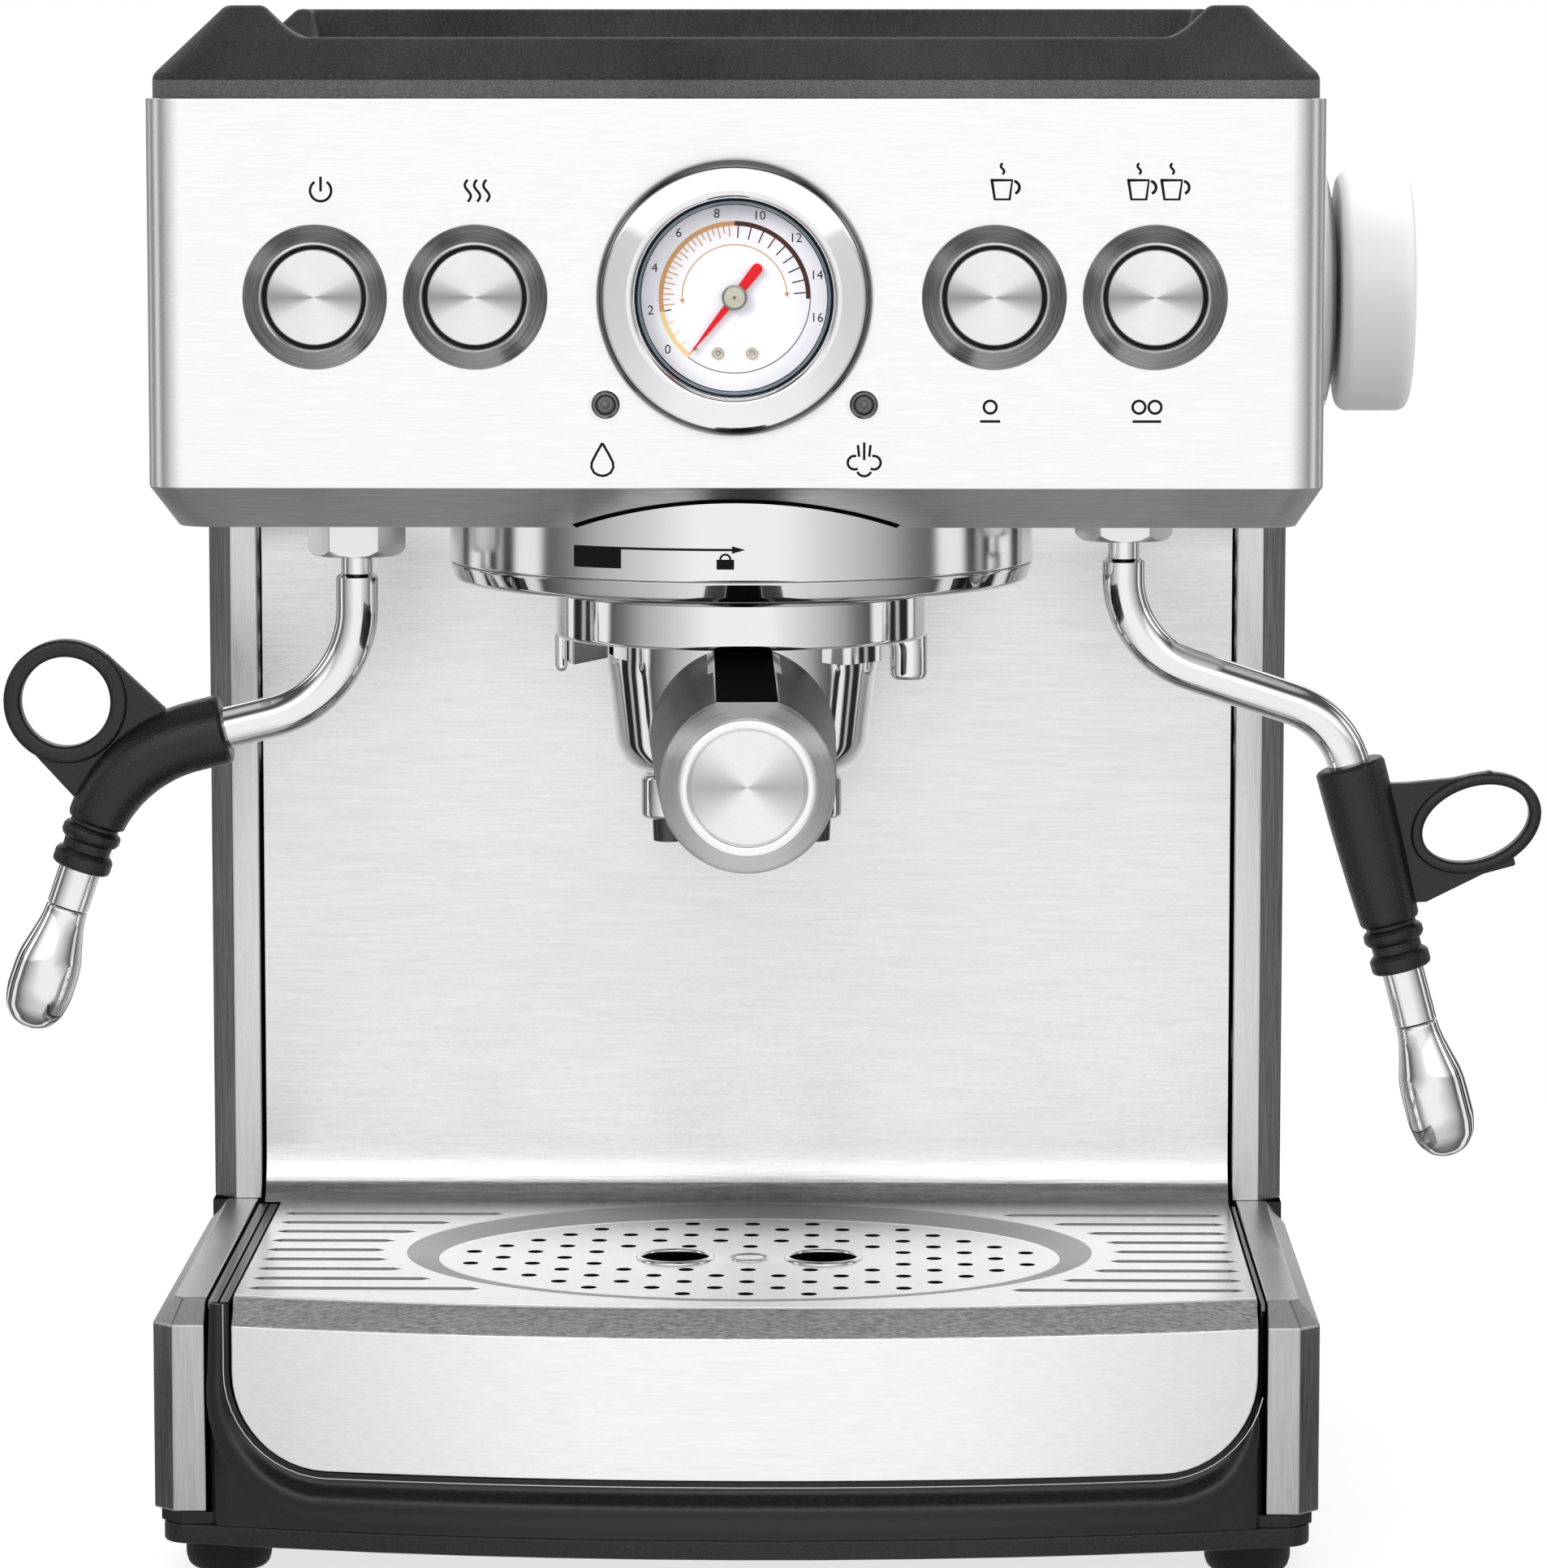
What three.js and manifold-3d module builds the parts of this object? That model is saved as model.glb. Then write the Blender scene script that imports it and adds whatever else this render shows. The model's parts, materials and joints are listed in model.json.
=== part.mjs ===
// Pump espresso machine: a 58 mm bayonet group in a steel housing, a steam wand and a
// hot-water wand on ball joints, a removable drip tray and a rear water tank.
// Millimetres. X runs across, Y from the front to the rear, Z up.
import * as THREE from 'three';
import { mergeVertices } from 'three/addons/utils/BufferGeometryUtils.js';
import Module from 'manifold-3d';

const wasm = await Module();
wasm.setup();

// ---------------------------------------------------------------------------
// Driving dimensions
// ---------------------------------------------------------------------------

// Overall
const headWidth = 280;
const bodyDepth = 250; // head and column, front face to back face
const sheet = 1.2; // pressed steel
const moulding = 2.5; // moulded walls
const fit = 0.3; // between pieces that sit in one another
const slack = 0.8; // between pieces that slide past one another

// Base
const footHeight = 10.5;
const footRadius = 10.6;
const footInset = 15; // foot centre, in from the side
const footSetback = 25; // foot centre, in from the front and the rear
const panHeight = 4.9;
const panSideInset = 1;
const housingHeight = 55; // drip-tray housing, above the pan
const housingFloor = 4;
const bow = 560; // radius of the bowed front, seen from above
const bowLead = 15; // how far the bow stands out in front of the head
const frontRounding = 8;
const shelfDepth = 65; // carries the water tank
const shelfHeight = 6;

// Side trims on the base
const trimWidth = 13;
const trimProud = 1; // past the head's side
const trimBevel = 5;
const trimTopBevel = 6;
const trimFoot = 3.3; // bottom edge, above the pan
const trimDepth = 140;

// Column
const columnHeight = 185.6;
const columnFront = 140;
const stripWidth = 13;
const columnBevel = 6;
const splashSetback = 2;
const splashCove = 16;
const splashCoveDepth = 6;
const splashGap = 1; // dark line at each side of the panel

// Rear cover
const louvreCount = 7;
const louvrePitch = 10;
const louvreLength = 26;
const louvreHeight = 3;
const louvreInset = 22; // middle of the louvres and the gland, in from the side
const glandRadius = 8;
const glandLength = 7;
const glandRise = 24; // above the housing
const cordBore = 3.8;

// Head
const chamferDrop = 10.6;
const chamferBack = 17.5;
const chamferSide = 5.3;
const headWallHeight = 92.1;
const headCorner = 9;

// Top cover
const coverInset = 1.5;
const coverGap = 0.4;
const coverRim = 5;
const coverSlope = 16.5; // inward and upward alike
const coverLip = 3;
const coverDipDrop = 7.6;
const coverDipHalf = 102;
const coverDipRun = 11.5;
const coverFloor = 2; // above the rim
const sideDipInset = 45; // ends of the side dips, in from front and rear
const plugDepth = 7; // into the head
const recessInset = 19.5; // recess at the cover's top, in from the rim
const recessDraft = 6;
const cupPlateThick = 1;
const cupSlotRows = 7;
const cupSlotPitch = 26;
const cupSlotWidth = 4;
const slotEdge = 14;

// Controls on the front panel
const controlHeight = 45.3; // centre line, above the foot of the panel
const buttonOffsets = [-99.4, -61.4, 61.4, 99.4];
const ringRadius = 17.1;
const ringBore = 12.2;
const ringProud = 3.4;
const ringSleeve = 7;
const ringWall = 1.6;
const capRadius = 11.3;
const capProud = 2.2;
const capTravel = 2;
const stemRadius = 2.5;
const stemLength = 3.5;
const switchHalf = 3;
const switchHeight = 5;
const boardMargin = 12;
const boardReach = 34; // above and below the centre line
const boardThick = 1.6;
const postRadius = 2.5;
const lampOffset = 30.6;
const lampDrop = 25.4; // below the centre line
const lampRadius = 3.1;
const lampLength = 8;

// Pressure gauge
const bezelRadius = 32.8;
const bezelBore = 23.4;
const bezelProud = 7;
const gaugeDepth = 22;
const dialSetback = 1.6; // dial face, behind the panel's face
const dialThick = 1;
const dialScrewOffset = 4;
const dialScrewDrop = 13;
const lensThick = 1.5;
const lensSetback = 2.4; // behind the bezel's lip
const inletRadius = 4.5;
const inletLength = 8;
const needleLength = 18.6;
const needleTail = 8.5;
const needleHub = 3;
const needleRise = 1.6; // in front of the dial
const needleThick = 0.6;
const pivotRadius = 0.9;
const pivotWellDepth = 2;
const needleRest = 128.3; // degrees below the three-o'clock line, clockwise end stop

// Steam and hot-water knob
const knobRadius = 29.7;
const knobLength = 18.1;
const knobBack = 7.5; // hub side, out from the head's side
const knobSetback = 80;
const knobDrop = 1.4; // below the panel's centre line
const knobPlateRadius = 33;
const knobPlateProud = 6.8;
const knobShaft = 4;
const shaftReach = 18; // into the valve, in from the head's side
const valveBody = 9;
const valveLength = 40;
const valveFlange = 16;

// Group
const groupSetback = 79;
const collarRadius = 72.6;
const collarDrop = 17.3; // below the head's underside
const collarLip = 5;
const collarFlange = 2;
const collarRise = 8.5; // of the collar's wall above the head's floor, past its chamfer
const collarSeat = 7; // flange on the head's floor, past the collar
const lockRadius = 42;
const lockHeight = 11.7;
const lockDrop = 31.7; // bottom face, below the head's underside
const lockEarReach = 46.5;
const basketRadius = 29.9;
const boilerRadius = 36;
const boilerHeight = 62;
const gasketSeat = 3;
const rimBelow = 3; // basket rim, below the lock ring's top
const screenDrop = 2;
const lugClearance = 1.4;
const ledgeHeight = 2;
const gateEase = 5; // degrees
const earHalf = 5;
const stopDropRight = 10.8;
const stopDropLeft = 8.7;
const stopWideRight = 8.3; // of each stop under the ring, inwards from the ears' reach
const stopWideLeft = 4.2;

// Portafilter
const cupRadius = 33;
const cupFootRadius = 30.5;
const cupBaseRadius = 23.5;
const cupHeight = 42;
const lugReach = 39;
const lugHeight = 3;
const lugSpan = 26; // degrees
const insertAngle = 45; // degrees to the left of straight ahead
const lockedAngle = 1.7; // degrees past straight ahead when locked
const handleLength = 108;
const handleRadius = 20.4;
const handleHeelRadius = 22.7;
const handleFlat = 1.7; // top flat, below the round
const handleGap = 3.2; // handle's heel to the cup
const handleCapLength = 6;
const handleBelow = 21.9; // handle axis, below the lock ring
const handleSides = 24;
const capDisc = 13.6;
const neckRadius = 11;
const studRadius = 5;
const studLength = 34;
const basketDepth = 25;
const outletRadius = 4;
const spoutSpan = 18.8; // outlet centres, from the middle
const spoutRadius = 6.4;
const spoutDrop = 11;
const spoutTip = 6;

// Wands
const wandSetback = 60;
const wandOffset = 94.6;
const wandRadius = 5.2;
const wandStem = 3.9;
const ballRadius = 6.5;
const nutAcross = 21; // across the flats
const ringThickness = 6;
const threadRadius = 10;
const threadHeight = 6;
const mouthRadius = 6;
const tubeSteps = 15;
const ribLength = 13;
const nozzleRadius = 8.2;

// Drip tray
const trayDepth = 134; // plate, from the head's front plane to the splash panel
const trayProud = 3; // tray front, ahead of the housing
const frontDepth = 60;
const fasciaDrop = 40.5;
const fasciaBand = 6;
const fasciaCorner = 23;
const fasciaInset = 4.6; // fascia's end, in from the trim
const trayShift = 2.2; // the tray and its bay stand this far to the right
const plateThick = 1.2;
const plateTop = 1; // above the housing
const dishHalfWidth = 85.5;
const dishHalfDepth = 65.5;
const dishFloorHalfWidth = 77;
const dishFloorHalfDepth = 53.5;
const dishDepth = 1.8;
const drainPitch = 7.7;
const drainRowPitch = 7.8;
const drainRadius = 2;
const fingerHoleRadius = 9;
const fingerHoleOffset = 18.5;
const dimpleRadius = 5;
const drainRim = 4.5;
const grooveCount = 9;
const groovePitch = 12.6;
const grooveWidth = 3;
const grooveDepth = 0.5;
const grooveMargin = 6; // to the dish
const grooveEdge = 3; // to the plate's side

// Water tank
const tankHalfWidth = 100;
const tankWall = 2.5;
const tankCorner = 10;
const tankTopDrop = 14; // below the top of the head
const tankLidThick = 4;
const valveRadius = 7;
const valveHeight = 3;
const hingeReach = 5;
const hingePin = 1.3;
const lidKnuckleHalf = 30;
const lidEar = 5;

// Pump
const pumpRadius = 20;
const pumpOffset = 60;
const pumpFoot = 6; // thickness of the pump's pedestal
const pumpGap = 14; // from the pedestal to the coil
const coilHeight = 42;
const coreLength = 30; // of the pump's core above its coil
const pumpOutlet = 16;

// ---------------------------------------------------------------------------
// Levels and places that follow from them
// ---------------------------------------------------------------------------

const halfWidth = headWidth / 2;
const panTop = footHeight + panHeight;
const baseTop = panTop + housingHeight;
const headBottom = baseTop + columnHeight;
const panelBottom = headBottom + chamferDrop;
const headTop = panelBottom + headWallHeight;
const controlZ = panelBottom + controlHeight;
const knobZ = controlZ - knobDrop;
const trimInner = halfWidth + trimProud - trimWidth;
const trimBottom = panTop + trimFoot;
const columnInner = halfWidth - stripWidth;
const lockBottom = headBottom - lockDrop;
const lockTop = lockBottom + lockHeight;
const plateZ = baseTop + plateTop;
const rearY = bodyDepth + shelfDepth;
const flip = Math.PI / 180;

// ---------------------------------------------------------------------------
// Finishes
// ---------------------------------------------------------------------------

const finishes = {
  brushedSteel: { color: 0xc8c8c6, roughness: 0.34, metalness: 1 },
  darkSteel: { color: 0x6e6e6e, roughness: 0.38, metalness: 1 },
  chrome: { color: 0xdedede, roughness: 0.08, metalness: 1 },
  satinBlack: { color: 0x2a2a2b, roughness: 0.5, metalness: 0 },
  glossBlack: { color: 0x151516, roughness: 0.22, metalness: 0 },
  rubber: { color: 0x1b1b1b, roughness: 0.75, metalness: 0 },
  gasket: { color: 0x7a2f22, roughness: 0.7, metalness: 0 },
  dialWhite: { color: 0xf4f2f8, roughness: 0.6, metalness: 0 },
  needleRed: { color: 0xd8131c, roughness: 0.4, metalness: 0 },
  glass: { color: 0xe8eef4, roughness: 0.05, metalness: 0 },
  lampGrey: { color: 0x8d8d8d, roughness: 0.2, metalness: 0 },
  brass: { color: 0xb08d4f, roughness: 0.35, metalness: 1 },
  boardGreen: { color: 0x24583a, roughness: 0.6, metalness: 0 },
  tankSmoke: { color: 0x8c9296, roughness: 0.15, metalness: 0 },
};

// ---------------------------------------------------------------------------
// Solids: three.js makes every shape, manifold-3d only joins and cuts
// ---------------------------------------------------------------------------

function manifoldOf(positions, triangles) {
  const vertProperties = new Float32Array(positions);
  const triVerts = new Uint32Array(triangles);
  return new wasm.Manifold(new wasm.Mesh({ numProp: 3, vertProperties, triVerts }));
}

function solid(geometry) {
  const bare = geometry.clone();
  bare.deleteAttribute('normal');
  bare.deleteAttribute('uv');
  const merged = mergeVertices(bare, 1e-4);
  const corners = merged.index.array;
  const triangles = [];
  for (let i = 0; i < corners.length; i += 3) {
    const [a, b, c] = [corners[i], corners[i + 1], corners[i + 2]];
    if (a !== b && b !== c && c !== a) triangles.push(a, b, c);
  }
  const body = manifoldOf(merged.attributes.position.array, triangles);
  if (body.volume() > 0) return body;
  return manifoldOf(merged.attributes.position.array, triangles.reverse());
}

function toGeometry(body) {
  const mesh = body.getMesh();
  const geometry = new THREE.BufferGeometry();
  geometry.setAttribute('position', new THREE.BufferAttribute(mesh.vertProperties, 3));
  geometry.setIndex(new THREE.BufferAttribute(mesh.triVerts, 1));
  geometry.computeVertexNormals();
  return geometry;
}

function join(first, ...others) {
  return others.reduce((body, piece) => body.add(piece), first);
}

function cut(first, ...tools) {
  return tools.reduce((body, tool) => body.subtract(tool), first);
}

// A plan outline raised along Z from `bottom` to `top`.
function upright(shape, bottom, top, curveSegments = 6) {
  const options = { depth: top - bottom, bevelEnabled: false, curveSegments };
  const geometry = new THREE.ExtrudeGeometry(shape, options);
  geometry.translate(0, 0, bottom);
  return solid(geometry);
}

// A front-view outline (x, z) run along Y from `front` to `back`.
function acrossDepth(shape, front, back, curveSegments = 6) {
  const options = { depth: back - front, bevelEnabled: false, curveSegments };
  const geometry = new THREE.ExtrudeGeometry(shape, options);
  geometry.rotateX(Math.PI / 2);
  geometry.translate(0, back, 0);
  return solid(geometry);
}

// A side-view outline (y, z) run along X from `left` to `right`.
const sideways = new THREE.Matrix4().makeBasis(
  new THREE.Vector3(0, 1, 0),
  new THREE.Vector3(0, 0, 1),
  new THREE.Vector3(1, 0, 0),
);

function acrossWidth(shape, left, right, curveSegments = 6) {
  const options = { depth: right - left, bevelEnabled: false, curveSegments };
  const geometry = new THREE.ExtrudeGeometry(shape, options);
  geometry.applyMatrix4(sideways);
  geometry.translate(left, 0, 0);
  return solid(geometry);
}

// A (radius, height) profile. One that starts off the axis is closed on itself.
function profileOf(profile) {
  const points = profile.map(([radius, height]) => new THREE.Vector2(radius, height));
  if (points[0].x > 0) points.push(points[0].clone());
  return points;
}

// The profile turned about Z.
function turned(profile, segments = 40) {
  const geometry = new THREE.LatheGeometry(profileOf(profile), segments);
  geometry.rotateX(Math.PI / 2);
  return solid(geometry);
}

// The same, about the Y axis: heights grow towards the rear.
function turnedFront(profile, segments = 40) {
  return solid(new THREE.LatheGeometry(profileOf(profile), segments));
}

// The same, about the X axis: heights grow towards the right.
function turnedSide(profile, segments = 40) {
  const geometry = new THREE.LatheGeometry(profileOf(profile), segments);
  geometry.rotateZ(-Math.PI / 2);
  return solid(geometry);
}

function disc(radius, bottom, top, segments = 40) {
  return turned([[0, bottom], [radius, bottom], [radius, top], [0, top]], segments);
}

function frontDisc(radius, front, back, segments = 40) {
  return turnedFront([[0, front], [radius, front], [radius, back], [0, back]], segments);
}

function block(left, right, front, back, bottom, top) {
  const geometry = new THREE.BoxGeometry(right - left, back - front, top - bottom);
  geometry.translate((left + right) / 2, (front + back) / 2, (bottom + top) / 2);
  return solid(geometry);
}

// A closed skin over rings of points, capped by a fan at both ends.
function loft(rings) {
  const count = rings[0].length;
  const positions = [];
  rings.flat().forEach((point) => positions.push(point.x, point.y, point.z));
  const index = [];
  for (let ring = 0; ring + 1 < rings.length; ring += 1) {
    for (let i = 0; i < count; i += 1) {
      const a = ring * count + i;
      const b = ring * count + ((i + 1) % count);
      index.push(a, b, b + count, a, b + count, a + count);
    }
  }
  [0, rings.length - 1].forEach((ring) => {
    const middle = new THREE.Vector3();
    rings[ring].forEach((point) => middle.addScaledVector(point, 1 / count));
    const hub = positions.length / 3;
    positions.push(middle.x, middle.y, middle.z);
    for (let i = 0; i < count; i += 1) {
      const a = ring * count + i;
      const b = ring * count + ((i + 1) % count);
      if (ring === 0) index.push(hub, b, a);
      else index.push(hub, a, b);
    }
  });
  const geometry = new THREE.BufferGeometry();
  geometry.setAttribute('position', new THREE.Float32BufferAttribute(positions, 3));
  geometry.setIndex(index);
  return solid(geometry);
}

// The points of an outline at height z, without a repeated last point.
function ringOf(shape, z, divisions = 3) {
  const points = shape.getPoints(divisions);
  if (points[0].distanceTo(points[points.length - 1]) < 1e-6) points.pop();
  return points.map((point) => new THREE.Vector3(point.x, point.y, z));
}

function rounded(left, right, front, back, radius) {
  const shape = new THREE.Shape();
  shape.absarc(left + radius, front + radius, radius, Math.PI, 1.5 * Math.PI);
  shape.absarc(right - radius, front + radius, radius, 1.5 * Math.PI, 2 * Math.PI);
  shape.absarc(right - radius, back - radius, radius, 0, 0.5 * Math.PI);
  shape.absarc(left + radius, back - radius, radius, 0.5 * Math.PI, Math.PI);
  return shape;
}

function polygon(points) {
  return new THREE.Shape(points.map(([x, y]) => new THREE.Vector2(x, y)));
}

function ellipse(centreX, centreY, halfX, halfY) {
  return new THREE.Shape().absellipse(centreX, centreY, halfX, halfY, 0, 2 * Math.PI);
}

// A plan outline with a bowed front whose middle reaches `lead` and rounded front corners.
function bowed(half, lead, back, rounding) {
  const reach = half - rounding;
  const spread = Math.asin(reach / bow);
  const cornerY = lead + bow * (1 - Math.cos(spread));
  const shape = new THREE.Shape();
  shape.absarc(0, lead + bow, bow, -Math.PI / 2 - spread, -Math.PI / 2 + spread);
  if (rounding > 0) shape.quadraticCurveTo(half, cornerY, half, cornerY + rounding);
  shape.lineTo(half, back);
  shape.lineTo(-half, back);
  if (rounding > 0) {
    shape.lineTo(-half, cornerY + rounding);
    shape.quadraticCurveTo(-half, cornerY, -reach, cornerY);
  }
  return shape;
}

function mirrored(body) {
  return body.mirror([1, 0, 0]);
}

const machine = new THREE.Group();

function part(name, body, finish, parent = machine) {
  const mesh = new THREE.Mesh(toGeometry(body), new THREE.MeshStandardMaterial(finishes[finish]));
  mesh.name = name;
  parent.add(mesh);
  return mesh;
}

function carrier(x, y, z, parent = machine) {
  const group = new THREE.Group();
  group.position.set(x, y, z);
  parent.add(group);
  return group;
}

// ---------------------------------------------------------------------------
// Base: pan, feet, drip-tray housing with the tank shelf, steel side trims
// ---------------------------------------------------------------------------

const panHalf = halfWidth - panSideInset;
const fasciaHalf = trimInner - fasciaInset;
const fasciaTop = plateZ - fit;
const fasciaBottom = fasciaTop - fasciaDrop;
const fasciaLead = -bowLead - trayProud;
const pocketBack = columnFront - moulding - fit;
const pumpFloor = panTop + housingFloor;

function makePan() {
  const outline = bowed(panHalf, -bowLead, rearY, frontRounding);
  part('base_pan', upright(outline, footHeight, panTop), 'satinBlack');
}

function makeFeet() {
  const profile = [
    [0, 0], [footRadius - 1, 0], [footRadius, 1], [footRadius - 1.4, footHeight], [0, footHeight],
  ];
  const places = {
    front_left: [-1, footSetback],
    front_right: [1, footSetback],
    rear_left: [-1, rearY - footSetback],
    rear_right: [1, rearY - footSetback],
  };
  Object.entries(places).forEach(([place, [side, y]]) => {
    const foot = part(`foot_${place}`, turned(profile, 16), 'rubber');
    foot.position.set(side * (halfWidth - footInset), y, 0);
  });
}

// One level of the right trim: flat front, bevelled outer corner, `lean` at the top bevel.
function trimRing(inset, lean, z, back) {
  const inner = trimInner + inset;
  const outer = halfWidth + trimProud - inset - lean;
  const front = inset + lean;
  const bevel = trimBevel - lean / 2;
  const points = [
    [inner, front], [outer - bevel, front], [outer, front + bevel], [outer, back], [inner, back],
  ];
  return points.map(([x, y]) => new THREE.Vector3(x, y, z));
}

function trimBody(inset, bottom, back) {
  const top = baseTop - inset;
  return loft([
    trimRing(inset, 0, bottom, back),
    trimRing(inset, 0, top - trimTopBevel, back),
    trimRing(inset, trimTopBevel - 1, top, back),
  ]);
}

function makeTrims() {
  const hollow = trimBody(sheet, trimBottom - 1, trimDepth + 1);
  const right = cut(trimBody(0, trimBottom, trimDepth), hollow);
  part('base_trim_right', right, 'brushedSteel');
  part('base_trim_left', mirrored(right), 'brushedSteel');
}

// Front view of the drip-tray bay: upright sides and large round lower corners.
function trough(grow, top) {
  const half = fasciaHalf + grow;
  const bottom = fasciaBottom - grow;
  const corner = fasciaCorner + grow;
  const shape = new THREE.Shape();
  shape.moveTo(half, top);
  shape.lineTo(-half, top);
  shape.absarc(-half + corner, bottom + corner, corner, Math.PI, 1.5 * Math.PI);
  shape.absarc(half - corner, bottom + corner, corner, 1.5 * Math.PI, 2 * Math.PI);
  return shape;
}

// The housing fills the trims, opens upwards and forwards for the drip tray, is hollow
// underneath, and runs on behind the column as a low shelf for the tank.
function makeHousing() {
  const top = baseTop - fit;
  const front = upright(bowed(trimInner - fit, -bowLead, columnFront, frontRounding), panTop, top);
  const wing = trimBody(sheet + fit, panTop, columnFront);
  const ledgeOuter = halfWidth - panSideInset;
  const ledgeOutline = polygon([
    [trimInner - moulding, panSideInset], [ledgeOuter - trimBevel, panSideInset],
    [ledgeOuter, panSideInset + trimBevel], [ledgeOuter, columnFront],
    [trimInner - moulding, columnFront],
  ]);
  const ledge = upright(ledgeOutline, panTop, trimBottom - fit);
  const rear = block(-halfWidth, halfWidth, columnFront, bodyDepth, panTop, top);
  const shelfHalf = tankHalfWidth + moulding;
  const shelfTop = panTop + shelfHeight;
  const shelf = block(-shelfHalf, shelfHalf, bodyDepth, rearY, panTop, shelfTop);
  const bay = acrossDepth(trough(slack, baseTop + 5), -2 * bowLead, pocketBack)
    .translate([trayShift, 0, 0]);
  const pumpBay = block(
    -columnInner, columnInner, columnFront + moulding, bodyDepth - moulding, pumpFloor, baseTop + 1,
  );
  const underside = block(
    -columnInner, columnInner, moulding, columnFront - moulding,
    panTop - 1, fasciaBottom - slack - moulding,
  );
  const socket = disc(valveRadius + slack, shelfTop - valveHeight - fit, shelfTop + 1, 16);
  const whole = join(front, wing, mirrored(wing), ledge, mirrored(ledge), rear, shelf);
  const body = cut(whole, bay, pumpBay, underside, socket.translate([0, valveSetback, 0]));
  part('base_frame', body, 'glossBlack');
}

// ---------------------------------------------------------------------------
// Column: folded steel sides, coved splash panel, louvred rear cover
// ---------------------------------------------------------------------------

const columnBottom = baseTop - fit;

function makeColumnSides() {
  const outer = halfWidth;
  const inner = columnInner;
  const front = columnFront;
  const lap = 8;
  const outline = polygon([
    [inner, front], [outer - columnBevel, front], [outer, front + columnBevel], [outer, bodyDepth],
    [outer - sheet, bodyDepth], [outer - sheet, front + columnBevel + sheet / 2],
    [outer - columnBevel - sheet / 2, front + sheet], [inner + sheet, front + sheet],
    [inner + sheet, front + lap], [inner, front + lap],
  ]);
  const right = upright(outline, columnBottom, headBottom);
  part('column_side_right', right, 'brushedSteel');
  part('column_side_left', mirrored(right), 'brushedSteel');
}

function makeSplash() {
  const face = columnFront + splashSetback;
  const toe = face - splashCoveDepth;
  const low = columnBottom;
  const high = headBottom;
  const shape = new THREE.Shape();
  shape.moveTo(toe, low);
  shape.quadraticCurveTo(face, low + splashCove * 0.3, face, low + splashCove);
  shape.lineTo(face, high - splashCove);
  shape.quadraticCurveTo(face, high - splashCove * 0.3, toe, high);
  shape.lineTo(toe + sheet, high);
  shape.quadraticCurveTo(face + sheet, high - splashCove * 0.3, face + sheet, high - splashCove);
  shape.lineTo(face + sheet, low + splashCove);
  shape.quadraticCurveTo(face + sheet, low + splashCove * 0.3, toe + sheet, low);
  const half = columnInner - splashGap;
  const notch = disc(collarRadius + slack, headBottom - collarDrop - slack, headBottom + 1, 28);
  const panel = cut(acrossWidth(shape, -half, half, 5), notch.translate([0, groupSetback, 0]));
  part('back_splash', panel, 'brushedSteel');
}

function makeRearCover() {
  const half = halfWidth - sheet - fit;
  const inside = bodyDepth - moulding;
  let body = block(-half, half, inside, bodyDepth, columnBottom, headBottom);
  for (let row = 0; row < louvreCount; row += 1) {
    const z = headBottom - louvrePitch * (row + 2);
    [-1, 1].forEach((side) => {
      const middle = side * (halfWidth - louvreInset);
      const [left, right] = [middle - louvreLength / 2, middle + louvreLength / 2];
      body = cut(body, block(left, right, inside - 1, bodyDepth + 1, z, z + louvreHeight));
    });
  }
  const gland = turnedFront([
    [cordBore, -moulding], [glandRadius, -moulding], [glandRadius, 2], [glandRadius - 1.5, glandLength],
    [cordBore, glandLength],
  ], 14).translate([halfWidth - louvreInset, bodyDepth, baseTop + glandRise]);
  const bore = frontDisc(cordBore, inside - 1, bodyDepth + 1, 14)
    .translate([halfWidth - louvreInset, 0, baseTop + glandRise]);
  part('rear_cover', join(cut(body, bore), gland), 'satinBlack');
}

// ---------------------------------------------------------------------------
// Head: steel shell, black top cover with the cup-warming tray
// ---------------------------------------------------------------------------

function headOutline(inset, side, back) {
  const half = halfWidth - inset - side;
  return rounded(-half, half, inset + back, bodyDepth - inset, Math.max(headCorner - inset, 1));
}

function headBody(inset, floor, top) {
  return loft([
    ringOf(headOutline(inset, chamferSide, chamferBack), headBottom + floor),
    ringOf(headOutline(inset, 0, 0), panelBottom + floor),
    ringOf(headOutline(inset, 0, 0), top),
  ]);
}

function makeHeadShell() {
  let body = cut(headBody(0, 0, headTop), headBody(sheet, sheet, headTop + 1));
  const above = headBottom + 2 * sheet;
  const groupHole = disc(collarRadius + slack, headBottom - 1, above + chamferDrop, 28);
  body = cut(body, groupHole.translate([0, groupSetback, 0]));
  [-1, 1].forEach((side) => {
    const hole = disc(threadRadius + fit, headBottom - 1, above, 14);
    body = cut(body, hole.translate([side * wandOffset, wandSetback, 0]));
  });
  const frontHole = (x, z, radius, segments) => frontDisc(radius, -1, sheet + 1, segments)
    .translate([x, 0, z]);
  buttonOffsets.forEach((x) => {
    body = cut(body, frontHole(x, controlZ, ringBore + ringWall + fit, 16));
  });
  [-1, 1].forEach((side) => {
    body = cut(body, frontHole(side * lampOffset, controlZ - lampDrop, lampRadius + fit, 8));
  });
  body = cut(body, frontHole(0, controlZ, bezelBore + ringWall + fit, 20));
  const shaftHole = turnedSide(
    [[0, -5], [knobShaft + 2, -5], [knobShaft + 2, 5], [0, 5]], 12,
  ).translate([halfWidth, knobSetback, knobZ]);
  const duct = block(
    -columnInner, columnInner, columnFront + 2 * splashCove, bodyDepth - 4 * moulding,
    headBottom - 1, above,
  );
  part('head_shell', cut(body, shaftHole, duct), 'brushedSteel');
}

const coverBottom = headTop + coverGap;
const coverRimTop = coverBottom + coverRim;
const coverTop = coverRimTop + coverSlope;
const coverFloorZ = coverRimTop + coverFloor;

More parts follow.
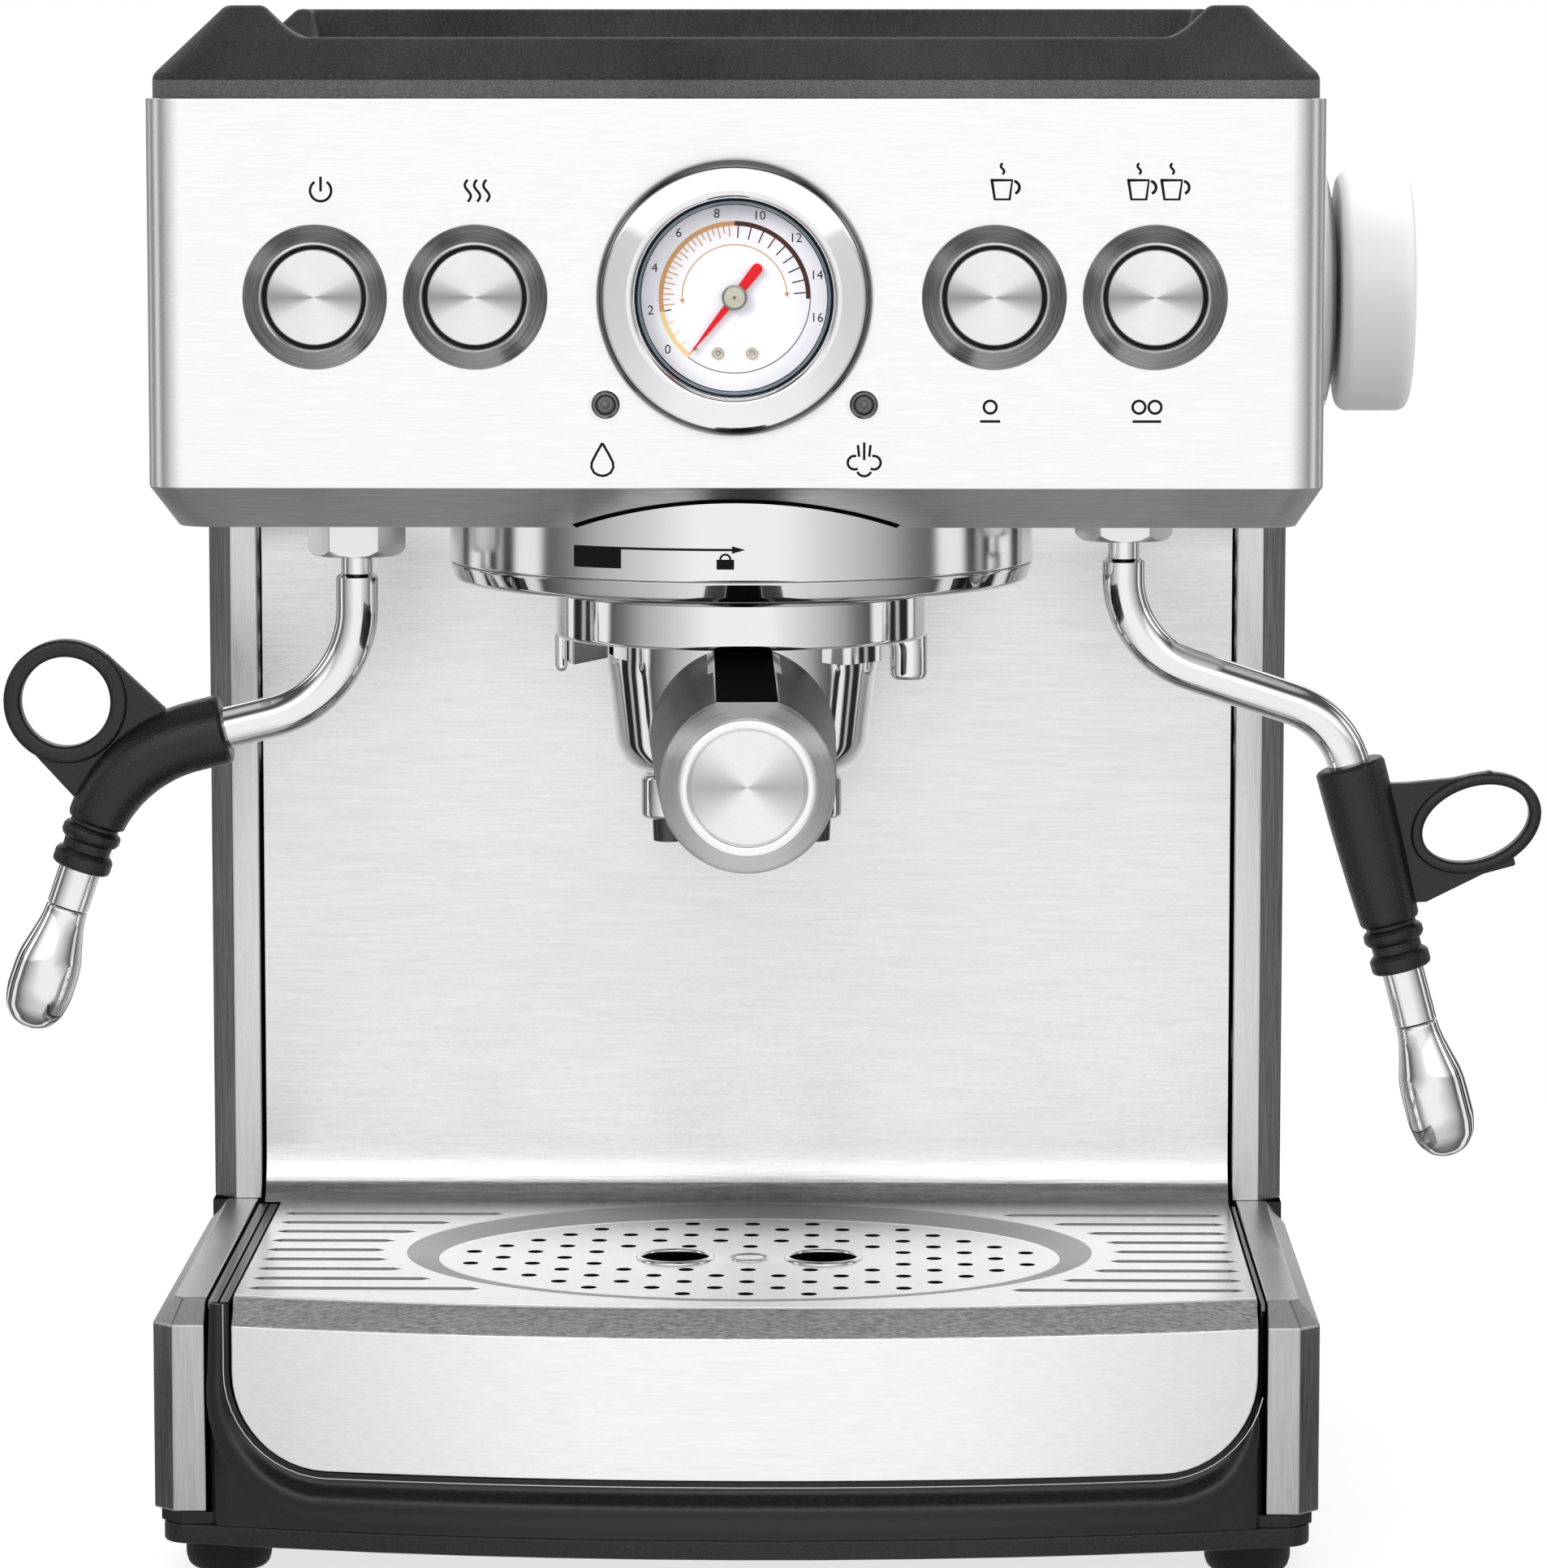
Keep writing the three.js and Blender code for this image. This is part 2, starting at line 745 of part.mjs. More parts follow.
function coverOutline(inset) {
  const half = halfWidth - coverInset - inset;
  const front = coverInset + inset;
  return rounded(-half, half, front, bodyDepth - front, Math.max(headCorner - inset / 3, 2));
}

function makeTopCover() {
  const plugInset = sheet + fit - coverInset;
  const plug = loft([
    ringOf(coverOutline(plugInset), coverBottom - plugDepth),
    ringOf(coverOutline(plugInset), coverBottom),
  ]);
  const outside = loft([
    ringOf(coverOutline(0), coverBottom),
    ringOf(coverOutline(0), coverRimTop),
    ringOf(coverOutline(coverSlope), coverTop),
  ]);
  const hollow = loft([
    ringOf(coverOutline(plugInset + moulding), coverBottom - plugDepth - 1),
    ringOf(coverOutline(plugInset + moulding), coverFloorZ - moulding),
  ]);
  const recess = loft([
    ringOf(coverOutline(recessInset + recessDraft), coverFloorZ),
    ringOf(coverOutline(recessInset), coverTop + 1),
  ]);
  const dipZ = coverTop - coverDipDrop;
  const frontDip = new THREE.Shape();
  frontDip.moveTo(-coverDipHalf - coverDipRun, coverTop + 1);
  frontDip.quadraticCurveTo(-coverDipHalf - coverDipRun / 3, dipZ, -coverDipHalf, dipZ);
  frontDip.lineTo(coverDipHalf, dipZ);
  frontDip.quadraticCurveTo(
    coverDipHalf + coverDipRun / 3, dipZ, coverDipHalf + coverDipRun, coverTop + 1,
  );
  const sideDip = new THREE.Shape();
  const [dipFront, dipRear] = [sideDipInset, bodyDepth - sideDipInset];
  sideDip.moveTo(dipFront - coverDipRun, coverTop + 1);
  sideDip.quadraticCurveTo(dipFront - coverDipRun / 3, dipZ, dipFront, dipZ);
  sideDip.lineTo(dipRear, dipZ);
  sideDip.quadraticCurveTo(dipRear + coverDipRun / 3, dipZ, dipRear + coverDipRun, coverTop + 1);
  const body = cut(
    join(outside, plug), hollow, recess,
    acrossDepth(frontDip, -1, bodyDepth / 2, 6),
    acrossWidth(sideDip, -halfWidth, halfWidth, 6),
  );
  part('top_cover', body, 'satinBlack');
}

function makeCupPlate() {
  const inset = recessInset + recessDraft + 1;
  let body = upright(coverOutline(inset), coverFloorZ, coverFloorZ + cupPlateThick, 3);
  const run = halfWidth - inset - 2 * slotEdge;
  for (let row = 0; row < cupSlotRows; row += 1) {
    const y = bodyDepth / 2 + (row - (cupSlotRows - 1) / 2) * cupSlotPitch;
    [-1, 1].forEach((side) => {
      const middle = side * (run / 2 + slotEdge / 2);
      const [low, high] = [coverFloorZ - 1, coverFloorZ + cupPlateThick + 1];
      body = cut(body, block(middle - run / 2, middle + run / 2, y, y + cupSlotWidth, low, high));
    });
  }
  part('cup_plate', body, 'brushedSteel');
}

// ---------------------------------------------------------------------------
// Front panel: push buttons, lamps, pressure gauge and the board behind them
// ---------------------------------------------------------------------------

const buttonNames = ['power', 'steam', 'one_cup', 'two_cup'];
const capBack = ringSleeve - 1;
const stemEnd = capBack + stemLength;
const boardFront = stemEnd + capTravel + switchHeight;

function makeButtons() {
  const ring = turnedFront([
    [ringRadius, 0], [ringRadius - 0.5, -1.2], [ringBore + 0.8, -ringProud],
    [ringBore, -ringProud + 0.5], [ringBore, ringSleeve], [ringBore + ringWall, ringSleeve],
    [ringBore + ringWall, 0],
  ], 16);
  const guide = ringBore - fit;
  const cap = turnedFront([
    [0, -capProud], [capRadius - 0.7, -capProud], [capRadius, -capProud + 0.7],
    [capRadius, capBack - 2.5], [guide, capBack - 2.5], [guide, capBack],
    [stemRadius, capBack], [stemRadius, stemEnd], [0, stemEnd],
  ], 12);
  buttonOffsets.forEach((x, i) => {
    const place = carrier(x, 0, controlZ);
    part(`button_ring_${buttonNames[i]}`, ring, 'darkSteel', place);
    part(`button_cap_${buttonNames[i]}`, cap, 'brushedSteel', place);
  });
}

function makeLamps() {
  const lamp = turnedFront([
    [0, -1.6], [lampRadius * 0.55, -1.2], [lampRadius * 0.95, 0], [lampRadius, 0.2],
    [lampRadius, sheet + fit], [lampRadius + 1, sheet + fit], [lampRadius + 1, lampLength],
    [0, lampLength],
  ], 10);
  const places = { heat: -lampOffset, steam: lampOffset };
  Object.entries(places).forEach(([name, x]) => {
    part(`lamp_${name}`, lamp, 'lampGrey').position.set(x, 0, controlZ - lampDrop);
  });
}

const dialFace = dialSetback;
const dialBack = dialFace + dialThick;
const caseRadius = bezelBore + ringWall;

function makeGauge() {
  const gauge = carrier(0, 0, controlZ);
  const bezel = turnedFront([
    [bezelRadius, 0], [bezelRadius - 0.5, -1.8], [bezelRadius - 2.2, -4.6],
    [bezelRadius - 4.8, -6.5], [bezelBore + 1.4, -bezelProud], [bezelBore, -bezelProud + 1.4],
    [bezelBore, dialBack - fit], [caseRadius, dialBack - fit], [caseRadius, 0],
  ], 28);
  part('gauge_bezel', bezel, 'chrome', gauge);
  const inner = bezelBore - fit;
  const housing = turnedFront([
    [0, dialBack], [caseRadius, dialBack], [caseRadius, dialBack + gaugeDepth - 2],
    [caseRadius - 2, dialBack + gaugeDepth], [inletRadius, dialBack + gaugeDepth],
    [inletRadius, dialBack + gaugeDepth + inletLength], [0, dialBack + gaugeDepth + inletLength],
  ], 20);
  const pivotWell = frontDisc(pivotRadius + fit, dialBack - 1, dialBack + pivotWellDepth, 8);
  part('gauge_case', cut(housing, pivotWell), 'satinBlack', gauge);
  const screw = frontDisc(1.5, dialFace - 0.5, dialFace + 0.2, 6);
  const dial = join(
    frontDisc(inner, dialFace, dialBack, 28),
    screw.translate([-dialScrewOffset, 0, -dialScrewDrop]),
    screw.translate([dialScrewOffset, 0, -dialScrewDrop]),
  );
  const pivotHole = frontDisc(pivotRadius + fit, dialFace - 1, dialBack + 1, 8);
  part('gauge_dial', cut(dial, pivotHole), 'dialWhite', gauge);
  const lensFront = -bezelProud + lensSetback;
  part('gauge_lens', frontDisc(inner, lensFront, lensFront + lensThick, 20), 'glass', gauge);
  const pointer = polygon([
    [needleHub * 0.6, -0.8], [needleLength, -0.25], [needleLength, 0.25], [needleHub * 0.6, 0.8],
    [-needleHub * 0.6, 0.8], [-needleTail + 1, 1.3], [-needleTail, 0.8], [-needleTail, -0.8],
    [-needleTail + 1, -1.3], [-needleHub * 0.6, -0.8],
  ]);
  const needleFront = dialFace - needleRise;
  const needle = join(
    acrossDepth(pointer, needleFront, needleFront + needleThick),
    frontDisc(needleHub, needleFront - 0.6, needleFront + needleThick, 16),
    frontDisc(pivotRadius, needleFront, dialBack + pivotWellDepth - fit, 8),
  );
  part('gauge_needle', needle, 'needleRed', gauge).rotation.y = needleRest * flip;
}

// The board stands behind the panel on four posts, with one switch behind each button.
function makeBoard() {
  const half = buttonOffsets[3] + boardMargin;
  const boardBack = boardFront + boardThick;
  const board = block(
    -half, half, boardFront, boardBack, controlZ - boardReach, controlZ + boardReach,
  );
  const opening = frontDisc(caseRadius + 2, boardFront - 1, boardBack + 1, 20);
  let body = cut(board, opening.translate([0, 0, controlZ]));
  buttonOffsets.forEach((x) => {
    const button = block(
      x - switchHalf, x + switchHalf, boardFront - switchHeight + fit, boardFront + 0.1,
      controlZ - switchHalf, controlZ + switchHalf,
    );
    body = join(body, button);
  });
  const postX = (buttonOffsets[2] + buttonOffsets[3]) / 2;
  [[-1, -1], [1, -1], [-1, 1], [1, 1]].forEach(([side, up]) => {
    const post = frontDisc(postRadius, sheet + fit, boardFront + 0.1, 8);
    const postZ = controlZ + up * (boardReach - 2 * postRadius);
    body = join(body, post.translate([side * postX, 0, postZ]));
  });
  part('control_board', body, 'boardGreen');
}

// ---------------------------------------------------------------------------
// Right side: steam and hot-water knob with its escutcheon and valve
// ---------------------------------------------------------------------------

function makeKnob() {
  const place = carrier(halfWidth, knobSetback, knobZ);
  const plateBore = knobShaft + fit;
  const plate = turnedSide([
    [plateBore, 0], [knobPlateRadius, 0], [knobPlateRadius - 0.8, 2.4], [knobPlateRadius - 4, 4.8],
    [knobPlateRadius - 11, knobPlateProud - 0.4], [plateBore + 8, knobPlateProud],
    [plateBore, knobPlateProud],
  ], 24);
  part('knob_plate', plate, 'chrome', place);
  const face = knobBack + knobLength;
  const knob = turnedSide([
    [0, -shaftReach], [knobShaft, -shaftReach], [knobShaft, knobBack], [knobRadius - 1.6, knobBack],
    [knobRadius, knobBack + 1.8], [knobRadius, face - 2.4], [knobRadius - 0.8, face - 1],
    [knobRadius - 2.6, face - 0.2], [knobRadius - 9, face + 0.3], [0, face + 0.6],
  ], 24);
  part('steam_knob', knob, 'brushedSteel', place);
  const wall = -sheet - fit;
  const bore = knobShaft + fit;
  const valve = turnedSide([
    [0, wall - valveLength], [valveBody - 3, wall - valveLength], [valveBody, wall - valveLength + 4],
    [valveBody, wall - 3], [valveFlange, wall - 3], [valveFlange, wall], [bore, wall],
    [bore, -shaftReach - fit], [0, -shaftReach - fit],
  ], 16);
  part('steam_valve', valve, 'brass', place);
}

// ---------------------------------------------------------------------------
// Group: chrome collar, brew head with boiler, gasket, screen and bayonet lock ring
// ---------------------------------------------------------------------------

const blockRadius = lockRadius - 2;
const gasketInner = basketRadius - 2;
const gasketOuter = cupRadius + 0.8;
const rimTop = lockTop - rimBelow;

function makeGroup() {
  const place = carrier(0, groupSetback, 0);
  const lipTop = headBottom - collarDrop + collarLip;
  const lipBottom = headBottom - collarDrop;
  const webTop = lipTop + 2 * moulding;
  const crown = headBottom + sheet + fit + collarFlange;
  const wallTop = headBottom + collarRise;
  const inner = collarRadius - 2;
  const ledge = collarRadius - 7;
  const shroud = turned([
    [collarRadius, wallTop], [collarRadius, lipTop], [collarRadius - 0.6, lipTop - 2.4],
    [collarRadius - 2.3, lipBottom + 0.7], [collarRadius - 4.4, lipBottom],
    [ledge, lipBottom + 1.4], [ledge, lipTop], [blockRadius + fit, lipTop],
    [blockRadius + fit, lipTop + moulding], [inner, lipTop + moulding], [inner, wallTop],
  ], 30);
  const flangeFront = chamferBack + sheet + slack - groupSetback;
  const flange = cut(
    disc(collarRadius + collarSeat, crown - collarFlange, crown, 24),
    disc(collarRadius - 1, crown - collarFlange - 1, crown + 1, 30),
    block(-halfWidth, halfWidth, -halfWidth, flangeFront, headBottom, crown + 1),
  );
  part('group_collar', join(shroud, flange), 'chrome', place);

  const top = headBottom + boilerHeight;
  const body = turned([
    [0, lockTop], [gasketInner - fit, lockTop], [gasketInner - fit, lockTop + gasketSeat],
    [gasketOuter + fit, lockTop + gasketSeat], [gasketOuter + fit, lockTop], [blockRadius, lockTop],
    [blockRadius, lipTop + moulding + fit], [blockRadius + 8, lipTop + moulding + fit],
    [blockRadius + 8, webTop], [boilerRadius, webTop], [boilerRadius, top - 10],
    [boilerRadius - 4, top - 4], [boilerRadius - 14, top], [0, top],
  ], 18);
  part('brew_boiler', body, 'brass', place);

  const gasket = turned([
    [gasketInner, rimTop + fit], [gasketOuter, rimTop + fit],
    [gasketOuter, lockTop + gasketSeat - fit], [gasketInner, lockTop + gasketSeat - fit],
  ], 18);
  part('group_gasket', gasket, 'gasket', place);

  let screen = disc(gasketInner - 1, rimTop - screenDrop, rimTop - screenDrop + 1.5, 24);
  screen = cut(screen, ...ringOfHoles(1.2, 17, rimTop - screenDrop - 1, rimTop));
  const screenPost = disc(4, rimTop - screenDrop + 1, lockTop - fit, 10);
  part('shower_screen', join(screen, screenPost), 'chrome', place);
}

// Eight small holes on a circle around the Z axis.
function ringOfHoles(radius, reach, bottom, top) {
  const holes = [];
  for (let i = 0; i < 8; i += 1) {
    const angle = (i / 8) * 2 * Math.PI;
    const place = [reach * Math.cos(angle), reach * Math.sin(angle), 0];
    holes.push(disc(radius, bottom, top, 4).translate(place));
  }
  return holes;
}

// A wedge in plan around the group axis, to cut bayonet gates and lugs by angle.
function wedge(middle, span, reach, bottom, top) {
  const from = (middle - span / 2) * flip;
  const to = (middle + span / 2) * flip;
  const shape = new THREE.Shape();
  shape.moveTo(0, 0);
  shape.lineTo(reach * Math.cos(from), reach * Math.sin(from));
  shape.lineTo(reach * 1.2 * Math.cos((from + to) / 2), reach * 1.2 * Math.sin((from + to) / 2));
  shape.lineTo(reach * Math.cos(to), reach * Math.sin(to));
  return upright(shape, bottom, top);
}

// The lock ring is open below for the cup, with a ledge under the lugs and two gates
// where they go in. Two ears outside carry the stops that hang at its sides.
function makeLockRing() {
  const place = carrier(0, groupSetback, 0);
  const channel = lugReach + slack;
  const throat = cupRadius + lugClearance;
  const ledgeTop = lockBottom + ledgeHeight;
  let body = turned([
    [lockRadius - 0.8, lockBottom], [lockRadius, lockBottom + 0.8], [lockRadius, lockTop - 0.6],
    [lockRadius - 0.6, lockTop], [gasketOuter + 2 * fit, lockTop], [gasketOuter + 2 * fit, lockTop - 1.2],
    [channel, lockTop - 2.4], [channel, ledgeTop], [throat, ledgeTop], [throat, lockBottom],
  ], 24);
  [-insertAngle, 180 - insertAngle].forEach((angle) => {
    const gate = wedge(angle, lugSpan + gateEase, 2 * channel, lockBottom - 1, ledgeTop + 0.1);
    const reach = disc(channel, lockBottom - 1, ledgeTop + 0.1, 24);
    body = cut(body, gate.intersect(reach));
  });
  const plan = (side, inner) => {
    const near = Math.min(side * inner, side * lockEarReach);
    const far = Math.max(side * inner, side * lockEarReach);
    return rounded(near, far, -earHalf, earHalf, 2);
  };
  [[1, stopDropRight, stopWideRight], [-1, stopDropLeft, stopWideLeft]].forEach(([side, drop, wide]) => {
    const ear = upright(plan(side, lockRadius - 1), lockBottom, lockTop - 0.6, 2);
    const stop = upright(plan(side, lockEarReach - wide), lockBottom - drop, lockBottom + 0.6, 2);
    body = join(body, ear, stop);
  });
  part('lock_ring', body, 'chrome', place);
}

// ---------------------------------------------------------------------------
// Portafilter: cup with lugs, basket, twin spout, handle with steel end cap
// ---------------------------------------------------------------------------

const cupBottom = rimTop - 1 - cupHeight;
const handleZ = lockBottom - handleBelow;
const bowlRadius = basketRadius + 0.4;

function makePortafilter() {
  const place = carrier(0, groupSetback, 0);
  place.rotation.z = lockedAngle * flip;
  const rim = rimTop - 1;
  const outside = turned([
    [0, cupBottom], [cupBaseRadius, cupBottom], [cupBaseRadius + 4.5, cupBottom + 2.6],
    [cupFootRadius, cupBottom + 7], [cupRadius, cupBottom + 28], [cupRadius, rim], [0, rim],
  ], 24);
  const bowlFloor = rim - basketDepth - 2;
  const bowl = turned([
    [0, cupBottom - 1], [outletRadius, cupBottom - 1], [outletRadius, cupBottom + 5],
    [bowlRadius - 6, bowlFloor - 3], [bowlRadius, bowlFloor], [bowlRadius, rim + 1], [0, rim + 1],
  ], 20);
  const lugBottom = lockBottom + ledgeHeight + fit;
  const band = cut(
    disc(lugReach, lugBottom, lugBottom + lugHeight, 28),
    disc(cupRadius - 1, 0, headTop, 20),
  );
  const lugs = [0, 180].map((angle) => (
    band.intersect(wedge(angle, lugSpan, 2 * lugReach, lugBottom - 1, lugBottom + lugHeight + 1))
  ));
  const heel = -cupFootRadius - handleGap;
  const neck = frontDisc(neckRadius, heel, -cupFootRadius + 6, 16).translate([0, 0, handleZ]);
  const stud = frontDisc(studRadius, heel - studLength, heel + 1, 10).translate([0, 0, handleZ]);
  part('portafilter_body', cut(join(outside, ...lugs, neck, stud), bowl), 'chrome', place);

  const wall = 0.8;
  let basket = turned([
    [0, rim - basketDepth], [basketRadius - 2, rim - basketDepth], [basketRadius, rim - basketDepth + 2],
    [basketRadius, rim], [basketRadius + 2.6, rim], [basketRadius + 2.6, rim + 1],
    [basketRadius - wall, rim + 1], [basketRadius - wall, rim - basketDepth + 2.4],
    [basketRadius - 2.4, rim - basketDepth + 1], [0, rim - basketDepth + 1],
  ], 20);
  basket = cut(basket, ...ringOfHoles(0.9, 14, rim - basketDepth - 1, rim - basketDepth + 2));
  part('filter_basket', basket, 'chrome', place);

  // The spout hangs on a nipple in the cup's outlet and forks to two open outlets.
  const spoutTop = cupBottom - 0.4;
  const armHalf = spoutSpan + spoutRadius;
  const armPlan = rounded(-armHalf, armHalf, -spoutRadius, spoutRadius, spoutRadius / 1.02);
  const arm = upright(armPlan, spoutTop - spoutDrop, spoutTop, 3);
  const arch = new THREE.Shape();
  const archHalf = spoutSpan - spoutRadius;
  arch.moveTo(-archHalf, spoutTop - spoutDrop - 1);
  arch.lineTo(archHalf, spoutTop - spoutDrop - 1);
  arch.quadraticCurveTo(archHalf, spoutTop - spoutDrop + 6, 0, spoutTop - spoutDrop + 6);
  arch.quadraticCurveTo(-archHalf, spoutTop - spoutDrop + 6, -archHalf, spoutTop - spoutDrop - 1);
  const nipple = disc(outletRadius - fit, spoutTop - 1, cupBottom + 4, 12);
  let spout = cut(join(arm, nipple), acrossDepth(arch, -spoutRadius - 1, spoutRadius + 1, 4));
  [-1, 1].forEach((side) => {
    const tip = turned([
      [spoutRadius - 3.4, -spoutTip], [spoutRadius - 1.6, -spoutTip], [spoutRadius - 1.2, 0.5],
      [spoutRadius - 3.4, 0.5],
    ], 12).translate([side * spoutSpan, 0, spoutTop - spoutDrop]);
    const outlet = disc(spoutRadius - 3.4, -spoutTip - 1, 6, 12);
    spout = cut(join(spout, tip), outlet.translate([side * spoutSpan, 0, spoutTop - spoutDrop]));
  });
  part('portafilter_spout', spout, 'chrome', place);

  const handleFront = heel - fit - handleLength + handleCapLength;
  const section = (radius, flat, y) => {
    const points = [];
    for (let i = 0; i < handleSides; i += 1) {
      const angle = (i / handleSides) * 2 * Math.PI;
      const x = radius * Math.cos(angle);
      const z = Math.min(radius * Math.sin(angle), radius - flat);
      points.push(new THREE.Vector3(x, y, z));
    }
    return points;
  };
  const heelY = heel - fit;
  const grip = loft([
    section(handleRadius, handleFlat, handleFront),
    section(handleRadius + 0.9, handleFlat, handleFront + 30),
    section(handleHeelRadius - 0.4, handleFlat, heelY - 20),
    section(handleHeelRadius, handleFlat, heelY - 1.5),
    section(handleHeelRadius - 1.5, handleFlat, heelY),
  ]);
  const studBore = frontDisc(studRadius + fit, heel - studLength - 1, heel + 1, 10);
  const handle = carrier(0, 0, handleZ, place);
  part('portafilter_handle', cut(grip, studBore), 'satinBlack', handle);

  const capFront = handleFront - handleCapLength;
  const shell = loft([
    section(handleRadius - 3.4, handleFlat, capFront),
    section(handleRadius - 0.5, handleFlat, capFront + 3),
    section(handleRadius, handleFlat, capFront + 4),
    section(handleRadius, handleFlat, handleFront - fit),
  ]);
  const dishRing = turnedFront([
    [capDisc, capFront - 1], [capDisc + 2.4, capFront - 1], [capDisc + 1.8, capFront + 0.9],
    [capDisc, capFront + 0.9],
  ], 24);
  part('handle_cap', cut(shell, dishRing), 'brushedSteel', handle);
}

// ---------------------------------------------------------------------------
// Wands: hex nut, ball seat, bent tube on a ball, moulded grip with a finger ring, nozzle
// ---------------------------------------------------------------------------

const seatRadius = ballRadius + fit;
const seatDepth = ballRadius * 0.69;
const nutLip = 2;
const cavityRadius = ballRadius + 1.5;

// Straight runs through `corners` joined by round bends of the given radii.
function bentPath(corners, radii) {
  const path = new THREE.CurvePath();
  let from = corners[0];
  radii.forEach((radius, i) => {
    const corner = corners[i + 1];
    const inward = corner.clone().sub(corners[i]).normalize();
    const outward = corners[i + 2].clone().sub(corner).normalize();
    const turn = inward.angleTo(outward);
    const start = corner.clone().addScaledVector(inward, -radius * Math.tan(turn / 2));
    const end = corner.clone().addScaledVector(outward, radius * Math.tan(turn / 2));
    const handle = (4 / 3) * Math.tan(turn / 4) * radius;
    path.add(new THREE.LineCurve3(from, start));
    path.add(new THREE.CubicBezierCurve3(
      start, start.clone().addScaledVector(inward, handle),
      end.clone().addScaledVector(outward, -handle), end,
    ));
    from = end;
  });
  path.add(new THREE.LineCurve3(from, corners[corners.length - 1]));
  return path;
}

function tubeAlong(path, radius, steps, sides) {
  const section = new THREE.Shape().absarc(0, 0, radius, 0, 2 * Math.PI);
  const options = { extrudePath: path, steps, bevelEnabled: false, curveSegments: sides / 2 };
  return solid(new THREE.ExtrudeGeometry(section, options));
}

// A round body along a path in the X-Z plane, whose radius changes at given distances.
function swollen(path, stations, sides) {
  const length = path.getLength();
  const rings = stations.map(([distance, radius]) => {
    const at = path.getPointAt(distance / length);
    const along = path.getTangentAt(distance / length);
    const sidewise = new THREE.Vector3(0, 1, 0);
    const across = new THREE.Vector3().crossVectors(along, sidewise).normalize();
    const points = [];
    for (let i = 0; i < sides; i += 1) {
      const angle = (i / sides) * 2 * Math.PI;
      points.push(at.clone()
        .addScaledVector(across, radius * Math.cos(angle))
        .addScaledVector(sidewise, radius * Math.sin(angle)));
    }
    return points;
  });
  return loft(rings);
}

// Grip stations: plain body, waist, three ribs and grooves at the lower end.
function gripStations(start, length, top, foot) {
  const stations = [[start, top - 0.6], [start + 0.8, top]];
  const plain = length - ribLength;
  for (let i = 1; i <= 6; i += 1) {
    const share = i / 6;
    stations.push([start + plain * share, top + (foot - top) * share * share]);
  }
  const from = start + plain;
  const ribs = [
    [0.6, -1.1], [1.4, -1.1], [2.2, 0], [3.6, 0.1], [4.8, -1.3], [6.4, -1.3], [7.4, 0.1], [9.6, 0],
  ];
  ribs.forEach(([run, rise]) => stations.push([from + (run * ribLength) / 10, foot + rise]));
  stations.push([start + length, foot - 0.8]);
  return stations;
}

// The finger ring, a flat web to the grip and a raised rim around the hole, in front view.
function fingerRing(wand) {
  const { side } = wand;
  const { centre, hole, tilt, rim, web } = wand.ring;
  const [cx, cz] = [side * centre[0], centre[1]];
  const oval = (grow) => {
    const shape = new THREE.Shape();
    const [halfX, halfZ] = [hole[0] + grow, hole[1] + grow];
    return shape.absellipse(cx, cz, halfX, halfZ, 0, 2 * Math.PI, false, side * tilt * flip);
  };
  const slab = (shape, half) => acrossDepth(shape, -half, half, 8);
  const outline = web.map(([x, z]) => [side * x, z]);
  const plate = slab(polygon(outline), ringThickness / 2 - 1);
  const collar = slab(oval(rim), ringThickness / 2);
  return cut(join(plate, collar), slab(oval(0), ringThickness));
}

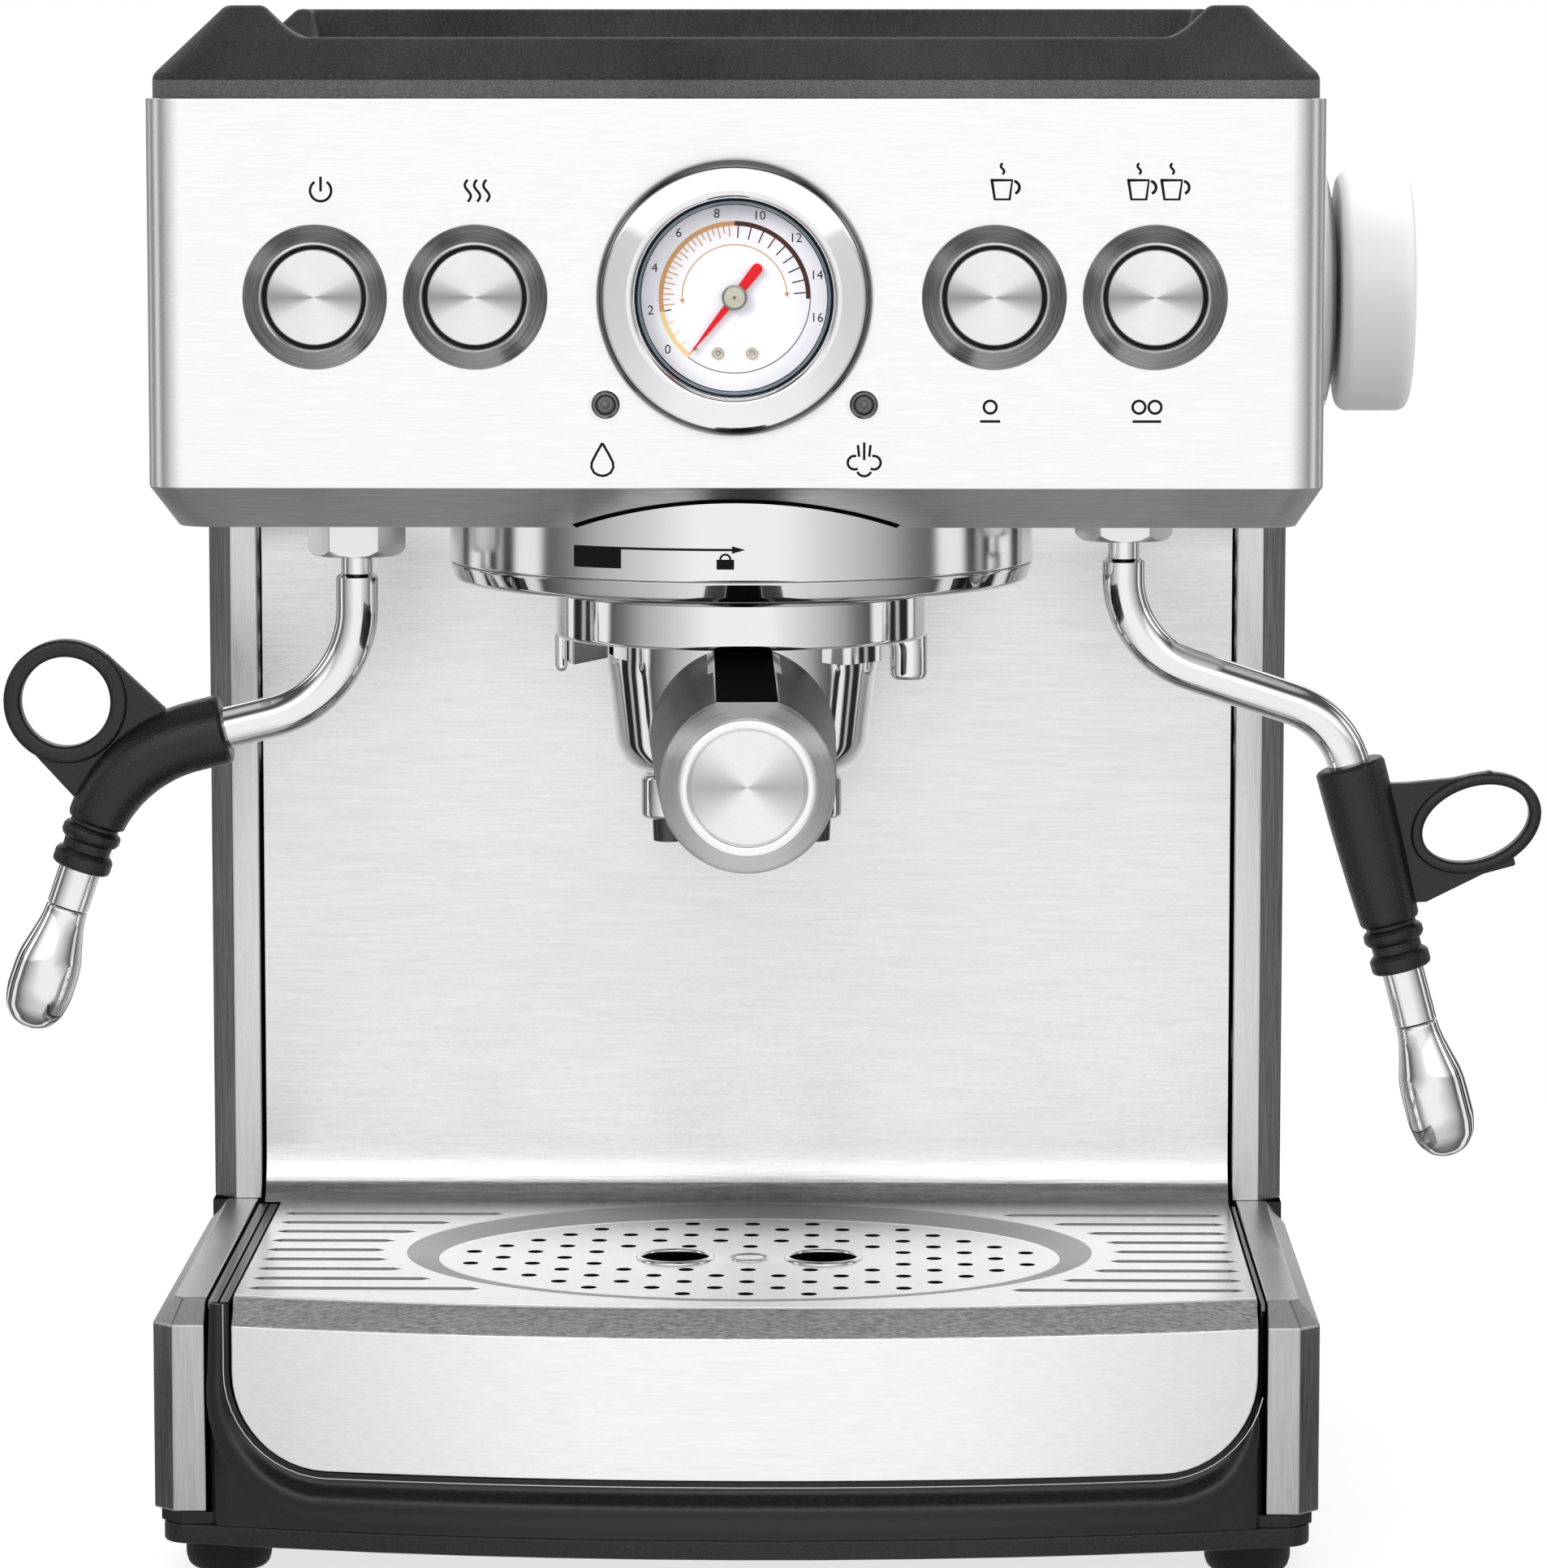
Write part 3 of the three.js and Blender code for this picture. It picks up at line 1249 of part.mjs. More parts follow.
function makeWand(wand) {
  const nutBottom = headBottom - wand.nutDrop;
  const ballZ = nutBottom + nutLip + fit + seatDepth;
  const seat = carrier(wand.side * wandOffset, wandSetback, ballZ);

  const cornerRadius = nutAcross / Math.sqrt(3);
  const hex = [];
  for (let i = 0; i < 6; i += 1) {
    hex.push([cornerRadius * Math.cos((i * Math.PI) / 3), cornerRadius * Math.sin((i * Math.PI) / 3)]);
  }
  const low = nutBottom - ballZ;
  const high = headBottom - ballZ;
  const threadTop = Math.max(high + sheet + threadHeight, cavityRadius + 2);
  const crown = turned([
    [0, low], [cornerRadius - 1.6, low], [cornerRadius + 0.1, low + 1.6], [cornerRadius + 0.1, high],
    [0, high],
  ], 18);
  const thread = disc(threadRadius, high - 0.5, threadTop, 14);
  const shell = join(upright(polygon(hex), low, high).intersect(crown), thread);
  const cavity = turned([
    [0, low - 1], [mouthRadius, low - 1], [mouthRadius, low + nutLip], [cavityRadius, low + nutLip],
    [cavityRadius, cavityRadius], [3, cavityRadius], [3, threadTop + 1], [0, threadTop + 1],
  ], 14);
  part(`wand_nut_${wand.name}`, cut(shell, cavity), 'chrome', seat);

  const bowl = [[cavityRadius - fit, -seatDepth], [cavityRadius - fit, 0]];
  for (let i = 0; i <= 3; i += 1) {
    const z = -seatDepth * (i / 3);
    bowl.push([Math.sqrt(seatRadius ** 2 - z ** 2), z]);
  }
  part(`ball_seat_${wand.name}`, turned(bowl, 14), 'gasket', seat);

  const corners = wand.route.map(([x, z]) => new THREE.Vector3(wand.side * x, 0, z));
  const path = bentPath(corners, wand.bends);
  const ball = solid(new THREE.SphereGeometry(ballRadius, 10, 5).rotateX(Math.PI / 2));
  const stem = disc(wandStem, corners[0].z - 1, -ballRadius + 1.5, 10);
  const tube = tubeAlong(path, wandRadius, tubeSteps, 8);
  part(`wand_tube_${wand.name}`, join(ball, stem, tube), 'chrome', seat);

  const bore = tubeAlong(path, wandRadius + fit, tubeSteps, 8);
  const stations = gripStations(wand.gripStart, wand.gripLength, wand.gripTop, wand.gripFoot);
  const grip = swollen(path, stations, 10);
  part(`wand_grip_${wand.name}`, cut(join(grip, fingerRing(wand)), bore), 'satinBlack', seat);

  // The nozzle hangs in line with the tube's end and turns with it.
  const tip = path.getPointAt(1);
  const along = path.getTangentAt(1);
  const r = wandRadius;
  const nozzle = part(`wand_nozzle_${wand.name}`, turned([
    [0, 0], [r, 0], [r, -2], [r + 0.6, -6], [nozzleRadius - 1, -13], [nozzleRadius, -18],
    [nozzleRadius, -wand.nozzleLength + 9], [nozzleRadius - 1, -wand.nozzleLength + 4.4],
    [nozzleRadius - 3.6, -wand.nozzleLength + 1.2], [1.2, -wand.nozzleLength], [0, -wand.nozzleLength],
  ], 14), 'chrome', seat);
  nozzle.position.copy(tip).addScaledVector(along, fit);
  nozzle.rotation.y = Math.atan2(-along.x, -along.z);
}

// Routes, rings and webs are (outward, up) from the middle of the ball.
const wands = [
  {
    name: 'left',
    side: -1,
    nutDrop: 10,
    route: [[0, -11.3], [0, -41.8], [59.8, -56.6], [72.6, -94.2]],
    bends: [28, 36],
    gripStart: 62,
    gripLength: 50,
    gripTop: 8.6,
    gripFoot: 7.3,
    nozzleLength: 32,
    ring: {
      centre: [72.4, -43.2],
      hole: [11.1, 11.1],
      tilt: 0,
      rim: 4.3,
      web: [
        [62.4, -31.3], [46.4, -46.3], [51.4, -54.8], [62.4, -66.8], [69.3, -68.3], [84.9, -51.3],
      ],
    },
  },
  {
    name: 'right',
    side: 1,
    nutDrop: 6,
    route: [[0, -11.3], [0, -33.4], [53.1, -51.1], [73.3, -126.6]],
    bends: [24, 22],
    gripStart: 83,
    gripLength: 53,
    gripTop: 8.7,
    gripFoot: 7.4,
    nozzleLength: 34.5,
    ring: {
      centre: [87.4, -76.9],
      hole: [13.6, 9],
      tilt: 20,
      rim: 3.2,
      web: [
        [63.4, -67.1], [70.4, -66.9], [81.4, -65.8], [91.4, -63.8],
        [97.4, -87.3], [89.4, -89.5], [75.4, -96.5], [69.4, -96.8],
      ],
    },
  },
];

// ---------------------------------------------------------------------------
// Drip tray: moulded tray, bowed steel front, perforated dished plate
// ---------------------------------------------------------------------------

const trayBack = trayDepth;
const plateBottom = plateZ - plateThick;
const trayRim = plateBottom;

// The tray's front stands upright, then leans back at 45 degrees under the band.
function trayShell(grow, back, bottom, top, half) {
  const lead = fasciaLead - grow;
  const kneeZ = fasciaTop - fasciaBand + grow * 0.41;
  const outline = (shift) => bowed(half, lead + shift, back, 0);
  return loft([
    ringOf(outline(0), bottom, 8),
    ringOf(outline(0), kneeZ, 8),
    ringOf(outline(top - kneeZ), top, 8),
  ]);
}

function makeTray() {
  const place = carrier(trayShift, 0, 0);
  const sheetBack = -sheet - fit;
  const outside = trayShell(sheetBack, trayBack, fasciaBottom, trayRim, fasciaHalf);
  const section = acrossDepth(trough(0, headTop), -3 * bowLead, trayBack + 1);
  const inside = trayShell(
    sheetBack - moulding, trayBack - moulding, fasciaBottom + moulding, trayRim + 1, fasciaHalf - moulding,
  );
  const innerSection = acrossDepth(trough(-moulding, headTop), -3 * bowLead, trayBack);
  const shell = cut(outside.intersect(section), inside.intersect(innerSection));
  part('drip_tray', shell, 'satinBlack', place);

  const skin = trayShell(0, 0.75 * frontDepth, fasciaBottom, fasciaTop, fasciaHalf);
  const behind = trayShell(-sheet, frontDepth, fasciaBottom - 1, fasciaTop + 1, fasciaHalf + 1);
  part('tray_front', cut(skin, behind).intersect(section), 'brushedSteel', place);
}

// Drain holes stand on a staggered lattice over the dish's floor, clear of its finger holes.
function drainPlaces(middleY) {
  const places = [];
  const columns = Math.floor(dishFloorHalfWidth / drainPitch);
  for (let i = -columns; i <= columns; i += 1) {
    for (let j = -10; j <= 10; j += 1) {
      const [x, y] = [i * drainPitch, j * drainRowPitch];
      const staggered = (i + j) % 2 === 0;
      const margin = (x / (dishFloorHalfWidth - drainRadius)) ** 2
        + (y / (dishFloorHalfDepth - drainRadius)) ** 2;
      const nearFinger = Math.hypot(Math.abs(x) - fingerHoleOffset, y) < fingerHoleRadius + drainRim;
      const nearDimple = Math.hypot(x, y) < dimpleRadius + drainRim;
      if (staggered && margin < 0.97 && !nearFinger && !nearDimple) places.push([x, middleY + y]);
    }
  }
  return places;
}

function makePlate() {
  const lead = fasciaLead + fasciaBand + sheet * 1.5 + fit;
  const outline = bowed(fasciaHalf, lead, trayBack, 0);
  const middleY = (lead + trayBack) / 2;
  const oval = (halfX, halfY, z) => ringOf(ellipse(0, middleY, halfX, halfY), z, 20);
  const wide = [dishHalfWidth, dishHalfDepth];
  const flat = [dishFloorHalfWidth, dishFloorHalfDepth];
  const floorTop = plateZ - dishDepth;
  const under = loft([
    oval(flat[0] + 1, flat[1] + 1, floorTop - plateThick),
    oval(wide[0] + 1, wide[1] + 1, plateZ - plateThick / 2),
  ]);
  const dish = loft([
    oval(...flat, floorTop), oval(...wide, plateZ), oval(wide[0] + 2, wide[1] + 2, plateZ + 1),
  ]);
  let body = cut(join(upright(outline, plateBottom, plateZ, 8), under), dish);
  [-1, 1].forEach((side) => {
    const rimRing = turned([
      [fingerHoleRadius - 1, 0], [fingerHoleRadius + 1.2, 0], [fingerHoleRadius + 0.4, 1],
      [fingerHoleRadius - 1, 1],
    ], 18).translate([side * fingerHoleOffset, middleY, floorTop - 0.1]);
    const hole = disc(fingerHoleRadius - 0.5, floorTop - 3, plateZ + 1, 18);
    body = cut(join(body, rimRing), hole.translate([side * fingerHoleOffset, middleY, 0]));
  });
  const dimple = turned([
    [0, -0.7], [dimpleRadius - 1.6, -0.6], [dimpleRadius, 0.1], [dimpleRadius, 1], [0, 1],
  ], 12);
  body = cut(body, dimple.translate([0, middleY, floorTop]));
  const drains = drainPlaces(middleY).map(([x, y]) => (
    disc(drainRadius, floorTop - 3, floorTop + 1, 5).translate([x, y, 0])
  ));
  const grooves = [];
  for (let i = 0; i < grooveCount; i += 1) {
    const y = middleY + (i - (grooveCount - 1) / 2) * groovePitch;
    const reach = Math.abs(y - middleY) / (dishHalfDepth + grooveMargin);
    const start = (dishHalfWidth + grooveMargin) * Math.sqrt(Math.max(1 - reach ** 2, 0.3));
    const end = fasciaHalf - grooveEdge;
    const half = grooveWidth / 2;
    const slot = polygon([
      [start, y], [start + half, y - half], [end - half, y - half],
      [end, y], [end - half, y + half], [start + half, y + half],
    ]);
    const right = upright(slot, plateZ - grooveDepth, plateZ + 1);
    grooves.push(right, mirrored(right));
  }
  body = cut(body, wasm.Manifold.union(drains), wasm.Manifold.union(grooves));
  part('tray_plate', body, 'brushedSteel', carrier(trayShift, 0, 0));
}

// ---------------------------------------------------------------------------
// Water tank and its hinged lid, behind the column
// ---------------------------------------------------------------------------

const tankFront = bodyDepth + slack;
const tankBack = rearY - hingeReach;
const tankBottom = panTop + shelfHeight;
const tankTop = headTop - tankTopDrop - tankLidThick;
const valveSetback = (tankFront + tankBack) / 2;

function makeTank() {
  const plan = rounded(-tankHalfWidth, tankHalfWidth, tankFront, tankBack, tankCorner);
  const outside = upright(plan, tankBottom, tankTop, 3);
  const inside = rounded(
    -tankHalfWidth + tankWall, tankHalfWidth - tankWall, tankFront + tankWall, tankBack - tankWall,
    tankCorner - tankWall,
  );
  const hollow = upright(inside, tankBottom + tankWall, tankTop + 1, 3);
  const valve = disc(valveRadius, tankBottom - valveHeight, tankBottom + 1, 16)
    .translate([0, valveSetback, 0]);
  const axisZ = tankTop + tankLidThick / 2;
  const axisY = tankBack + hingeReach / 2;
  let body = cut(join(outside, valve), hollow);
  [-1, 1].forEach((side) => {
    const near = side * (lidKnuckleHalf + fit);
    const far = side * (lidKnuckleHalf + fit + lidEar);
    const [left, right] = [Math.min(near, far), Math.max(near, far)];
    const bracket = block(
      left, right, tankBack - tankWall / 2, tankBack + hingeReach,
      tankTop - 3 * hingeReach, axisZ,
    );
    const barrel = turnedSide([
      [0, left], [hingeReach / 2, left], [hingeReach / 2, right], [0, right],
    ], 12);
    const ear = join(bracket, barrel.translate([0, axisY, axisZ]));
    const clear = block(
      left - 1, right + 1, tankBack - tankWall, tankBack,
      tankTop, axisZ + hingeReach,
    );
    body = join(body, cut(ear, clear));
  });
  const pinEnd = lidKnuckleHalf + lidEar;
  const pinBore = hingePin + fit;
  const pinHole = turnedSide([
    [0, -pinEnd], [pinBore, -pinEnd], [pinBore, pinEnd], [0, pinEnd],
  ], 12).translate([0, axisY, axisZ]);
  part('water_tank', cut(body, pinHole), 'tankSmoke');

  const lidPlan = rounded(-tankHalfWidth, tankHalfWidth, tankFront, tankBack - fit, tankCorner);
  const lid = upright(lidPlan, tankTop, tankTop + tankLidThick, 3);
  const leaf = block(-lidKnuckleHalf, lidKnuckleHalf, tankBack - 2, axisY, axisZ - 1, axisZ + 1);
  const knuckle = turnedSide([
    [0, 1 - pinEnd], [hingePin, 1 - pinEnd], [hingePin, -lidKnuckleHalf],
    [hingeReach / 2, -lidKnuckleHalf], [hingeReach / 2, lidKnuckleHalf],
    [hingePin, lidKnuckleHalf], [hingePin, pinEnd - 1], [0, pinEnd - 1],
  ], 12).translate([0, axisY, axisZ]);
  const moved = join(lid, leaf, knuckle).translate([0, -axisY, -axisZ]);
  part('tank_lid', moved, 'satinBlack', carrier(0, axisY, axisZ));
}

// A vibration pump on the housing's floor inside the column.
function makePump() {
  const place = carrier(-pumpOffset, (columnFront + bodyDepth) / 2, pumpFloor);
  const coilBottom = pumpFoot + pumpGap;
  const coilTop = coilBottom + coilHeight;
  const coreTop = coilTop + coreLength;
  const pedestal = block(-pumpRadius, pumpRadius, -pumpRadius, pumpRadius, 0, pumpFoot);
  const coil = block(-pumpRadius, pumpRadius, -pumpRadius, pumpRadius, coilBottom, coilTop);
  const core = disc(pumpRadius * 0.6, pumpFoot - 1, coreTop, 24);
  const outlet = disc(pumpRadius * 0.25, coreTop - 1, coreTop + pumpOutlet, 16);
  part('water_pump', join(pedestal, coil, core, outlet), 'satinBlack', place);
}

makePan();
makeFeet();
makeTrims();
makeHousing();
makeColumnSides();
makeSplash();
makeRearCover();
makeHeadShell();
makeTopCover();
makeCupPlate();
makeButtons();
makeLamps();
makeGauge();
makeBoard();
makeKnob();
makeGroup();
makeLockRing();
makePortafilter();
wands.forEach(makeWand);
makeTray();
makePlate();
makeTank();
makePump();

// The origin is the middle of the whole outline on the surface that the feet stand on.
machine.updateMatrixWorld(true);
const bounds = new THREE.Box3().setFromObject(machine, true);
const middle = bounds.getCenter(new THREE.Vector3());
const espressoMachine = new THREE.Group();
machine.position.set(-middle.x, -middle.y, -bounds.min.z);
espressoMachine.add(machine);

export default espressoMachine;
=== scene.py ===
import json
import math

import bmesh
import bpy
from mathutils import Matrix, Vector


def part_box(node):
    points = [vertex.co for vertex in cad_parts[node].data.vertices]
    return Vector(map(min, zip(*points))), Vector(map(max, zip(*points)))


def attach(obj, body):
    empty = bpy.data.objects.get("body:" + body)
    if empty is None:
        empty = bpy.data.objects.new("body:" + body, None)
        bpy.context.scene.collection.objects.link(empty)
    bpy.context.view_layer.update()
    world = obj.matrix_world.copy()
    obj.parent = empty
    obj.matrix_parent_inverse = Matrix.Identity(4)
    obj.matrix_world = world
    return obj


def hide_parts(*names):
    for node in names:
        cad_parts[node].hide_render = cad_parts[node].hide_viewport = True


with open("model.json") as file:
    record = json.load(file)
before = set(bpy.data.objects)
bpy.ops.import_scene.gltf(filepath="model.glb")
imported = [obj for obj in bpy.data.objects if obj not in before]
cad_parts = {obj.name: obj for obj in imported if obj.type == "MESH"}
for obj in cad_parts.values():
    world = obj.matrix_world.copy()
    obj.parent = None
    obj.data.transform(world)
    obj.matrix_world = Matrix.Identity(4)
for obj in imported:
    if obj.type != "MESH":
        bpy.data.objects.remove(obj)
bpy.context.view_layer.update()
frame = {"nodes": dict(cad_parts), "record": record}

# %% [markdown]
# # A pump espresso machine, dressed in Blender
#
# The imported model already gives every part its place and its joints. This lesson gives it
# its looks: rounded edges that catch the light, round parts that are truly round, printed
# marks, and metal and plastic that are made of patterns instead of one flat colour. All
# lengths below are in millimetres from the middle of the head's front face, on the surface
# that the feet stand on, because that is how a maker would measure the machine.

shell_low, shell_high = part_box("head_shell")
origin = Vector(((shell_low.x + shell_high.x) / 2, shell_low.y, 0.0))
to_frame = Matrix.Translation(origin) @ Matrix.Scale(0.001, 4)
to_machine = to_frame.inverted()


def span(node):
    """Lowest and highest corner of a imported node, in the machine's millimetres."""
    low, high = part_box(node)
    return to_machine @ low, to_machine @ high


def middle(node):
    low, high = span(node)
    return (low + high) / 2


def placed(name, data):
    """A new object in the scene that holds the data."""
    made = bpy.data.objects.new(name, data)
    bpy.context.scene.collection.objects.link(made)
    return made


head_low, head_high = span("head_shell")
control = middle("gauge_bezel")
group = Vector((0.0, middle("group_gasket").y, 0.0))
print("head from", head_low[:], "to", head_high[:])
print("controls at height", round(control.z, 1), "group centre at depth", round(group.y, 1))

# %% [markdown]
# ## The camera
#
# The machine is seen from far away through a long lens, so its sides hardly converge. The
# camera stands a little right of the middle, at the height of the head's top, and looks down
# by about six and a half degrees.

# %% The camera
DOWN, LEFT = math.radians(6.546059), math.radians(0.867998)
STAND = Vector((32.5, -1538.0, 372.6))
SENSOR_WIDTH, LENS = 36.0, 149.0683
aim = Vector(
    (-math.sin(LEFT) * math.cos(DOWN), math.cos(LEFT) * math.cos(DOWN), -math.sin(DOWN))
)
camera = placed("camera", bpy.data.cameras.new("camera"))
camera.location = to_frame @ STAND
camera.rotation_euler = aim.to_track_quat("-Z", "Y").to_euler()
camera.data.sensor_width, camera.data.lens = SENSOR_WIDTH, LENS
camera.data.clip_start, camera.data.clip_end = 0.05, 50.0
bpy.context.scene.camera = camera
print("lens", round(camera.data.lens, 1), "mm, camera at", camera.location[:])

# %% [markdown]
# ## Tools for making pieces
#
# Most parts of the machine are turned, pressed from sheet or moulded. A turned part is a
# profile spun round an axis, a pressed one is an outline given depth, and a moulded or bent
# one is a row of rings bridged into a skin. Each tool below is one of those three, and the
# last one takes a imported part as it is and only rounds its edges. Rounding matters more
# than it seems: a real edge is never perfectly sharp, and the thin bright line on it is
# what makes metal look like metal.

# %% Finishing a mesh as a piece
AXES = {"X": Vector((1, 0, 0)), "Y": Vector((0, 1, 0)), "Z": Vector((0, 0, 1))}
CLOSE = 1e-3  # points nearer than this are one point
body_of_node = {
    node: body for body, nodes in frame["record"]["behaviour"]["bodies"].items() for node in nodes
}


def worked(piece):
    """The object as its modifiers leave it."""
    bpy.context.view_layer.update()
    return piece.evaluated_get(bpy.context.evaluated_depsgraph_get())


def settle(shape, name, node, finish, crease=30.0, replace=True):
    """Make the bmesh a piece that rides with the node's body, and let it stand for the node."""
    bmesh.ops.remove_doubles(shape, verts=shape.verts, dist=CLOSE)
    bmesh.ops.recalc_face_normals(shape, faces=shape.faces)
    shape.transform(to_frame)
    mesh = bpy.data.meshes.new(name)
    shape.to_mesh(mesh)
    shape.free()
    mesh.shade_smooth()
    mesh.set_sharp_from_angle(angle=math.radians(crease))
    mesh.materials.append(finish)
    piece = placed(name, mesh)
    flat_first = piece.modifiers.new("flat_first", "WEIGHTED_NORMAL")
    flat_first.mode, flat_first.weight, flat_first.keep_sharp = "FACE_AREA", 100, True
    piece.data = bpy.data.meshes.new_from_object(worked(piece))
    piece.modifiers.clear()
    bpy.data.meshes.remove(mesh)
    piece.data.name = name
    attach(piece, body_of_node[node])
    if replace:
        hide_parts(node)
    print(f"{name}: {len(piece.data.polygons)} faces")
    return piece


def repaint(piece, finish, chosen):
    """Give another finish to the faces that the test picks by their place and direction."""
    piece.data.materials.append(finish)
    picked = [f for f in piece.data.polygons if chosen(to_machine @ f.center, f.normal)]
    for face in picked:
        face.material_index = len(piece.data.materials) - 1
    print(f"{piece.name}: {len(picked)} faces in {finish.name}")


def keep(node, finish):
    """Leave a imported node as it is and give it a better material."""
    mesh = frame["nodes"][node].data
    mesh.materials.clear()
    mesh.materials.append(finish)
    print(f"{node}: kept")


# %% Rounding, moving and turning
def soften(shape, width, segments=2, angle=26.0):
    """Bevel every edge whose faces meet at more than the angle."""
    bmesh.ops.recalc_face_normals(shape, faces=shape.faces)
    limit = math.radians(angle)
    sharp = [e for e in shape.edges if e.is_manifold and e.calc_face_angle(0.0) > limit]
    bmesh.ops.bevel(
        shape, geom=sharp, offset=width, segments=segments, profile=0.5,
        affect="EDGES", material=-1, clamp_overlap=True,
    )
    return shape


def moved(shape, by):
    bmesh.ops.translate(shape, vec=by, verts=shape.verts)
    return shape


def swung(shape, degrees, axis, about=(0, 0, 0)):
    """Turn the shape about the axis through a point."""
    matrix = Matrix.Rotation(math.radians(degrees), 3, axis)
    bmesh.ops.rotate(shape, cent=about, matrix=matrix, verts=shape.verts)
    return shape


def eased(points, radius, steps=4, closed=False):
    """The same run of points with its corners rounded."""
    run = []
    for i, point in enumerate(points):
        here = Vector(point)
        if not closed and i in (0, len(points) - 1):
            run.append(tuple(here))
            continue
        before = Vector(points[i - 1]) - here
        after = Vector(points[(i + 1) % len(points)]) - here
        reach = min(radius, before.length * 0.45, after.length * 0.45)
        start, end = here + before.normalized() * reach, here + after.normalized() * reach
        for k in range(steps + 1):
            t = k / steps
            run.append(tuple(start * (1 - t) ** 2 + here * 2 * t * (1 - t) + end * t * t))
    return run


def arc_points(half_x, half_y, count, start=0.0, end=360.0):
    """Points evenly spaced on a round or oval arc, with both its ends."""
    turns = (math.radians(start + (end - start) * i / count) for i in range(count + 1))
    return [(half_x * math.cos(t), half_y * math.sin(t)) for t in turns]


# %% Turning, pressing and bridging
SEAT = {  # where a profile's (radius, along) point lies before it is spun
    "X": lambda r, h: (h, 0, r), "Y": lambda r, h: (r, h, 0), "Z": lambda r, h: (r, 0, h),
}


def turned(profile, axis="Z", centre=(0, 0, 0), steps=96):
    """Spin a (radius, along) profile round the axis. One that starts off it is a ring."""
    shape = bmesh.new()
    verts = [shape.verts.new(SEAT[axis](r, h)) for r, h in profile]
    edges = [shape.edges.new(pair) for pair in zip(verts, verts[1:])]
    if profile[0][0] > 1e-6:
        edges.append(shape.edges.new((verts[-1], verts[0])))
    bmesh.ops.spin(
        shape, geom=verts + edges, cent=(0, 0, 0), axis=AXES[axis],
        angle=2 * math.pi, steps=steps, use_merge=True,
    )
    bmesh.ops.remove_doubles(shape, verts=shape.verts, dist=CLOSE / 10)
    return moved(shape, centre)


def pressed(outline, axis, low, high, soft=0.0, segments=2):
    """Give a closed outline depth along the axis, then round its edges."""
    flat = {
        "X": lambda a, b: (low, a, b), "Y": lambda a, b: (a, low, b), "Z": lambda a, b: (a, b, low),
    }
    shape = bmesh.new()
    face = shape.faces.new([shape.verts.new(flat[axis](a, b)) for a, b in outline])
    grown = bmesh.ops.extrude_face_region(shape, geom=[face])["geom"]
    far_side = [v for v in grown if isinstance(v, bmesh.types.BMVert)]
    bmesh.ops.translate(shape, vec=AXES[axis] * (high - low), verts=far_side)
    if soft:
        soften(shape, soft, segments)
    return shape


def bridged(rings, ends=True):
    """Skin a row of closed rings of points, and close both ends."""
    shape = bmesh.new()
    loops = []
    for ring in rings:
        verts = [shape.verts.new(p) for p in ring]
        loops.append([shape.edges.new((verts[i - 1], verts[i])) for i in range(len(verts))])
    for lower, upper in zip(loops, loops[1:]):
        bmesh.ops.bridge_loops(shape, edges=lower + upper)
    if ends:
        bmesh.ops.contextual_create(shape, geom=loops[0])
        bmesh.ops.contextual_create(shape, geom=loops[-1])
    return shape


def together(first, *others):
    """Several closed shapes as one mesh."""
    for other in others:
        carry = bpy.data.meshes.new("carry")
        other.to_mesh(carry)
        other.free()
        first.from_mesh(carry)
        bpy.data.meshes.remove(carry)
    return first


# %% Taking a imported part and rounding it
def refined(node, soft=0.5, segments=2, angle=26.0):
    """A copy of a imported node, its triangles merged into flat faces and its edges rounded."""
    shape = bmesh.new()
    shape.from_mesh(frame["nodes"][node].data)
    shape.transform(to_machine)
    bmesh.ops.remove_doubles(shape, verts=shape.verts, dist=CLOSE)
    bmesh.ops.dissolve_limit(
        shape, angle_limit=math.radians(0.6), verts=shape.verts, edges=shape.edges,
    )
    if soft:
        soften(shape, soft, segments, angle)
    return shape


# %% [markdown]
# ## Patterns that several finishes share
#
# Brushed steel is covered with fine scratches that all run one way. A turned steel cap has
# the same scratches running in circles. Moulded plastic has a fine grain, and every handled
# surface has faint clouds where it is a little less shiny. Each of these is one node group
# with its own inputs, so a finish can use it at its own size and depth.

# %% Small helpers for nodes
def add(tree, kind, **settings):
    made = tree.nodes.new(kind)
    for key, value in settings.items():
        setattr(made, key, value)
    return made


def feed(tree, target, source):
    if isinstance(source, bpy.types.NodeSocket):
        tree.links.new(source, target)
    else:
        target.default_value = source


def work(tree, operation, *values):
    made = add(tree, "ShaderNodeMath", operation=operation)
    for socket, value in zip(made.inputs, values):
        feed(tree, socket, value)
    return made.outputs[0]


def noise(tree, vector, scale, detail=3.0, roughness=0.6):
    made = add(tree, "ShaderNodeTexNoise")
    feed(tree, made.inputs["Vector"], vector)
    feed(tree, made.inputs["Scale"], scale)
    made.inputs["Detail"].default_value = detail
    made.inputs["Roughness"].default_value = roughness
    return made.outputs["Fac"]


def bump(tree, height, strength, distance):
    made = add(tree, "ShaderNodeBump")
    for label, value in (("Height", height), ("Strength", strength), ("Distance", distance)):
        feed(tree, made.inputs[label], value)
    return made.outputs["Normal"]


def far_off(tree, across, away):
    """The distance from an axis, from the distances along the two others."""
    squares = (work(tree, "POWER", across, 2.0), work(tree, "POWER", away, 2.0))
    return work(tree, "SQRT", work(tree, "ADD", *squares))


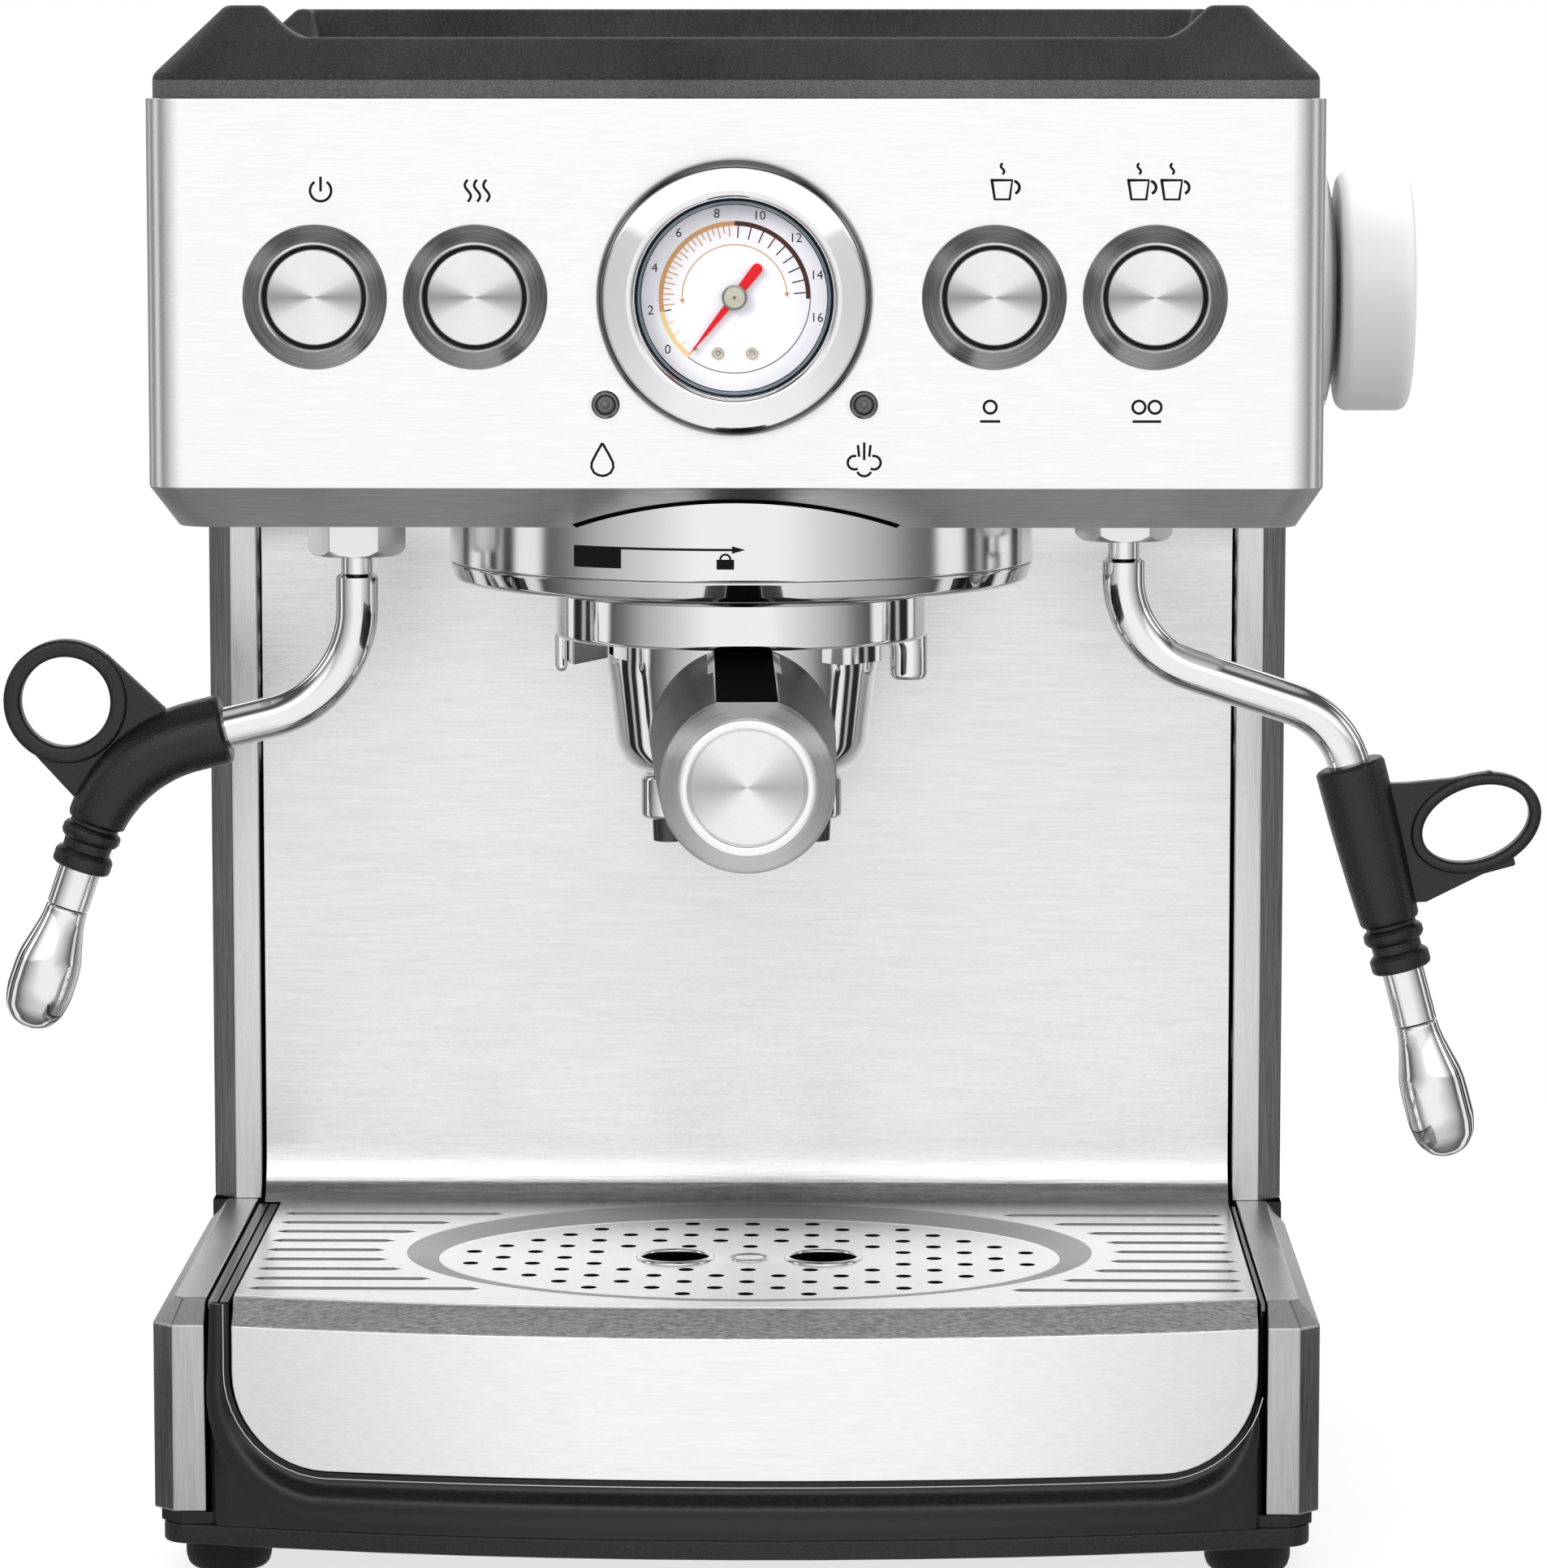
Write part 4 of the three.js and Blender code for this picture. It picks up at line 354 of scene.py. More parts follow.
def pattern(name, outputs, **inputs):
    """An empty node group with named sockets; returns it with its input and output nodes."""
    tree = bpy.data.node_groups.new(name, "ShaderNodeTree")
    for label, value in {"Vector": (0, 0, 0), **inputs}.items():
        kind = "NodeSocketVector" if isinstance(value, tuple) else "NodeSocketFloat"
        socket = tree.interface.new_socket(name=label, in_out="INPUT", socket_type=kind)
        socket.default_value = value
    for label in outputs:
        kind = "NodeSocketVector" if label == "Normal" else "NodeSocketFloat"
        tree.interface.new_socket(name=label, in_out="OUTPUT", socket_type=kind)
    return tree, add(tree, "NodeGroupInput").outputs, add(tree, "NodeGroupOutput").inputs


# %% Straight brushing
SCRATCH_DEEP, GRAIN_DEEP, DENT_DEEP = 0.0002, 0.0003, 0.001  # metres
brushing, given, gives = pattern(
    "straight_brushing", ("Lines", "Streaks", "Normal"), Stretch=(30, 2400, 2400), Depth=0.2,
)
stretched = add(brushing, "ShaderNodeVectorMath", operation="MULTIPLY")
feed(brushing, stretched.inputs[0], given["Vector"])
feed(brushing, stretched.inputs[1], given["Stretch"])
fine_lines = noise(brushing, stretched.outputs[0], 1.0, 4.0, 0.7)
long_lines = noise(brushing, stretched.outputs[0], 0.42, 2.0, 0.5)
feed(brushing, gives["Lines"], fine_lines)
feed(brushing, gives["Streaks"], long_lines)
both_lines = work(brushing, "ADD", fine_lines, long_lines)
feed(brushing, gives["Normal"], bump(brushing, both_lines, given["Depth"], SCRATCH_DEEP))
print("group", brushing.name)

# %% Circular brushing
circling, given, gives = pattern(
    "circular_brushing", ("Rings", "Painted Fan Shade", "Normal"), Fineness=2600.0, Depth=0.2,
)
apart = add(circling, "ShaderNodeSeparateXYZ")
feed(circling, apart.inputs[0], given["Vector"])
radius = far_off(circling, apart.outputs[0], apart.outputs[1])
turn = work(circling, "ARCTAN2", apart.outputs[1], apart.outputs[0])
unrolled = add(circling, "ShaderNodeCombineXYZ")
feed(circling, unrolled.inputs[0], work(circling, "MULTIPLY", radius, given["Fineness"]))
feed(circling, unrolled.inputs[1], work(circling, "SINE", turn))
feed(circling, unrolled.inputs[2], work(circling, "COSINE", turn))
rings_of_lines = noise(circling, unrolled.outputs[0], 1.0, 3.0, 0.65)
feed(circling, gives["Rings"], rings_of_lines)
# painted shade: by turning angle alone, low beside the horizontal, for the dark wedges of a spun
# highlight
feed(circling, gives["Painted Fan Shade"], work(circling, "ABSOLUTE", work(circling, "SINE", turn)))
feed(circling, gives["Normal"], bump(circling, rings_of_lines, given["Depth"], SCRATCH_DEEP))
print("group", circling.name)

# %% Clouds of wear, and the grain of a moulding
clouding, given, gives = pattern("handling_clouds", ("Clouds",), Size=22.0)
feed(clouding, gives["Clouds"], noise(clouding, given["Vector"], given["Size"], 4.0, 0.6))

graining, given, gives = pattern("moulded_grain", ("Grain", "Normal"), Size=1500.0, Depth=0.3)
grains = noise(graining, given["Vector"], given["Size"], 3.0, 0.7)
cells = add(graining, "ShaderNodeTexVoronoi")
feed(graining, cells.inputs["Vector"], given["Vector"])
feed(graining, cells.inputs["Scale"], given["Size"])
feed(graining, gives["Grain"], grains)
height = work(graining, "ADD", grains, cells.outputs["Distance"])
feed(graining, gives["Normal"], bump(graining, height, given["Depth"], GRAIN_DEEP))
print("groups", clouding.name, graining.name)

# %% [markdown]
# ## The finishes
#
# Each finish starts from the same few steps: take the place on the object, run it through
# one or two of the shared patterns, and let them vary the colour and the roughness a little
# and tilt the normal. The shader itself stays in the finish. Numbers that are the same all
# over, such as how metallic the surface is, are set on the shader's own sockets.

# %% Starting a finish
def blank(owner):
    """The owner's node tree, emptied."""
    owner.use_nodes = True
    owner.node_tree.nodes.clear()
    return owner.node_tree


def begin(name, metallic=0.0, **sockets):
    material = bpy.data.materials.new(name)
    tree = blank(material)
    shader = add(tree, "ShaderNodeBsdfPrincipled")
    tree.links.new(shader.outputs[0], add(tree, "ShaderNodeOutputMaterial").inputs["Surface"])
    shader.inputs["Metallic"].default_value = metallic
    for label, value in sockets.items():
        shader.inputs[label.replace("_", " ")].default_value = value
    place = add(tree, "ShaderNodeTexCoord").outputs["Object"]
    return material, tree, shader.inputs, place


def use(tree, group_tree, vector, **values):
    made = add(tree, "ShaderNodeGroup", node_tree=group_tree)
    feed(tree, made.inputs["Vector"], vector)
    for label, value in values.items():
        feed(tree, made.inputs[label], value)
    return made.outputs


def between(tree, amount, low, high, first, last):
    """Map a pattern from low..high to a colour from first to last."""
    made = add(tree, "ShaderNodeValToRGB")
    feed(tree, made.inputs[0], amount)
    made.color_ramp.elements[0].position = low
    made.color_ramp.elements[1].position = high
    made.color_ramp.elements[0].color = (*first, 1)
    made.color_ramp.elements[1].color = (*last, 1)
    return made.outputs[0]


def ranged(tree, amount, low, high, first, last):
    """Map a pattern from low..high to a number from first to last."""
    made = add(tree, "ShaderNodeMapRange")
    for socket, value in zip(made.inputs, (amount, low, high, first, last)):
        feed(tree, socket, value)
    return made.outputs[0]


def mixed_colour(tree, amount, first, second, **settings):
    made = add(tree, "ShaderNodeMix", data_type="RGBA", **settings)
    for socket, value in ((0, amount), (6, first), (7, second)):
        feed(tree, made.inputs[socket], value)
    return made.outputs[2]


def mixed_shader(tree, amount, first, second):
    made = add(tree, "ShaderNodeMixShader")
    for socket, value in zip(made.inputs, (amount, first, second)):
        feed(tree, socket, value)
    return made.outputs[0]


def grey(value, tint=(1.0, 1.0, 1.0)):
    return tuple(value * t for t in tint)


# %% Brushed steel, straight
def brushed_steel(name, stretch, shade, spread, rough=0.3, depth=0.14):
    material, tree, shader, place = begin(
        name, metallic=1.0, Anisotropic=0.55, Anisotropic_Rotation=0.25,
    )
    lines = use(tree, brushing, place, Stretch=stretch, Depth=depth)
    clouds = use(tree, clouding, place, Size=14.0)
    half_lines = work(tree, "MULTIPLY", lines["Lines"], 0.5)
    mixed = work(tree, "MULTIPLY_ADD", lines["Streaks"], 0.5, half_lines)
    colour = between(tree, mixed, 0.32, 0.68, grey(shade - spread), grey(shade + spread * 0.5))
    feed(tree, shader["Base Color"], colour)
    worn = work(tree, "MULTIPLY_ADD", clouds["Clouds"], 0.5, lines["Lines"])
    feed(tree, shader["Roughness"], ranged(tree, worn, 0.4, 1.1, rough - 0.06, rough + 0.1))
    feed(tree, shader["Normal"], lines["Normal"])
    return material


ALONG_X, ALONG_Y = (170.0, 4200.0, 4200.0), (4200.0, 120.0, 4200.0)
ALONG_Z, COARSE_X = (4200.0, 4200.0, 120.0), (1000.0, 5200.0, 5200.0)
panel_steel = brushed_steel("panel_steel", ALONG_X, 0.94, 0.06, depth=0.12)
splash_steel = brushed_steel("splash_steel", ALONG_X, 0.85, 0.09, rough=0.27)
# painted shade: a darker copy of the splash steel for the cove, standing for the dark band it
# mirrors
shaded_cove_steel = brushed_steel("shaded_cove_steel", ALONG_X, 0.42, 0.14, rough=0.24, depth=0.16)
# painted shade: a darker copy of the panel steel for the head's sloping underside
shaded_under_steel = brushed_steel("shaded_under_steel", ALONG_X, 0.6, 0.14, depth=0.16)
plate_steel = brushed_steel("plate_steel", ALONG_X, 0.95, 0.04, rough=0.2, depth=0.08)
# painted shade: a darker copy of the plate steel for the dish's slope and the grooves' walls,
# standing for the dark they reflect
shaded_dish_steel = brushed_steel("shaded_dish_steel", ALONG_X, 0.34, 0.07, depth=0.12)
# coarse grain of the fascia's leaning band; its lower shade is painted shade for the dark it
# mirrors
coarse_shaded_band_steel = brushed_steel("coarse_shaded_band_steel", COARSE_X, 0.74, 0.46, rough=0.34, depth=0.6)
rail_steel = brushed_steel("rail_steel", ALONG_Y, 0.2, 0.08, depth=0.1)
upright_steel = brushed_steel("upright_steel", ALONG_Z, 0.74, 0.09, rough=0.28)
trim_steel = brushed_steel("trim_steel", ALONG_Z, 0.56, 0.12, rough=0.28, depth=0.16)
# painted shade: a dark copy of the upright steel for the side bevels
shaded_bevel_steel = brushed_steel("shaded_bevel_steel", ALONG_Z, 0.22, 0.12, rough=0.28)
print("straight brushing: 11 finishes")


# %% Brushed steel, in circles
def spun_steel(name, centre, axis, shade, spread=0.06, rough=0.26, depth=0.18, twist=0.9,
               metal=1.0, fan_shade_depth=0.0, wide=0.4):
    """Brushed round an axis through the centre, as a turned cap or ring is."""
    material, tree, shader, place = begin(
        name, metallic=metal, Anisotropic=twist, Anisotropic_Rotation=0.25,
    )
    mapping = add(tree, "ShaderNodeMapping", vector_type="TEXTURE")
    feed(tree, mapping.inputs["Vector"], place)
    mapping.inputs["Location"].default_value = to_frame @ Vector(centre)
    turns = {"Y": (math.pi / 2, 0, 0), "X": (0, math.pi / 2, 0), "Z": (0, 0, 0)}
    mapping.inputs["Rotation"].default_value = turns[axis]
    rings = use(tree, circling, mapping.outputs[0], Depth=depth)
    clouds = use(tree, clouding, place, Size=40.0)
    light, dark = grey(shade + spread * 0.4), grey(shade - spread)
    colour = between(tree, rings["Rings"], 0.3, 0.7, dark, light)
    # painted shade: the colour darkens either side of the horizontal, as the wedges of a spun
    # highlight
    if fan_shade_depth:
        painted_fan = ranged(tree, rings["Painted Fan Shade"], 0.04, wide, 1.0 - fan_shade_depth, 1.0)
        colour = mixed_colour(tree, 1.0, colour, painted_fan, blend_type="MULTIPLY")
    feed(tree, shader["Base Color"], colour)
    worn = work(tree, "MULTIPLY_ADD", clouds["Clouds"], 0.4, rings["Rings"])
    feed(tree, shader["Roughness"], ranged(tree, worn, 0.4, 1.0, rough - 0.05, rough + 0.08))
    feed(tree, shader["Normal"], rings["Normal"])
    tangent = add(tree, "ShaderNodeTangent", direction_type="RADIAL", axis=axis)
    feed(tree, shader["Tangent"], tangent.outputs[0])
    return material


# %% Polished chrome
def polished(name, shade, rough=0.05, tint=(1, 1, 1), wave=0.02, size=30.0):
    material, tree, shader, place = begin(name, metallic=1.0)
    clouds = use(tree, clouding, place, Size=size)["Clouds"]
    dark, light = grey(shade - 0.03, tint), grey(shade + 0.02, tint)
    feed(tree, shader["Base Color"], between(tree, clouds, 0.3, 0.7, dark, light))
    feed(tree, shader["Roughness"], ranged(tree, clouds, 0.35, 0.75, rough * 0.7, rough * 1.8))
    feed(tree, shader["Normal"], bump(tree, clouds, wave, DENT_DEEP))
    return material


chrome = polished("mirror_chrome", 0.86)
# painted shade: a darker copy of the chrome for the collar's rolled lip
shaded_lip_chrome = polished("shaded_lip_chrome", 0.7)
# painted highlight: chrome for the thin strip along the housing's seam
painted_highlight_chrome = polished("painted_highlight_chrome", 0.72, rough=0.3, wave=0.01)
satin_chrome = polished("satin_chrome", 0.8, rough=0.16, wave=0.01)
# dark chrome; also put on the bezel's outer rounding as painted shade and along the handle's flat
# top as a painted highlight
dark_chrome_and_painted_edges = polished("dark_chrome_and_painted_edges", 0.22, rough=0.14)
# bright polished steel: the handle cap's step ring, and a painted highlight on each button ring's
# inner lip
bright_steel_and_painted_highlight = polished("bright_steel_and_painted_highlight", 0.96, rough=0.3, wave=0.01)
tip_grey = polished("tip_grey", 0.1, rough=0.3, wave=0.01)
throat_steel = polished("throat_steel", 0.2, rough=0.22)
# painted reflection: dark and pale blue-tinted metal for the lines that the glass's edge mirrors
painted_glass_reflection_dark = polished("painted_glass_reflection_dark", 0.1, rough=0.1, tint=(0.62, 0.8, 1.0))
painted_glass_reflection_pale = polished("painted_glass_reflection_pale", 0.8, rough=0.12, tint=(0.86, 0.94, 1.0))
hub_brass = polished("hub_brass", 0.6, rough=0.34, tint=(1.0, 0.93, 0.76), size=80.0)
brass = polished("turned_brass", 0.62, rough=0.24, tint=(1.0, 0.72, 0.34), size=60.0)
print("polished metal: 12 finishes")

# %% Moulded plastics and rubber
def moulded(name, shade, rough, tint=(1, 1, 1), size=900.0, depth=0.02, fleck=0.25, shine=0.4):
    material, tree, shader, place = begin(name, Specular_IOR_Level=shine)
    grain = use(tree, graining, place, Size=size, Depth=depth)
    clouds = use(tree, clouding, place, Size=18.0)
    most_grain = work(tree, "MULTIPLY", grain["Grain"], 0.65)
    mixed = work(tree, "MULTIPLY_ADD", clouds["Clouds"], 0.35, most_grain)
    dark, light = grey(shade * (1 - fleck), tint), grey(shade * (1 + fleck), tint)
    feed(tree, shader["Base Color"], between(tree, mixed, 0.35, 0.65, dark, light))
    worn = work(tree, "MULTIPLY_ADD", clouds["Clouds"], 0.6, grain["Grain"])
    feed(tree, shader["Roughness"], ranged(tree, worn, 0.5, 1.1, rough - 0.06, rough + 0.08))
    feed(tree, shader["Normal"], grain["Normal"])
    return material


def black(name, shade, rough, size, depth, fleck, shine):
    return moulded(name, shade, rough, size=size, depth=depth, fleck=fleck, shine=shine)


lid_black = black("lid_black", 0.026, 0.4, 2400, 1.0, 0.9, 0.5)
# painted reflection: a lighter copy of the lid black for the cover's upright rim, standing for the
# bright front it mirrors
painted_sheen_black = black("painted_sheen_black", 0.13, 0.4, 2400, 1.0, 0.5, 0.7)
satin_black = black("satin_black", 0.012, 0.36, 1500, 0.3, 0.6, 0.4)
gloss_black = black("gloss_black", 0.009, 0.22, 900, 0.05, 0.25, 0.42)
facet_black = black("facet_black", 0.004, 0.14, 900, 0.02, 0.25, 0.0)
# painted shade: the darkest, mattest black, put where shade falls in gaps, seams and holes
shadow_black = black("shadow_black", 0.004, 0.6, 900, 0.02, 0.25, 0.0)
handle_black = black("handle_black", 0.012, 0.38, 1600, 0.12, 0.3, 0.34)
grip_black = black("grip_black", 0.005, 0.27, 1800, 0.22, 0.4, 0.5)
rubber_black = black("rubber_black", 0.008, 0.5, 1200, 0.5, 0.35, 0.3)
gasket_red = moulded("gasket_red", 0.12, 0.6, (1.0, 0.3, 0.18), 1400, 0.3, 0.35)
board_green = moulded("board_green", 0.07, 0.5, (0.35, 1.0, 0.5), 700, 0.3, 0.35)
dial_white = moulded("dial_white", 0.86, 0.55, (0.995, 0.98, 1.03), 2500, 0.05, 0.02)
needle_red = moulded("needle_red", 0.64, 0.4, (1.0, 0.006, 0.014), 2000, 0.1, 0.08, 0.1)
print("plastics and paints: 13 finishes")


# %% Inks, glass and the tank's tinted plastic
def ink(name, colour):
    return moulded(name, 1.0, 0.5, colour, 3000.0, 0.05, 0.06, 0.08)


ink_dark = ink("ink_dark", (0.009, 0.009, 0.01))
ink_brown = ink("ink_brown", (0.06, 0.018, 0.01))
ink_tan = ink("ink_tan", (0.62, 0.33, 0.14))
ink_yellow = ink("ink_yellow", (0.84, 0.62, 0.28))


def clear(name, tint, rough, transmission, body_shade, bend=1.46):
    material, tree, shader, place = begin(name, Transmission_Weight=transmission, IOR=bend)
    clouds = use(tree, clouding, place, Size=30.0)["Clouds"]
    dark, light = grey(body_shade * 0.97, tint), grey(body_shade, tint)
    feed(tree, shader["Base Color"], between(tree, clouds, 0.3, 0.7, dark, light))
    feed(tree, shader["Roughness"], ranged(tree, clouds, 0.35, 0.75, rough, rough * 2 + 0.01))
    return material


gauge_glass = clear("gauge_glass", (0.985, 0.99, 1.0), 0.0, 1.0, 1.0, bend=1.2)
tank_tint = clear("tank_tint", (0.86, 0.95, 1.0), 0.08, 0.8, 0.5)
lamp_grey = clear("lamp_grey", (1.0, 1.0, 1.0), 0.06, 0.15, 0.2)
print("inks and clear finishes made")

# %% [markdown]
# The dial lies close under its glass, and a renderer counts that glass as a solid block that
# casts a shadow. So the glass lets shadow rays pass straight through.

# %% Light through the gauge's glass
glass_tree = gauge_glass.node_tree
surface = glass_tree.nodes["Material Output"].inputs["Surface"]
shadow_ray = add(glass_tree, "ShaderNodeLightPath").outputs["Is Shadow Ray"]
nothing = add(glass_tree, "ShaderNodeBsdfTransparent").outputs[0]
glass = surface.links[0].from_socket
feed(glass_tree, surface, mixed_shader(glass_tree, shadow_ray, glass, nothing))
print("glass passes shadow rays")

# %% [markdown]
# ## Parts that stay hidden, and the small ones that are already right
#
# The boiler, valve, pump and circuit board sit inside and are hardly ever seen, but someone
# may take the cover off, so they get real finishes too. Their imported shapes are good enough.

# %% Inside the machine
for node, finish in {
    "brew_boiler": brass, "steam_valve": brass, "control_board": board_green,
    "water_pump": satin_black, "gauge_case": satin_black, "group_gasket": gasket_red,
    "shower_screen": chrome, "filter_basket": chrome,
    "ball_seat_left": rubber_black, "ball_seat_right": rubber_black,
}.items():
    keep(node, finish)

# %% [markdown]
# ## Housing, column and head
#
# The steel panels are bent sheet and the black ones are moulded. Both have soft edges: about
# a third of a millimetre on folded sheet and a full millimetre on the moulded cover. The
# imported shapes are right, so each is copied, its flat faces are merged, and its edges are
# rounded with a bevel.

# %% The edge of the housing's opening
MOUTH_LOW, MOUTH_HIGH, MOUTH_HALF, MOUTH_DEEP = 17, 69, 130, 14.0


def leading_edges(shape):
    """Edges near the front where a forward face meets a wall of the opening."""
    found = []
    for edge in shape.edges:
        mid = (edge.verts[0].co + edge.verts[1].co) / 2
        inside = MOUTH_LOW < mid.z < MOUTH_HIGH and abs(mid.x) < MOUTH_HALF
        if not edge.is_manifold or not inside or mid.y > MOUTH_DEEP:
            continue
        forward, wall = sorted(face.normal.y for face in edge.link_faces)
        if forward < -0.8 and wall > -0.4:
            found.append(edge)
    return found


housing = refined("base_frame", 0)
bmesh.ops.recalc_face_normals(housing, faces=housing.faces)
top_of_frame = span("base_frame")[1].z
mouth = sorted(
    {tuple(v.co) for e in leading_edges(housing) for v in e.verts if abs(v.co.x) < MOUTH_HALF - 3},
    key=lambda at: math.atan2(at[0], top_of_frame - at[2]),
)
print(len(mouth), "points round the opening")
piece = settle(soften(housing, 0.8), "base_frame_rounded", "base_frame", gloss_black)
# the frame's upward faces at its top get painted shade
repaint(piece, shadow_black, lambda place, way: way.z > 0.9 and place.z > top_of_frame - 0.5)


# %% [markdown]
# The frame swells forward in a soft roll under the drawer, and a thin chrome strip along the
# seam is a painted highlight on the frame's edge. Both follow the opening, so both are rows of
# rings set along the same line. The roll is broad under the drawer and dies away up its two sides.

# %% Roll, and the painted seam highlight
ROLL_FROM, ROLL_WIDE, ROLL_PROUD = 1.6, 12.0, 2.6


def swell(at):
    """How much of the roll's full size it has at a point of the opening's edge."""
    share = min(1.0, 0.34 + 0.66 * max(0.0, (62 - at.z) / 32) ** 2)
    if at.x > 100:
        share *= max(0.03, min(1.0, (47.5 - at.z) / 14))
    return share


def along_mouth(profile):
    """Carry a profile of (outward, forward) points round the opening."""
    line = [Vector(at) for at in mouth]
    rings = []
    for before, at, after in zip(line[:1] + line, line, line[1:] + line[-1:]):
        way = (after - before).normalized()
        out = Vector((way.z, 0, -way.x)).normalized()
        ring = []
        for outward, forward in profile:
            share = swell(at) if outward >= ROLL_FROM else 1.0
            ring.append(at + (out * outward - Vector((0, forward, 0))) * share)
        rings.append(ring)
    return bridged(rings)


crest = [
    (ROLL_FROM + ROLL_WIDE * t, 0.02 + ROLL_PROUD * math.sin(math.pi * t ** 0.95) ** 2)
    for t in (i / 16 for i in range(17))
]
roll = along_mouth(crest + [(ROLL_FROM + ROLL_WIDE, -1.5), (ROLL_FROM, -1.5)])
settle(roll, "base_roll", "base_frame", gloss_black, crease=60, replace=False)
# a thin chrome strip along the seam: a painted highlight on the frame's edge
highlight_strip = along_mouth([(1.2, 0.8), (1.4, 0.8), (1.4, -0.5), (1.2, -0.5)])
settle(highlight_strip, "base_painted_highlight", "base_frame", painted_highlight_chrome, crease=60, replace=False)

# %% Rails beside the plate
RAIL_FROM, RAIL_TO = 10.0, 2.0  # in from the plate's front and back
plate_low, plate_high = span("tray_plate")
trim_left, trim_right = span("base_trim_left")[1].x, span("base_trim_right")[0].x
rails = [(trim_left + 0.9, trim_left + 3.2), (trim_left + 3.7, plate_low.x - 1.0),
         (plate_high.x + 0.8, trim_right - 0.6)]
front_y, back_y = plate_low.y + RAIL_FROM, plate_high.y - RAIL_TO
for i, (inner, outer) in enumerate(rails):
    strip = [(inner, front_y), (outer, front_y), (outer, back_y), (inner, back_y)]
    bar = pressed(strip, "Z", top_of_frame - 1.5, top_of_frame + 0.25, 0.2, 2)
    settle(bar, f"base_rail_{i + 1}", "base_frame", rail_steel, replace=False)

# %% The housing's other parts and the column
for node, finish, soft in (
    ("base_pan", satin_black, 0.7),
    ("base_trim_left", trim_steel, 0.45), ("base_trim_right", trim_steel, 0.45),
    ("column_side_left", upright_steel, 0.5), ("column_side_right", upright_steel, 0.5),
    ("back_splash", splash_steel, 0.4), ("rear_cover", satin_black, 0.8),
):
    name = node.replace("base_trim", "trim") + "_rounded"
    piece = settle(refined(node, soft), name, node, finish)
    if node == "back_splash":
        # the cove's upward faces get painted shade
        repaint(piece, shaded_cove_steel, lambda place, way: way.z > 0.4 and place.z < 120)
    # the side bevels of trims and uprights get painted shade
    if finish in (trim_steel, upright_steel):
        repaint(piece, shaded_bevel_steel, lambda place, way:
                0.45 < abs(way.x) < 0.92 and way.y < -0.3 and abs(way.z) < 0.2)

# %% The head, its cover, the tray and the water tank
COVER_FOOT = head_high.z + 3.7
CHAMFER_TOP = head_low.z + 10.7


def on_cover_rim(place, way):
    """The lower band of the cover's outer walls."""
    outside = place.y < 5 or place.y > head_high.y - 5 or abs(place.x) > 135
    return place.z < COVER_FOOT and -0.2 < way.z < 0.9 and outside


for node, finish, soft in (
    ("head_shell", panel_steel, 0.35), ("top_cover", lid_black, 1.1),
    ("cup_plate", plate_steel, 0.25), ("water_tank", tank_tint, 0.5),
    ("tank_lid", satin_black, 0.9), ("drip_tray", satin_black, 0.4),
    ("tray_front", panel_steel, 0.45),
):
    piece = settle(refined(node, soft), node + "_rounded", node, finish)
    if node == "top_cover":
        # the cover's rim band gets the painted reflection
        repaint(piece, painted_sheen_black, on_cover_rim)
    if node == "head_shell":
        # the head's sloping underside gets painted shade
        repaint(piece, shaded_under_steel, lambda place, way:
                -0.97 < way.z < -0.3 and place.z < CHAMFER_TOP)
    # the leaning band gets the coarse steel with painted shade
    if node == "tray_front":
        repaint(piece, coarse_shaded_band_steel, lambda place, way: way.z > 0.35 and way.y < -0.2)

# %% [markdown]
# ## Feet, buttons and lamps
#
# These are all turned shapes, so each is a profile spun round its axis in 96 steps, which
# is fine enough that no flat facets show on a round edge. A button is a steel cap that
# slides in a deeper ring, with a thin black seal between them.

# %% Feet
for node in ("foot_front_left", "foot_front_right", "foot_rear_left", "foot_rear_right"):
    low, high = span(node)
    reach, top = (high.x - low.x) / 2, high.z
    profile = [(0, 0), (reach - 1.8, 0), (reach - 0.7, 1.0), (reach - 0.1, 3.0),
               (reach, top - 1.4), (reach, top), (0, top)]
    foot = turned(eased(profile, 0.6, 3), "Z", (middle(node).x, middle(node).y, 0), 64)
    settle(foot, node + "_turned", node, rubber_black)


# %% Buttons
def off_axis(place, at):
    """How far a place is from the front-to-rear axis through another."""
    return math.hypot(place.x - at.x, place.z - at.z)


def on_front(node):
    """The node's middle, brought forward to the head's front face."""
    at = middle(node)
    return Vector((at.x, 0.0, at.z))


